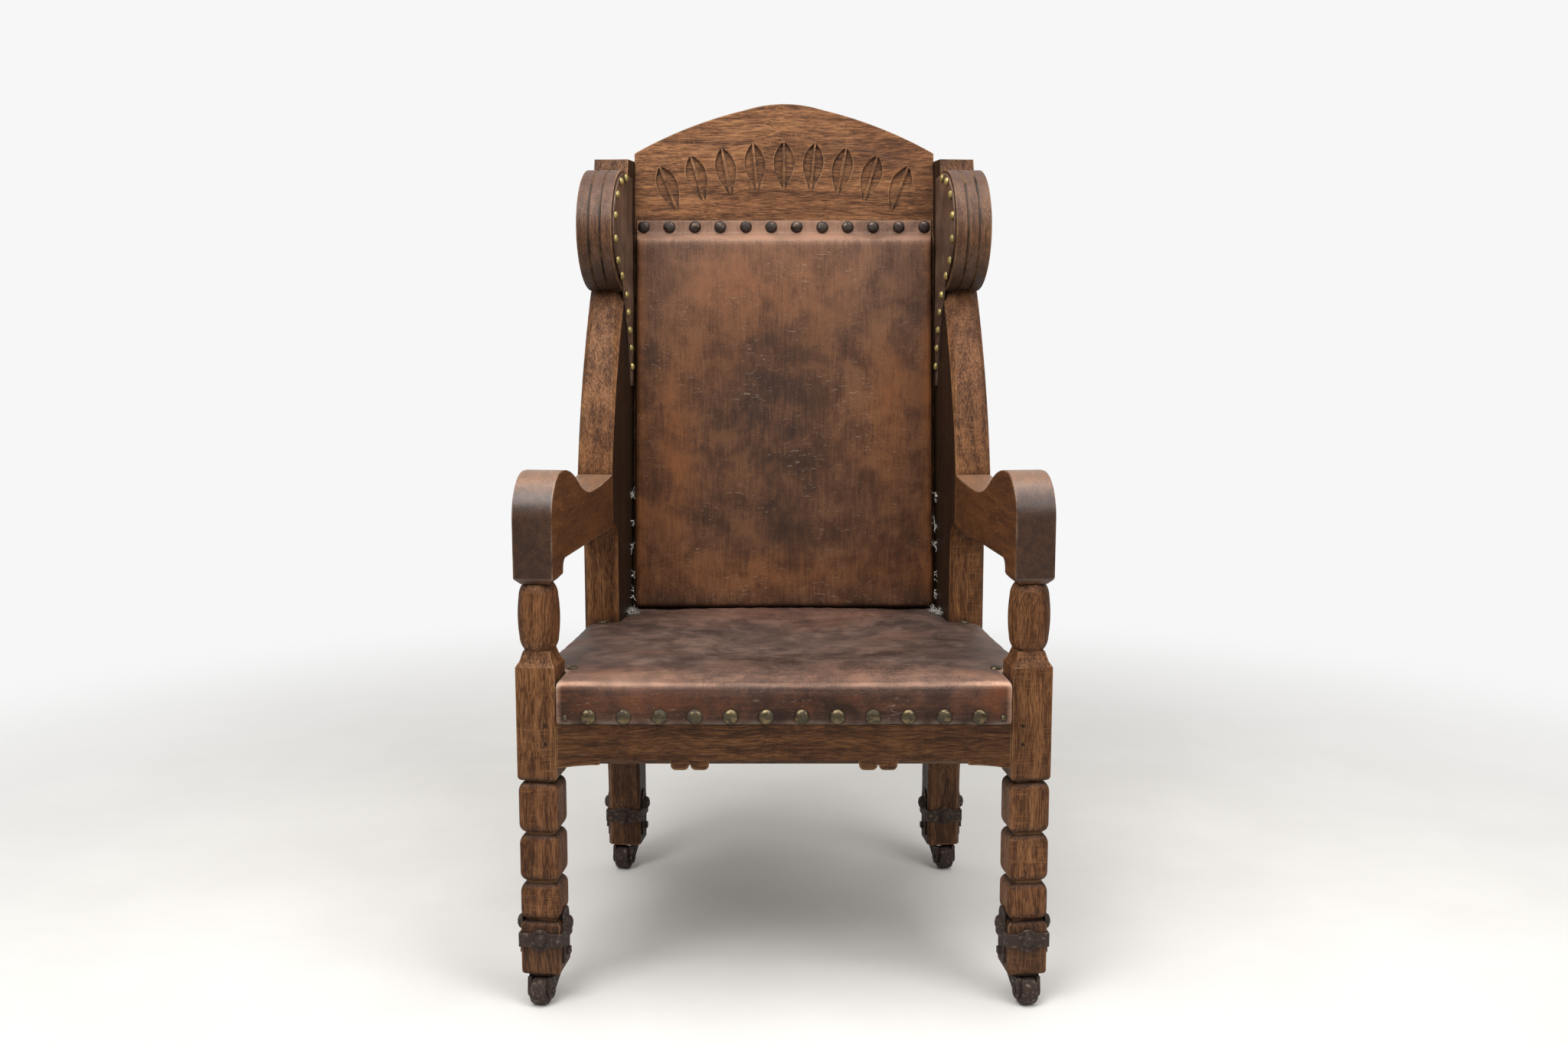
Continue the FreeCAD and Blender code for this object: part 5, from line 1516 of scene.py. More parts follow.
    def fill_barrel(self, leg: Shape, hand: float) -> None:
        """Fills out the belly of a front leg's turned barrel.

        Args:
            leg: The leg's shape.
            hand: 1 for the right leg, -1 for the left.
        """
        foot, head = self.barrel_span
        cut_across(leg, UP, steps_between(foot, head, self.barrel_rows))
        middle = self.frame.side(0.0, self.board / 2, 0.0, hand)
        for vertex in leg.verts:
            share = (vertex.co.z - foot) / (head - foot)
            if 0.0 < share < 1.0:
                out = Vector((vertex.co.x - middle.x, vertex.co.y - middle.y, 0.0)).normalized()
                vertex.co += out * self.barrel_fill * math.sin(math.pi * share)

    def gap_levels(self) -> list[float]:
        """Gives the middle level of each gap between a front leg's blocks, from the foot up."""
        return [self.block_foot + sum(self.block_heights[:k]) for k in range(len(self.block_heights) + 1)]

    def soil_leg(self, p: Vector) -> float:
        """Gives the dirt at a place on a front leg: in the gaps, above the collar and under it.

        Args:
            p: The place.

        Returns:
            The dirt, from 0 to 1.
        """
        gaps = max(self.gap_dirt * hump(p.z - level, self.gap_reach) for level in self.gap_levels())
        sole = self.sole_dirt if p.z < self.sole_level else 0.0
        return max(gaps, sole, self.foot_dirt * hump(p.z - self.foot_level, self.gap_reach))

    def post_shade_and_soil(self, way: Vector, p: Vector, hand: float, head: float) -> float:
        """Gives the darkening at a place on a rear post: painted shade on its inner side, painted shade and
        dirt low down, and dirt on its head.

        Args:
            way: The way that the face looks.
            p: The place.
            hand: 1 for the right post, -1 for the left.
            head: The level where the head starts.

        Returns:
            The darkening, from 0 to 1.
        """
        # Painted shade: the inner faces of the posts, beside the back, are darkened.
        if way.x * hand < -0.9:
            return self.inside_shade
        # Painted shade of the seat over the lower posts, and dirt: they are darkened towards the floor.
        low = self.low_shade_and_dirt * share_of(2.0 * (self.low_level - p.z) / self.low_level)
        return max(low, self.head_dirt * share_of((p.z - head) / self.head_reach))

    def worked(self, node: str, hand: float) -> Piece:
        """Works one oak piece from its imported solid.

        Args:
            node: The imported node.
            hand: 1 for a piece of the right side, -1 for the left, 0 for neither.

        Returns:
            The piece, before its finish.
        """
        shape = packed_shape(node)
        if node == "front_seat_rail":
            for vertex in shape.verts:
                vertex.co.z -= self.rail_drop if vertex.co.z < self.rail_foot else 0.0
        break_arrises(shape, self.arris_of(node), self.arm_steps if node.startswith("arm") else 2)
        if node.startswith("front_leg"):
            self.round_blocks(shape, hand)
            self.fill_barrel(shape, hand)
        if node.startswith("rear_post"):
            gridded(shape, (UP,), self.post_rows)
        return from_shape(f"{node}_oak", shape)

    def paint_shade_and_soil(self, piece: Piece, node: str, hand: float) -> None:
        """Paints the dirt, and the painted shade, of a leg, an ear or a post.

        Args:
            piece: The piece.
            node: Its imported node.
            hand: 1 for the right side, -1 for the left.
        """
        if node.startswith("front_leg"):
            paint(piece, "painted_shade_and_soil", self.soil_leg)
        if node.startswith("ear"):
            levels = [vertex.co.z for vertex in piece.data.vertices]
            middle, half = (max(levels) + min(levels)) / 2, (max(levels) - min(levels)) / 2
            paint(piece, "painted_shade_and_soil", lambda p: self.soil_ear(p, hand, middle, half))
        if node.startswith("rear_post"):
            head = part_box(node.replace("rear_post", "ear"))[1].z - self.head_reach
            paint_faces(piece, "painted_shade_and_soil", lambda way, p: self.post_shade_and_soil(way, p, hand, head))

    def build(self) -> None:
        """Builds and dresses the oak pieces."""
        for node, finish in self.shown().items():
            hand = HANDS.get(node.rpartition("_")[2], 0.0)
            piece = self.worked(node, hand)
            self.paint_shade_and_soil(piece, node, hand)
            smooth_arrises(piece)
            self.settle(piece, finish, "oak", [node])
        for node in self.hidden:
            self.coat(node, UPRIGHT_OAK)
        self.coat("joint_pegs", PEG_OAK)


@dataclass
class CrestRail(SubAssembly):
    """The arched crest with a carved row of leaves."""

    frame: ChairFrame
    arris: float = 1.8 * MM
    leaves: int = 9
    pitch: float = 47.0 * MM
    leaf_height: float = 78.0 * MM
    leaf_width: float = 33.0 * MM
    rib: float = 3.0 * MM
    depth: float = 5.0 * MM
    lean: float = 0.35
    taper: float = 0.9 * MM
    middle_level: float = 748.0 * MM
    fall: float = 38.0 * MM
    half_span: float = 190.0 * MM
    clear: float = 3.0 * MM
    leaf_points: int = 14

    def level(self, across: float) -> float:
        """Gives the height up the back of the carved row at a distance from the middle."""
        return self.middle_level - self.fall * (across / self.half_span) ** 2

    def half_leaf(self, side: float) -> list[tuple[float, float]]:
        """Gives the outline of half a leaf, on one side of its rib.

        Args:
            side: 1 for the right of the rib, -1 for the left.

        Returns:
            The outline's points about the leaf's middle.
        """
        half = self.leaf_height / 2
        outer = []
        for k in range(self.leaf_points + 1):
            along = -half + self.leaf_height * k / self.leaf_points
            share = 1.0 - (along / half) ** 2
            lean = 1.0 + self.lean * along / half
            outer.append((side * (self.rib / 2 + (self.leaf_width / 2 - self.rib / 2) * share * lean), along))
        return outer if side > 0 else outer[::-1]

    def gouge(self, shape: Shape, outline: Sequence[tuple[float, float]], across: float, tilt: float) -> None:
        """Adds one gouge cut to the cutting shape.

        Args:
            shape: The cutting shape.
            outline: The cut's outline about its own middle.
            across: Where its middle is.
            tilt: How far it leans with the arch.
        """
        middle_x = sum(p[0] for p in outline) / len(outline)
        middle_z = sum(p[1] for p in outline) / len(outline)
        rings = []
        for out, inset in ((-self.clear, 0.0), (self.depth, self.taper)):
            ring = []
            for x, z in outline:
                reach = max(math.hypot(x - middle_x, z - middle_z), inset)
                share = 1.0 - inset / reach
                x_cut = middle_x + (x - middle_x) * share
                z_cut = middle_z + (z - middle_z) * share
                turned_x = x_cut * math.cos(tilt) + z_cut * math.sin(tilt)
                turned_z = -x_cut * math.sin(tilt) + z_cut * math.cos(tilt)
                place = self.frame.back(across + turned_x, out, self.level(across) + turned_z)
                ring.append(shape.verts.new(place))
            rings.append(ring)
        join_rings(shape, *rings)
        shape.faces.new(rings[0][::-1])
        shape.faces.new(rings[1])

    def build(self) -> None:
        """Carves the crest."""
        shape = packed_shape("crest_rail")
        break_arrises(shape, self.arris)
        crest = from_shape("crest_rail_oak", shape)
        cuts = bmesh.new()
        for k in range(self.leaves):
            across = (k - (self.leaves - 1) / 2) * self.pitch
            slope = -2.0 * self.fall * across / self.half_span**2
            for side in (1.0, -1.0):
                self.gouge(cuts, self.half_leaf(side), across, -math.atan(slope))
        bmesh.ops.recalc_face_normals(cuts, faces=cuts.faces)
        cutter = from_shape("crest_gouges", cuts)
        carve = crest.modifiers.new("carving", "BOOLEAN")
        carve.operation = "DIFFERENCE"
        carve.solver = "EXACT"
        carve.object = cutter
        apply_modifiers(crest)
        bpy.data.objects.remove(cutter)
        smooth_arrises(crest)
        self.settle(crest, LIT_CROSS_OAK, "oak", ["crest_rail"])


@dataclass
class SeatCover(SubAssembly):
    """The seat's leather, pulled over its stuffing and nailed along its flaps."""

    frame: ChairFrame
    flap_face: float = 6.0 * MM
    flap_level: float = 403.0 * MM
    edge_level: float = 460.5 * MM
    crown: float = 5.0 * MM
    dish: float = 8.5 * MM
    dish_middle: float = 275.0 * MM
    dish_half_width: float = 270.0 * MM
    dish_half_depth: float = 200.0 * MM
    roll: float = 9.0 * MM
    roll_steps: int = 4
    inner_line: float = -28.5 * MM
    inner_columns: int = 38
    outer_line: float = 22.0 * MM
    leg_notch: float = 56.0 * MM
    post_notch: float = 396.0 * MM
    rear_reach: float = 496.0 * MM
    spacing: float = 8.0 * MM
    thickness: float = 2.5 * MM
    top_skin: float = 3.0 * MM
    slack: float = 1e-4
    ripple: Drift = Drift(1.2 * MM, (9.0, 14.0, 0.0), (0.0, 0.0, 0.7))
    flap_sag: Drift = Drift(1.2 * MM, (26.0, 0.0, 20.0), (0.0, 0.3, 0.0))
    hem_wave: Drift = Drift(2.2 * MM, (17.0, 0.0, 0.0), (0.0, 4.0, 0.0))
    side_wrinkles: Drift = Drift(1.6 * MM, (14.0, 60.0, 0.0), (0.0, 0.0, 2.0))
    wrinkled_from: float = 0.62
    highlight_and_rub_patches: Drift = Drift(0.5, (22.0, 0.0, 0.0), (0.0, 0.0, 7.0))
    highlight_and_rub_least: float = 0.85
    # Painted highlight and wear on the front roll, and on a strip of the top behind it.
    fold_highlight_and_rub: Mark = Mark(1.0, -1.5 * MM, 4.0 * MM, -1.0 * MM, 3.5 * MM)
    strip_highlight_and_rub: Mark = Mark(0.17, 18.0 * MM, 20.0 * MM)
    notch_rub: float = 0.5
    ragged: Drift = Drift(0.9, (60.0, 60.0, 60.0))
    ragged_least: float = 0.5
    hem_cut: Mark = Mark(0.5, level=-57.5 * MM, height=1.2 * MM)
    dust: Mark = Mark(0.55, 0.07, 0.27)
    dust_reach: float = 0.20
    warm_drift: Drift = Drift(0.35, (8.0, 14.0, 9.0))
    flap_warmth: tuple[Mark, ...] = (
        Mark(0.9, level=-28.75 * MM, height=26.0 * MM),
        Mark(0.5, 0.295, 0.02, mirrored=True),
    )
    top_warmth: tuple[Mark, ...] = (Mark(0.45, level=0.03, height=0.035), Mark(0.4, 0.0, 0.22, 0.44, 0.07))
    stain_drift: Drift = Drift(0.35, (9.0, 20.0, 0.0), (0.0, 0.0, 1.0))
    flap_stains: tuple[Mark, ...] = (
        Mark(0.5),
        Mark(0.9, level=-51.5 * MM, height=14.0 * MM),
        Mark(0.7, 0.055, 0.05, -0.012, 0.03),
    )
    # Painted shadow: a dark band across the front half of the seat's dish, behind the front roll.
    dish_shadow: Mark = Mark(0.85, 0.03, 0.17, 0.75, 0.30)
    pull: LeatherPull = LeatherPull()

    def row_of(self, along: float) -> float:
        """Gives the depth of the row that passes a place along the side at the inner line."""
        return along * math.cos(self.frame.splay) + self.inner_line * math.sin(self.frame.splay)

    def along_of(self, row: float) -> float:
        """Gives the place along the side at the inner line that a row passes."""
        return (row - self.inner_line * math.sin(self.frame.splay)) / math.cos(self.frame.splay)

    def from_dish(self, x: float, row: float) -> float:
        """Gives the square of how far a place is from the dish's middle, 1 at its rim."""
        return (x / self.dish_half_width) ** 2 + ((row - self.dish_middle) / self.dish_half_depth) ** 2

    def swell(self, x: float, row: float) -> float:
        """Gives the rise of the seat over its edge, with the shallow dish that a sitter leaves.

        Args:
            x: The place across.
            row: Its depth from the front line.

        Returns:
            The rise.
        """
        across = max(0.0, 1.0 - (x / self.frame.half_front) ** 2)
        dome = math.sqrt(across) * min(1.0, share_of(row / self.rear_reach) / 0.1)
        dish = max(0.0, 1.0 - self.from_dish(x, row))
        return self.crown * dome - self.dish * dish**0.8 + self.ripple.at(Vector((x, row, 0.0))) * across

    def rows(self) -> list[tuple[float, float]]:
        """Gives the rows of the leather, from the flap's foot to the seat's back.

        Returns:
            The depth and the level of each row.
        """
        face = -self.flap_face
        top = self.edge_level - self.roll
        found = [(face, z) for z in steps_between(self.flap_level, top, self.spacing)]
        found += [(face + inset, top + rise) for inset, rise in rounded(self.roll, self.roll_steps)]
        stops = [found[-1][0], self.row_of(self.leg_notch), self.row_of(self.post_notch), self.rear_reach]
        for first, last in zip(stops, stops[1:]):
            found += [(y, self.edge_level) for y in steps_between(first, last, self.spacing)[1:]]
        return found

    def columns(self) -> list[tuple[float | None, float, float]]:
        """Gives the columns of the leather's right half, from the middle out.

        Returns:
            The share of the inner width of each, or None with the distance across and the drop.
        """
        turn_line = self.outer_line - self.roll
        foot = self.edge_level - self.flap_level
        tops = steps_between(self.inner_line, turn_line, self.spacing)[1:]
        found = [(k / self.inner_columns, 0.0, 0.0) for k in range(self.inner_columns + 1)]
        found += [(None, across, 0.0) for across in tops]
        found += [(None, turn_line + reach, drop) for drop, reach in rounded(self.roll, self.roll_steps)]
        found += [(None, self.outer_line, drop) for drop in steps_between(self.roll, foot, self.spacing)[1:]]
        return found

    def place(
        self, row: tuple[float, float], column: tuple[float | None, float, float], hand: float
    ) -> Vector | None:
        """Gives the place of one point of the leather.

        Args:
            row: The depth and the level of its row.
            column: Its column of the right half.
            hand: 1 for the right half, -1 for the left.

        Returns:
            The place, or None where the leather is cut away.
        """
        depth, level = row
        share, across, drop = column
        along = self.along_of(depth)
        on_top = level >= self.edge_level - 1e-6
        if share is not None:
            x = self.frame.side(self.inner_line, along, level, 1.0).x * share
            rise = self.swell(x, depth) if on_top else 0.0
            return Vector((hand * x, self.frame.front_line + depth, level + rise))
        if not on_top or not self.leg_notch - self.slack <= along <= self.post_notch + self.slack:
            return None
        spot = self.frame.side(across, along, level - drop, hand)
        if drop == 0.0:
            fade = (self.outer_line - across) / (self.outer_line - self.inner_line)
            spot.z += self.swell(abs(spot.x), depth) * fade
        return spot

    def build(self) -> Piece:
        """Builds the leather and lets it settle.

        Returns:
            The leather.
        """
        right = self.columns()
        points = []
        for row in self.rows():
            left_half = [self.place(row, column, -1.0) for column in right[:0:-1]]
            points.append(left_half + [self.place(row, column, 1.0) for column in right])
        shape, _ = surface(points)
        flap_top = self.edge_level - self.roll - 4.0 * MM
        pinned = {vertex.index for edge in shape.edges if edge.is_boundary for vertex in edge.verts}
        pinned |= {vertex.index for vertex in shape.verts if vertex.co.z < flap_top}
        cover = from_shape("seat_leather_cover", shape)
        self.pull.settle(cover, sorted(pinned))
        self.crease(cover)
        for label in ("worn", "cut", "dusty", "warm", "darkened"):
            paint(cover, label, getattr(self, label))
        thicken(cover, self.thickness)
        self.settle(cover, SEAT_HIDE, "seat_leather", ["seat_leather"])
        return cover

    def crease(self, cover: Piece) -> None:
        """Waves the flap between its nails and wrinkles the leather towards the sides.

        Args:
            cover: The leather.
        """
        face = self.frame.front_line - self.flap_face + 1.0 * MM
        for vertex in cover.data.vertices:
            x, y, z = vertex.co
            if y < face and z < self.edge_level - self.roll:
                vertex.co.y -= max(0.0, self.flap_sag.at(Vector((x, y, z))))
                if z < self.flap_level + 1.0 * MM:
                    vertex.co.z += self.hem_wave.at(Vector((x, y, z)))
            elif z > self.edge_level - 2.0 * MM:
                side = max(0.0, abs(x) / self.frame.half_front - self.wrinkled_from)
                vertex.co.z += self.side_wrinkles.at(Vector((x, y, z))) * side / (1.0 - self.wrinkled_from)

    def seen_from_edge(self, p: Vector) -> Triple:
        """Gives how far a place is beyond the inner line, behind the front line and over the edge.

        Args:
            p: The place.

        Returns:
            The three distances.
        """
        depth = p.y - self.frame.front_line
        inner = self.frame.half_front + self.inner_line - depth * math.tan(self.frame.splay)
        return abs(p.x) - inner, depth, p.z - self.edge_level

    def worn(self, p: Vector) -> float:
        """Gives the painted highlight and wear along the front roll, and the wear at the legs' notches.

        Args:
            p: The place.

        Returns:
            The wear, from 0 to 1.
        """
        beyond, depth, rise = self.seen_from_edge(p)
        # Painted highlight and wear along the front roll and the strip behind it.
        front = self.fold_highlight_and_rub.at(depth, rise)
        front += self.strip_highlight_and_rub.at(depth, rise) if rise > -self.top_skin else 0.0
        by_leg = hump(beyond, 3.0 * MM) if depth < self.leg_notch + 4.0 * MM else 0.0
        behind_leg = hump(depth - self.leg_notch - 3.0 * MM, 4.0 * MM) if beyond > -4.0 * MM else 0.0
        patchy = self.highlight_and_rub_least + self.highlight_and_rub_patches.at(p)
        return min(1.0, patchy * front + self.notch_rub * max(by_leg, behind_leg))

    def cut(self, p: Vector) -> float:
        """Gives how far the pale cut edge of the leather shows.

        Args:
            p: The place.

        Returns:
            The share, from 0 to 1.
        """
        beyond, depth, rise = self.seen_from_edge(p)
        notch = 0.0
        if depth < self.leg_notch + 2.0 * MM and rise > -self.roll:
            notch = hump(beyond, 2.0 * MM)
        if beyond > -2.0 * MM:
            notch = max(notch, hump(depth - self.leg_notch - 1.0 * MM, 3.0 * MM))
            notch = max(notch, hump(depth - self.post_notch + 1.0 * MM, 3.0 * MM))
        return share_of((self.hem_cut.at(p.x, rise) + notch) * (self.ragged_least + self.ragged.at(p)))

    def dusty(self, p: Vector) -> float:
        """Gives the dust on the front of the seat.

        Args:
            p: The place.

        Returns:
            The dust, from 0 to 1.
        """
        _, depth, rise = self.seen_from_edge(p)
        front = max(0.0, 1.0 - depth / self.dust_reach)
        return front * self.dust.at(p.x, rise) if rise > -self.top_skin else 0.0

    def warm(self, p: Vector) -> float:
        """Gives how far the leather's own warm tone shows.

        Args:
            p: The place.

        Returns:
            The share, from 0 to 1.
        """
        _, depth, rise = self.seen_from_edge(p)
        on_flap = rise < -2.0 * MM and depth < 0.0
        marks, level = (self.flap_warmth, rise) if on_flap else (self.top_warmth, depth)
        return share_of(sum(mark.at(p.x, level) for mark in marks) + self.warm_drift.at(p))

    def darkened(self, p: Vector) -> float:
        """Gives how dark the flap is stained, and the painted shadow along the front of the dish.

        Args:
            p: The place.

        Returns:
            The stain, from 0 to 1.
        """
        _, depth, rise = self.seen_from_edge(p)
        drift = self.stain_drift.at(p)
        if rise < -self.roll:
            return share_of(sum(mark.at(p.x, rise) for mark in self.flap_stains) + drift)
        # Painted shadow along the front of the dish.
        band = self.dish_shadow.at(p.x, self.from_dish(p.x, depth)) if depth < self.dish_middle else 0.0
        return share_of(band + drift)


@dataclass
class BackPanel(SubAssembly):
    """The padded leather back, rolled at its edges and nailed under the crest."""

    frame: ChairFrame
    half_foot: float = 247.0 * MM
    half_top: float = 239.5 * MM
    foot: float = 26.0 * MM
    top: float = 660.0 * MM
    face: float = 23.5 * MM
    margin: float = 20.0 * MM
    margin_face: float = 2.5 * MM
    slope: float = 15.0 * MM
    slope_steps: int = 8
    roll: float = 10.0 * MM
    roll_steps: int = 5
    spacing: float = 8.0 * MM
    edge_spacing: float = 5.0 * MM
    thickness: float = 2.2 * MM
    pull: LeatherPull = LeatherPull(pressure=5.0, slack=0.008, reach=4.0 * MM)
    stains: tuple[Mark, ...] = (
        Mark(0.95, -0.04, 0.11, 0.33, 0.12),
        Mark(0.40, 0.085, 0.07, 0.49, 0.11),
        Mark(0.36, -0.02, 0.17, 0.17, 0.05),
        Mark(0.32, 0.215, 0.02, 0.45, 0.16, mirrored=True),
        Mark(0.6, level=26.0 * MM, height=0.02),
    )
    stain_drift: Drift = Drift(0.28, (10.0, 0.0, 6.0), (0.0, 0.4, 0.0))
    warmth: tuple[Mark, ...] = (
        Mark(0.8, -0.185, 0.035, 0.27, 0.15),
        Mark(0.7, 0.175, 0.04, 0.36, 0.13),
        Mark(0.55, -0.05, 0.12, 0.55, 0.08),
        Mark(0.8, 235.5 * MM, 0.011, mirrored=True),
        Mark(0.45, level=0.085, height=0.035),
    )
    warm_drift: Drift = Drift(0.32, (8.0, 0.0, 5.0), (0.0, 3.1, 0.0))
    # Painted highlight along the top fold.
    fold_highlight_and_rub: Mark = Mark(0.45, level=629.5 * MM, height=0.009)
    margin_rub: float = 0.30
    # Painted sheen: the leather is lightened towards its top, between these levels.
    upper_sheen: float = 0.13
    upper_sheen_span: tuple[float, float] = (0.44, 0.60)

    def edge_profile(self) -> list[tuple[float, float]]:
        """Gives the roll of the leather's edge, from the frame round to the face.

        Returns:
            The inset and the share of the full depth at each step.
        """
        straight = self.face - self.roll
        found = [(0.0, d / self.face) for d in steps_between(0.0, straight, self.edge_spacing)]
        turned = rounded(self.roll, self.roll_steps)
        return found + [(inset, (straight + rise) / self.face) for inset, rise in turned]

    def rows(self, flat: float) -> list[tuple[float, float]]:
        """Gives the rows of the leather, from its foot to its nailed margin.

        Args:
            flat: The share of the full depth that is left at the margin.

        Returns:
            The distance up the back and the share of the full depth of each row.
        """
        slope_foot = self.top - self.margin - self.slope
        found = [(self.foot + inset, share) for inset, share in self.edge_profile()]
        found += [(up, 1.0) for up in steps_between(found[-1][0], slope_foot, self.spacing)[1:]]
        for k in range(1, self.slope_steps + 1):
            share = flat + (1.0 - flat) * (1.0 + math.cos(math.pi * k / self.slope_steps)) / 2
            found.append((slope_foot + self.slope * k / self.slope_steps, share))
        margin = steps_between(self.top - self.margin, self.top, self.edge_spacing)
        return found + [(up, flat) for up in margin[1:]]

    def across(self, up: float) -> list[tuple[float, float]]:
        """Gives the points of one row.

        Args:
            up: Its distance up the back.

        Returns:
            The place across and the share of the full depth of each.
        """
        taper = (up - self.foot) / (self.top - self.foot)
        half = self.half_foot + (self.half_top - self.half_foot) * taper
        inner = half - self.roll
        edge = self.edge_profile()
        found = [(-half + inset, share) for inset, share in edge]
        found += [(x, 1.0) for x in steps_between(-inner, inner, self.spacing)[1:-1]]
        return found + [(half - inset, share) for inset, share in edge[::-1]]

    def build(self) -> Piece:
        """Builds the leather and lets it swell over its stuffing.

        Returns:
            The leather.
        """
        flat = self.margin_face / self.face
        points = []
        for up, share_up in self.rows(flat):
            row = []
            for x, share in self.across(up):
                held_in = min(share, 1.0) * share_up if share_up > flat else min(share, flat)
                row.append(self.frame.back(x, -self.face * held_in, up))
            points.append(row)
        count = min(len(row) for row in points)
        shape, grid = surface([row[:count] for row in points])
        held = {row[k].index for row in grid for k in (0, 1, 2, -3, -2, -1)}
        held |= {vertex.index for row in grid[:3] + grid[-6:] for vertex in row}
        cover = from_shape("back_leather_cover", shape)
        self.pull.settle(cover, sorted(held))
        for label in ("darkened", "warm", "worn"):
            paint(cover, label, getattr(self, label))
        thicken(cover, self.thickness)
        self.settle(cover, BACK_HIDE, "back_leather", ["back_leather"])
        return cover

    def darkened(self, p: Vector) -> float:
        """Gives the dark clouds of the leather."""
        rise = p.z - self.frame.back_level
        return share_of(sum(mark.at(p.x, rise) for mark in self.stains) + self.stain_drift.at(p))

    def warm(self, p: Vector) -> float:
        """Gives how far the leather's own warm tone shows."""
        rise = p.z - self.frame.back_level
        return share_of(sum(mark.at(p.x, rise) for mark in self.warmth) + self.warm_drift.at(p))

    def worn(self, p: Vector) -> float:
        """Gives the painted highlight at the top fold, the rubbed margin, and the painted sheen that lightens
        the leather towards its top.

        Args:
            p: The place.

        Returns:
            The wear, from 0 to 1.
        """
        rise = p.z - self.frame.back_level
        margin = self.margin_rub if rise > self.top - self.margin - 2.0 * MM else 0.0
        low, high = self.upper_sheen_span
        return self.fold_highlight_and_rub.at(p.x, rise) + margin + self.upper_sheen * share_of((rise - low) / (high - low))


def stud_spots(node: str, outward: Callable[[Vector], Vector]) -> list[Spot]:
    """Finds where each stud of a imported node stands.

    Args:
        node: The node's name.
        outward: Gives roughly the way that a stud at a place faces.

    Returns:
        For each stud the middle of its rim, the way it faces, and its radius.
    """
    shape = packed_shape(node)
    found = []
    for group in islands(shape):
        co = np.array([vertex.co for vertex in group])
        middle = co.mean(axis=0)
        spread, axes = np.linalg.eigh(np.cov((co - middle).T))
        axis = axes[:, 2] if spread[2] - spread[1] > spread[1] - spread[0] else axes[:, 0]
        hint = np.array(outward(Vector(middle)))
        axis = axis * math.copysign(1.0, float(axis @ hint))
        along = (co - middle) @ axis
        radial = np.linalg.norm(co - middle - np.outer(along, axis), axis=1)
        rim = co[radial > 0.97 * radial.max()]
        found.append((Vector(rim.mean(axis=0)), Vector(axis), float(radial.max())))
    shape.free()
    return found


@dataclass
class Studs(SubAssembly):
    """A set of domed nails or bolt heads."""

    node: str
    finish: MetalFinish
    slot: str
    outward: Callable[[Vector], Vector]
    height: float
    profile: tuple[tuple[float, float], ...]
    sides: int = 20
    widen: float = 1.0
    lean: float = math.radians(4.0)
    dent: float = 0.4 * MM
    dent_scale: float = 240.0
    seed: int = 1

    def spots(self) -> list[Spot]:
        """Gives the middle of each stud's rim, the way it faces, and its radius."""
        return stud_spots(self.node, self.outward)

    def stud(self, chance: random.Random, spot: Spot) -> Shape:
        """Turns one stud, a little dented and leaning.

        Args:
            chance: The source of its dents and its lean.
            spot: Where it stands, the way it faces, and its radius.

        Returns:
            The stud.
        """
        middle, axis, radius = spot
        one = lathe([(r * radius * self.widen, h * self.height) for r, h in self.profile], self.sides)
        shift = Vector([chance.uniform(-9, 9) for _ in range(3)])
        for vertex in one.verts:
            if vertex.co.z > 0.1 * self.height:
                vertex.co += self.dent * noise.noise_vector(vertex.co * self.dent_scale + shift)
        lean = Euler((chance.uniform(-self.lean, self.lean), chance.uniform(-self.lean, self.lean), 0.0))
        turn = axis.to_track_quat("Z", "Y").to_matrix().to_4x4()
        place = Matrix.Translation(middle) @ turn @ lean.to_matrix().to_4x4()
        one.transform(place @ Matrix.Rotation(chance.uniform(0.0, 6.28), 4, "Z"))
        return one

    def build(self) -> Piece:
        """Builds the studs as one piece, each a little different.

        Returns:
            The piece.
        """
        chance = random.Random(self.seed)
        noise.seed_set(self.seed)
        whole = bmesh.new()
        for spot in self.spots():
            one = self.stud(chance, spot)
            data = bpy.data.meshes.new("stud")
            one.to_mesh(data)
            one.free()
            whole.from_mesh(data)
            bpy.data.meshes.remove(data)
        piece = from_shape(f"{self.node}_heads", whole)
        smooth(piece, math.radians(50.0))
        stands_for = [self.node] if self.node in bpy.data.objects else []
        return self.settle(piece, self.finish, self.slot, stands_for)


@dataclass
class CornerNails(Studs):
    """Single nails at the corners of the seat's leather, and a tack at each end of its flap."""

    frame: ChairFrame | None = None
    cover: Piece | None = None
    radius: float = 7.8 * MM
    tack_share: float = 0.5
    tops: tuple[tuple[float, float], ...] = (
        (-34.0 * MM, 70.0 * MM),
        (-6.0 * MM, 384.0 * MM),
        (-36.0 * MM, 462.0 * MM),
    )
    tack_line: float = -28.5 * MM
    tack_level: float = 413.0 * MM
    tack_inset: float = 12.0 * MM
    probe: float = 0.2

    def lands(self, start: Vector, way: Vector) -> Spot:
        """Finds where a nail driven from a place meets the leather.

        Args:
            start: Where it is driven from.
            way: The way it is driven.

        Returns:
            The spot on the leather.
        """
        hit, place, facing, _ = self.cover.ray_cast(start, way)
        if not hit:
            place, facing = start + way * self.probe, -way
        if facing.dot(way) > 0.0:
            facing = -facing
        return place, facing, self.radius

    def spots(self) -> list[Spot]:
        """Gives the nails of both sides.

        Returns:
            For each nail its place on the leather, the way it faces, and its radius.
        """
        found = []
        for hand in HANDS.values():
            for across, along in self.tops:
                start = self.frame.side(across, along, self.frame.back_level + self.probe, hand)
                found.append(self.lands(start, -UP))
            corner = self.frame.side(self.tack_line, 0.0, self.tack_level, hand)
            start = corner + Vector((-hand * self.tack_inset, -self.probe, 0.0))
            place, facing, radius = self.lands(start, BACKWARD)
            found.append((place, facing, self.tack_share * radius))
        return found


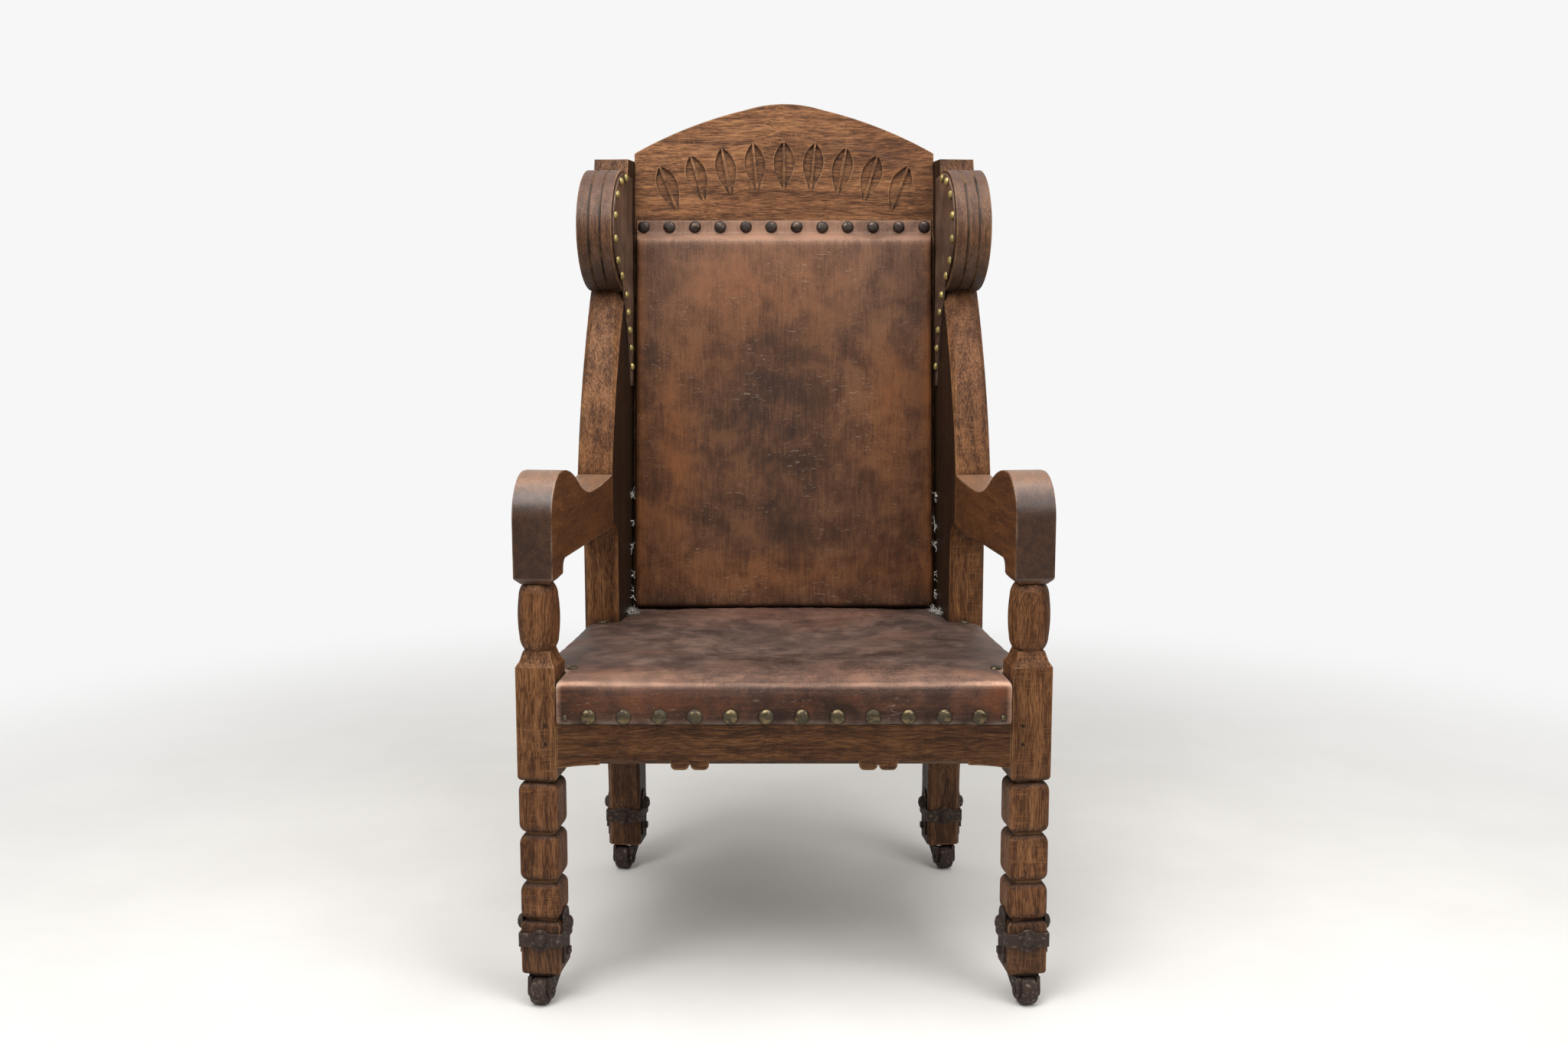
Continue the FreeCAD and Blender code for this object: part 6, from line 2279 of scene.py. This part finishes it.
DOME = (
    (0.92, -0.10),
    (1.0, 0.0),
    (1.02, 0.10),
    (0.97, 0.32),
    (0.84, 0.60),
    (0.60, 0.85),
    (0.30, 0.97),
    (0.0, 1.0),
)
BOLT_HEAD = (
    (1.0, -0.05),
    (1.0, 0.14),
    (0.97, 0.20),
    (0.89, 0.21),
    (0.87, 0.45),
    (0.72, 0.76),
    (0.45, 0.94),
    (0.2, 0.99),
    (0.0, 1.0),
)


def away_from_seat(place: Vector, side: float = 0.29) -> Vector:
    """Gives the way out of the seat frame at a place."""
    return Vector((place.x, 0.0, 0.0)) if abs(place.x) > side else -BACKWARD


def forward(place: Vector) -> Vector:
    """Gives the way to the front."""
    return -BACKWARD


def backward(place: Vector) -> Vector:
    """Gives the way to the back."""
    return BACKWARD


def inward(place: Vector) -> Vector:
    """Gives the way to the chair's middle."""
    return Vector((-place.x, 0.0, 0.0))


def away_from_foot(place: Vector) -> Vector:
    """Gives the way out of the nearest foot.

    Args:
        place: The place.

    Returns:
        The way, level with the floor.
    """
    middles = [sum(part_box(f"foot_collar_{corner}"), Vector()) / 2 for corner in CORNERS]
    nearest = min(middles, key=lambda middle: (middle - place).length)
    return Vector((place.x - nearest.x, place.y - nearest.y, 0.0))


def nail_sets() -> list[Studs]:
    """Lists the chair's nails and bolts."""
    return [
        Studs("seat_nails", BRASS, "nail_brass", away_from_seat, 5.4 * MM, DOME, widen=1.12, seed=3),
        Studs("crest_nails", BRONZE, "nail_bronze", forward, 5.0 * MM, DOME, seed=5),
        Studs("wing_nails", RUBBED_BRASS, "nail_brass", inward, 4.6 * MM, DOME, seed=7),
        Studs("outside_back_nails", BRONZE, "nail_bronze", backward, 4.6 * MM, DOME, seed=9),
        Studs("collar_bolts", IRON, "iron", away_from_foot, 7.5 * MM, BOLT_HEAD, seed=11),
        Studs("collar_side_bolts", IRON, "iron", away_from_foot, 8.5 * MM, BOLT_HEAD, seed=13),
    ]


@dataclass
class FootIrons(SubAssembly):
    """Iron collars of the feet, and the castors under them."""

    arris: float = 0.7 * MM
    wheel_sides: int = 48
    wheel_round: float = 3.5 * MM
    wheel_round_steps: int = 4
    wheel_crown: float = 0.4 * MM

    def worked(self, node: str, body: str) -> None:
        """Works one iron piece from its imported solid.

        Args:
            node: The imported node.
            body: The body that it rides on.
        """
        shape = packed_shape(node)
        break_arrises(shape, self.arris)
        piece = from_shape(f"{node}_iron", shape)
        smooth_arrises(piece)
        self.settle(piece, IRON, "iron", [node], body)

    def wheel(self, corner: str) -> None:
        """Turns one castor wheel, with a bore for its axle.

        Args:
            corner: The corner of the chair that it is under.
        """
        node = f"castor_wheel_{corner}"
        co = np.array([vertex.co for vertex in bpy.data.objects[node].data.vertices])
        middle = (co.max(axis=0) + co.min(axis=0)) / 2
        spread, axes = np.linalg.eigh(np.cov((co - co.mean(axis=0)).T))
        axis = axes[:, 0] if spread[1] - spread[0] > spread[2] - spread[1] else axes[:, 2]
        along = (co - middle) @ axis
        radial = np.linalg.norm(co - middle - np.outer(along, axis), axis=1)
        half, radius, bore = float(np.abs(along).max()), float(radial.max()), float(radial.min())
        shoulder = radius - self.wheel_crown - self.wheel_round
        profile = [(bore, -half), (shoulder, -half)]
        for inset, rise in rounded(self.wheel_round, self.wheel_round_steps):
            profile.append((shoulder + rise, -half + inset))
        profile.append((radius, 0.0))
        profile += [(reach, -level) for reach, level in profile[-2::-1]]
        shape = lathe(profile + [profile[0]], self.wheel_sides)
        turn = Vector(axis).to_track_quat("Z", "Y").to_matrix().to_4x4()
        shape.transform(Matrix.Translation(Vector(middle)) @ turn)
        bmesh.ops.remove_doubles(shape, verts=shape.verts, dist=0.01 * MM)
        bmesh.ops.recalc_face_normals(shape, faces=shape.faces)
        piece = from_shape(f"{node}_iron", shape)
        smooth(piece)
        self.settle(piece, IRON, "iron", [node], f"wheel_{corner}")

    def build(self) -> None:
        """Builds every foot."""
        for corner in CORNERS:
            self.worked(f"foot_collar_{corner}", CHAIR)
            self.worked(f"castor_plate_{corner}", CHAIR)
            self.worked(f"castor_fork_{corner}", f"castor_{corner}")
            self.worked(f"castor_axle_{corner}", f"castor_{corner}")
            self.wheel(corner)
        self.coat("collar_screws", IRON)


@dataclass
class SoftUnderside(SubAssembly):
    """Webbing and stuffing, seen from below and at the leather's edges."""

    frame: ChairFrame
    seat: Piece
    back: Piece
    strap_arris: float = 0.6 * MM
    strap_cuts: int = 12
    strap_run: float = 30.0 * MM
    sag: float = 3.0 * MM
    voxel: float = 7.0 * MM
    sink: float = 4.0 * MM
    lump: float = 1.5 * MM
    lump_scale: float = 70.0
    under: float = 5.0 * MM
    bearers: dict[str, list[str]] = field(
        default_factory=lambda: {
            "seat_webbing": ["front_seat_rail_oak", "rear_seat_rail_oak"],
            "back_webbing": ["crest_rail_oak", "lower_back_rail"],
        }
    )

    def axes(self) -> list[np.ndarray]:
        """Lists the ways that a strap's thickness, width and length can run.

        Returns:
            The three ways, as columns.
        """
        rake = self.frame.rake
        up_back, off_back = (0.0, math.sin(rake), math.cos(rake)), (0.0, math.cos(rake), -math.sin(rake))
        return [np.array(way).reshape(3, 1) for way in ((1.0, 0.0, 0.0), up_back, off_back)]

    def give(self, straps: Piece) -> None:
        """Lets the straps give a little in the middle, under the seat or behind the back.

        Args:
            straps: The straps.
        """
        co = [vertex.co for vertex in straps.data.vertices]
        low = Vector([min(p[k] for p in co) for k in range(3)])
        high = Vector([max(p[k] for p in co) for k in range(3)])
        flat = min(range(3), key=lambda k: high[k] - low[k])
        for vertex in straps.data.vertices:
            share = 1.0
            for k in range(3):
                if k != flat:
                    share *= 1.0 - (2.0 * (vertex.co[k] - low[k]) / (high[k] - low[k]) - 1.0) ** 2
            vertex.co[flat] += self.sag * share if flat == 1 else -self.sag * share

    def web(self, node: str, rests_on: list[str]) -> None:
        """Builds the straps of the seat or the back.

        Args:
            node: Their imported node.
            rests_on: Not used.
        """
        shape = packed_shape(node)
        widths, lengths = [], []
        for strap in islands(shape):
            co = np.array([vertex.co for vertex in strap])
            _, width, length = sorted(np.linalg.norm(np.ptp(co @ axes, axis=0)) for axes in self.axes())
            widths.append(float(width))
            lengths.append(float(length))
        break_arrises(shape, self.strap_arris)
        long = [edge for edge in shape.edges if edge.calc_length() > self.strap_run]
        bmesh.ops.subdivide_edges(shape, edges=long, cuts=self.strap_cuts, use_grid_fill=True)
        piece = from_shape(f"{node}_straps", shape)
        self.give(piece)
        smooth(piece)
        self.settle(piece, JUTE, "webbing", [node])

    def stuff(self, node: str, leather: Piece) -> None:
        """Builds the stuffing of the seat or the back.

        Args:
            node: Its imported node.
            leather: The leather over it.
        """
        piece = from_shape(f"{node}_wadding", packed_shape(node))
        lumps = piece.modifiers.new("lumps", "REMESH")
        lumps.mode = "VOXEL"
        lumps.voxel_size = self.voxel
        apply_modifiers(piece)
        facing = [vertex.normal.copy() for vertex in piece.data.vertices]
        for vertex, way in zip(piece.data.vertices, facing):
            vertex.co -= way * (self.sink + self.lump * noise.noise(vertex.co * self.lump_scale))
        self.tuck(piece, leather)
        smooth(piece, math.radians(80.0))
        self.settle(piece, WADDING, "stuffing", [node])

    def tuck(self, wadding: Piece, leather: Piece) -> None:
        """Keeps the wadding under its leather.

        Args:
            wadding: The wadding.
            leather: The leather over it, before it is given its thickness.
        """
        places = [vertex.co for vertex in leather.data.vertices]
        tree = BVHTree.FromPolygons(places, [face.vertices for face in leather.data.polygons])
        for vertex in wadding.data.vertices:
            place, facing, _, _ = tree.find_nearest(vertex.co)
            depth = (place - vertex.co).dot(facing)
            if depth < self.under:
                vertex.co -= facing * (self.under - depth)

    def build(self) -> None:
        """Builds the straps and the stuffing."""
        for node, rests_on in self.bearers.items():
            self.web(node, rests_on)
        self.stuff("seat_stuffing", self.seat)
        self.stuff("back_stuffing", self.back)


@dataclass
class StuffingWisps(SubAssembly):
    """Loose fibres of stuffing at the seat's rear corners and beside the back."""

    frame: ChairFrame
    corner_fibres: int = 150
    corner_across: tuple[float, float] = (-37.0, -29.0)
    corner_along: tuple[float, float] = (452.0, 478.0)
    corner_level: float = 461.0 * MM
    side_fibres: int = 40
    side_levels: tuple[float, ...] = (0.05, 0.08, 0.13, 0.165, 0.21)
    side_spread: tuple[float, float] = (-6.0, 6.0)
    side_out: tuple[float, float] = (13.0, 20.0)
    side_line: float = 247.5 * MM
    length: float = 19.0 * MM
    thickness: float = 0.6 * MM
    taper: float = 0.8
    curl: float = 0.75
    joints: int = 5
    seed: int = 21

    def fibre(self, shape: Shape, chance: random.Random, start: Vector, way: Vector) -> None:
        """Adds one curled fibre.

        Args:
            shape: The shape that it is added to.
            chance: The source of its curl.
            start: Where it comes out.
            way: The way it sets off.
        """
        spot, heading = start.copy(), way.normalized()
        step = self.length * chance.uniform(0.5, 1.2) / self.joints
        before: list[Point] = []
        for k in range(self.joints + 1):
            side = heading.orthogonal().normalized() * self.thickness * (1.0 - self.taper * k / self.joints)
            other = 0.87 * heading.cross(side)
            places = (spot + side, spot - 0.5 * side + other, spot - 0.5 * side - other)
            ring = [shape.verts.new(place) for place in places]
            if before:
                join_rings(shape, before, ring)
            before = ring
            curl = Vector([chance.uniform(-1.0, 1.0) for _ in range(3)])
            heading = (heading + self.curl * curl).normalized()
            spot = spot + heading * step

    def build(self) -> Piece:
        """Builds the fibres of both sides.

        Returns:
            The fibres as one piece.
        """
        chance = random.Random(self.seed)
        shape = bmesh.new()
        for hand in HANDS.values():
            for _ in range(self.corner_fibres):
                across = chance.uniform(*self.corner_across) * MM
                along = chance.uniform(*self.corner_along) * MM
                place = self.frame.side(across, along, self.corner_level, hand)
                self.fibre(shape, chance, place, Vector((-hand * chance.uniform(0.0, 1.0), -0.5, 0.6)))
            for _ in range(self.side_fibres):
                rise = chance.choice(self.side_levels) + chance.uniform(*self.side_spread) * MM
                place = self.frame.back(hand * self.side_line, -chance.uniform(*self.side_out) * MM, rise)
                self.fibre(shape, chance, place, Vector((hand * 0.3, -0.6, chance.uniform(-1.0, 1.0))))
        piece = from_shape("stuffing_wisps", shape)
        return self.settle(piece, LINT, "stuffing", [])


@dataclass
class ThinLeather(SubAssembly):
    """One thin leather, nailed flat along its edge."""

    frame: ChairFrame
    node: str
    slot: str
    nails: str
    lies_on: str
    hand: float = 0.0
    spacing: float = 9.0 * MM
    arris: float = 0.8 * MM
    dimple: float = 1.1 * MM
    dimple_reach: float = 8.0 * MM
    swell: float = 1.3 * MM
    swell_scale: float = 16.0
    swell_reach: float = 30.0 * MM

    def ways(self) -> tuple[Vector, Vector, Vector]:
        """Gives how the leather lies.

        Returns:
            The way that it looks, and the two ways along it.
        """
        if self.hand:
            splay = self.frame.splay
            looks = Vector((-self.hand * math.cos(splay), -math.sin(splay), 0.0))
            return looks, Vector((-self.hand * math.sin(splay), math.cos(splay), 0.0)), UP
        rake = self.frame.rake
        looks = Vector((0.0, math.cos(rake), -math.sin(rake)))
        return looks, Vector((1.0, 0.0, 0.0)), Vector((0.0, math.sin(rake), math.cos(rake)))

    def build(self) -> Piece:
        """Builds the leather, pressed in at its nails and slack between them.

        Returns:
            The leather.
        """
        looks, first, second = self.ways()
        shape = packed_shape(self.node)
        area = sum(face.calc_area() for face in shape.faces if abs(face.normal.dot(looks)) > 0.9) / 2
        break_arrises(shape, self.arris)
        gridded(shape, (first, second), self.spacing)
        nails = [spot for spot, _, _ in stud_spots(self.nails, lambda place: looks)]
        nails = [spot for spot in nails if self.hand == 0.0 or spot.x * self.hand > 0.0]
        middle = sum(vertex.co.dot(looks) for vertex in shape.verts) / len(shape.verts)
        for vertex in shape.verts:
            if vertex.co.dot(looks) < middle:
                continue
            near = min((vertex.co - spot).length for spot in nails)
            loose = 0.5 + noise.noise(vertex.co * self.swell_scale)
            rise = self.swell * loose * min(1.0, near / self.swell_reach)
            vertex.co += looks * (rise - self.dimple * hump(near, self.dimple_reach))
        piece = from_shape(f"{self.node}_hide", shape)
        smooth(piece)
        self.settle(piece, WING_HIDE, self.slot, [self.node])
        return piece


BLACK = (0.0, 0.0, 0.0)
WHITE = (1.0, 1.0, 1.0)


@dataclass(frozen=True)
class FloorFinish(Finish):
    """Pale floor that runs into the white backdrop far from the chair."""

    tones: tuple[Colour, Colour] = ((0.710, 0.692, 0.664), (0.750, 0.732, 0.704))
    glow: Colour = (0.030, 0.027, 0.022)
    dim: float = 0.9
    bright: float = 2.6
    shown: float = 0.93
    clouds: float = 3.0
    rough: float = 0.9

    def dress(self, wiring: Wiring, shader: bpy.types.Node, place: Socket) -> None:
        """Joins the finish's nodes to its shader.

        Args:
            wiring: The material's tree.
            shader: The material's Principled shader.
            place: The place on the floor.
        """
        tint = wiring.span(wiring.noise(place, self.clouds, 4.0, 0.6), 0.3, 0.7)
        fade = wiring.span(wiring.vectors("LENGTH", place)["Value"], self.dim, self.bright)
        wiring.feed(shader.inputs["Base Color"], wiring.blend(fade, wiring.blend(tint, *self.tones), BLACK))
        seen = wiring.node("ShaderNodeLightPath").outputs["Is Camera Ray"]
        glow = wiring.blend(fade, self.glow, WHITE)
        wiring.feed(shader.inputs["Emission Color"], wiring.blend(seen, BLACK, glow))
        shader.inputs["Emission Strength"].default_value = self.shown
        shader.inputs["Roughness"].default_value = self.rough
        shader.inputs["Specular IOR Level"].default_value = 0.0


@dataclass(frozen=True)
class SoftLamp:
    """A soft rectangular lamp."""

    name: str
    place: Triple
    size: tuple[float, float]
    power: float

    def hang(self, aim: Vector) -> None:
        """Puts the lamp in the scene.

        Args:
            aim: The place that it shines on.
        """
        data = bpy.data.lights.new(self.name, "AREA")
        data.shape = "RECTANGLE"
        data.size, data.size_y = self.size
        data.energy = self.power
        lamp = link(self.name, data)
        lamp.location = self.place
        lamp.rotation_mode = "QUATERNION"
        lamp.rotation_quaternion = (aim - Vector(self.place)).to_track_quat("-Z", "Y")


@dataclass
class Studio:
    """Floor, light and camera."""

    frame: ChairFrame
    camera_distance: float = 2.128
    camera_height: float = 0.9785
    pitch: float = math.radians(8.03)
    lens: float = 37.09
    sensor: float = 36.0
    floor_radius: float = 4.0
    floor_sides: int = 96
    floor: FloorFinish = FloorFinish("pale_floor")
    backdrop_light: float = 0.60
    room_light: float = 0.15
    aim: Triple = (0.0, 0.0, 0.65)
    lamps: tuple[SoftLamp, ...] = (
        SoftLamp("key_lamp", (-1.1, -2.0, 2.7), (1.6, 1.2), 50.0),
        SoftLamp("fill_lamp", (1.8, -1.9, 2.3), (1.6, 1.4), 34.0),
        SoftLamp("top_lamp", (0.0, -0.6, 2.9), (2.6, 1.8), 70.0),
    )

    def lay_floor(self) -> None:
        """Lays the round floor."""
        shape = lathe([(self.floor_radius, 0.0), (1.0, 0.0), (0.0, 0.0)], self.floor_sides)
        bmesh.ops.recalc_face_normals(shape, faces=shape.faces)
        floor = from_shape("studio_floor", shape)
        floor.data.materials.append(self.floor.material())

    def hang_backdrop(self) -> None:
        """Makes a white backdrop that lights the chair from behind, with a dimmer room in front."""
        world = bpy.data.worlds.new("studio_world")
        bpy.context.scene.world = world
        world.use_nodes = True
        wiring = Wiring(world.node_tree)
        shown = wiring.tree.nodes["Background"]
        shown.inputs["Color"].default_value = opaque(WHITE)
        shown.inputs["Strength"].default_value = self.floor.shown
        way = wiring.node("ShaderNodeTexCoord").outputs["Generated"]
        behind = wiring.node("ShaderNodeSeparateXYZ", {0: way}).outputs["Y"]
        strength = wiring.span(behind, -0.3, 0.5, self.room_light, self.backdrop_light)
        light = wiring.node("ShaderNodeBackground", {"Color": opaque(WHITE), "Strength": strength})
        seen = wiring.node("ShaderNodeLightPath").outputs["Is Camera Ray"]
        mixed = wiring.node("ShaderNodeMixShader", {0: seen, 1: light.outputs[0], 2: shown.outputs[0]})
        wiring.feed(wiring.tree.nodes["World Output"].inputs["Surface"], mixed.outputs[0])

    def place_camera(self) -> None:
        """Puts the camera where the photograph was taken from."""
        data = bpy.data.cameras.new("photograph_camera")
        data.lens = self.lens
        data.sensor_width = self.sensor
        data.sensor_fit = "HORIZONTAL"
        camera = link("photograph_camera", data)
        camera.location = (0.0, self.frame.front_line - self.camera_distance, self.camera_height)
        camera.rotation_euler = (QUARTER - self.pitch, 0.0, 0.0)
        bpy.context.scene.camera = camera
        bpy.context.scene.view_settings.view_transform = "Standard"

    def build(self) -> None:
        """Sets the floor, the light and the camera."""
        self.lay_floor()
        self.hang_backdrop()
        for lamp in self.lamps:
            lamp.hang(Vector(self.aim))
        self.place_camera()


def build_soft_pieces(frame: ChairFrame) -> None:
    """Builds the leathers, what is under them, and the nails that hold them.

    Args:
        frame: The chair's setting out.
    """
    seat = SeatCover(frame).build()
    back = BackPanel(frame).build()
    for side, hand in HANDS.items():
        wing = f"wing_leather_{side}"
        ThinLeather(frame, wing, "wing_leather", "wing_nails", f"ear_{side}_oak", hand).build()
    ThinLeather(
        frame, "outside_back", "back_leather", "outside_back_nails", "crest_rail_oak", spacing=14.0 * MM
    ).build()
    SoftUnderside(frame, seat, back).build()
    StuffingWisps(frame).build()
    for nails in nail_sets():
        nails.build()
    CornerNails(
        "seat_corner_nails", BRASS, "nail_brass", forward, 3.8 * MM, DOME, seed=15, frame=frame, cover=seat
    ).build()


def main() -> None:
    """Builds the whole chair and its studio."""
    logging.basicConfig(level=logging.INFO, format="%(name)s: %(message)s")
    for leftover in list(bpy.data.objects):
        bpy.data.objects.remove(leftover)
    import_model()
    frame = ChairFrame.from_packed()
    Studio(frame).build()
    Joinery(frame).build()
    CrestRail(frame).build()
    build_soft_pieces(frame)
    FootIrons().build()
    LOG.info("chair complete")


if __name__ == "__main__":
    main()
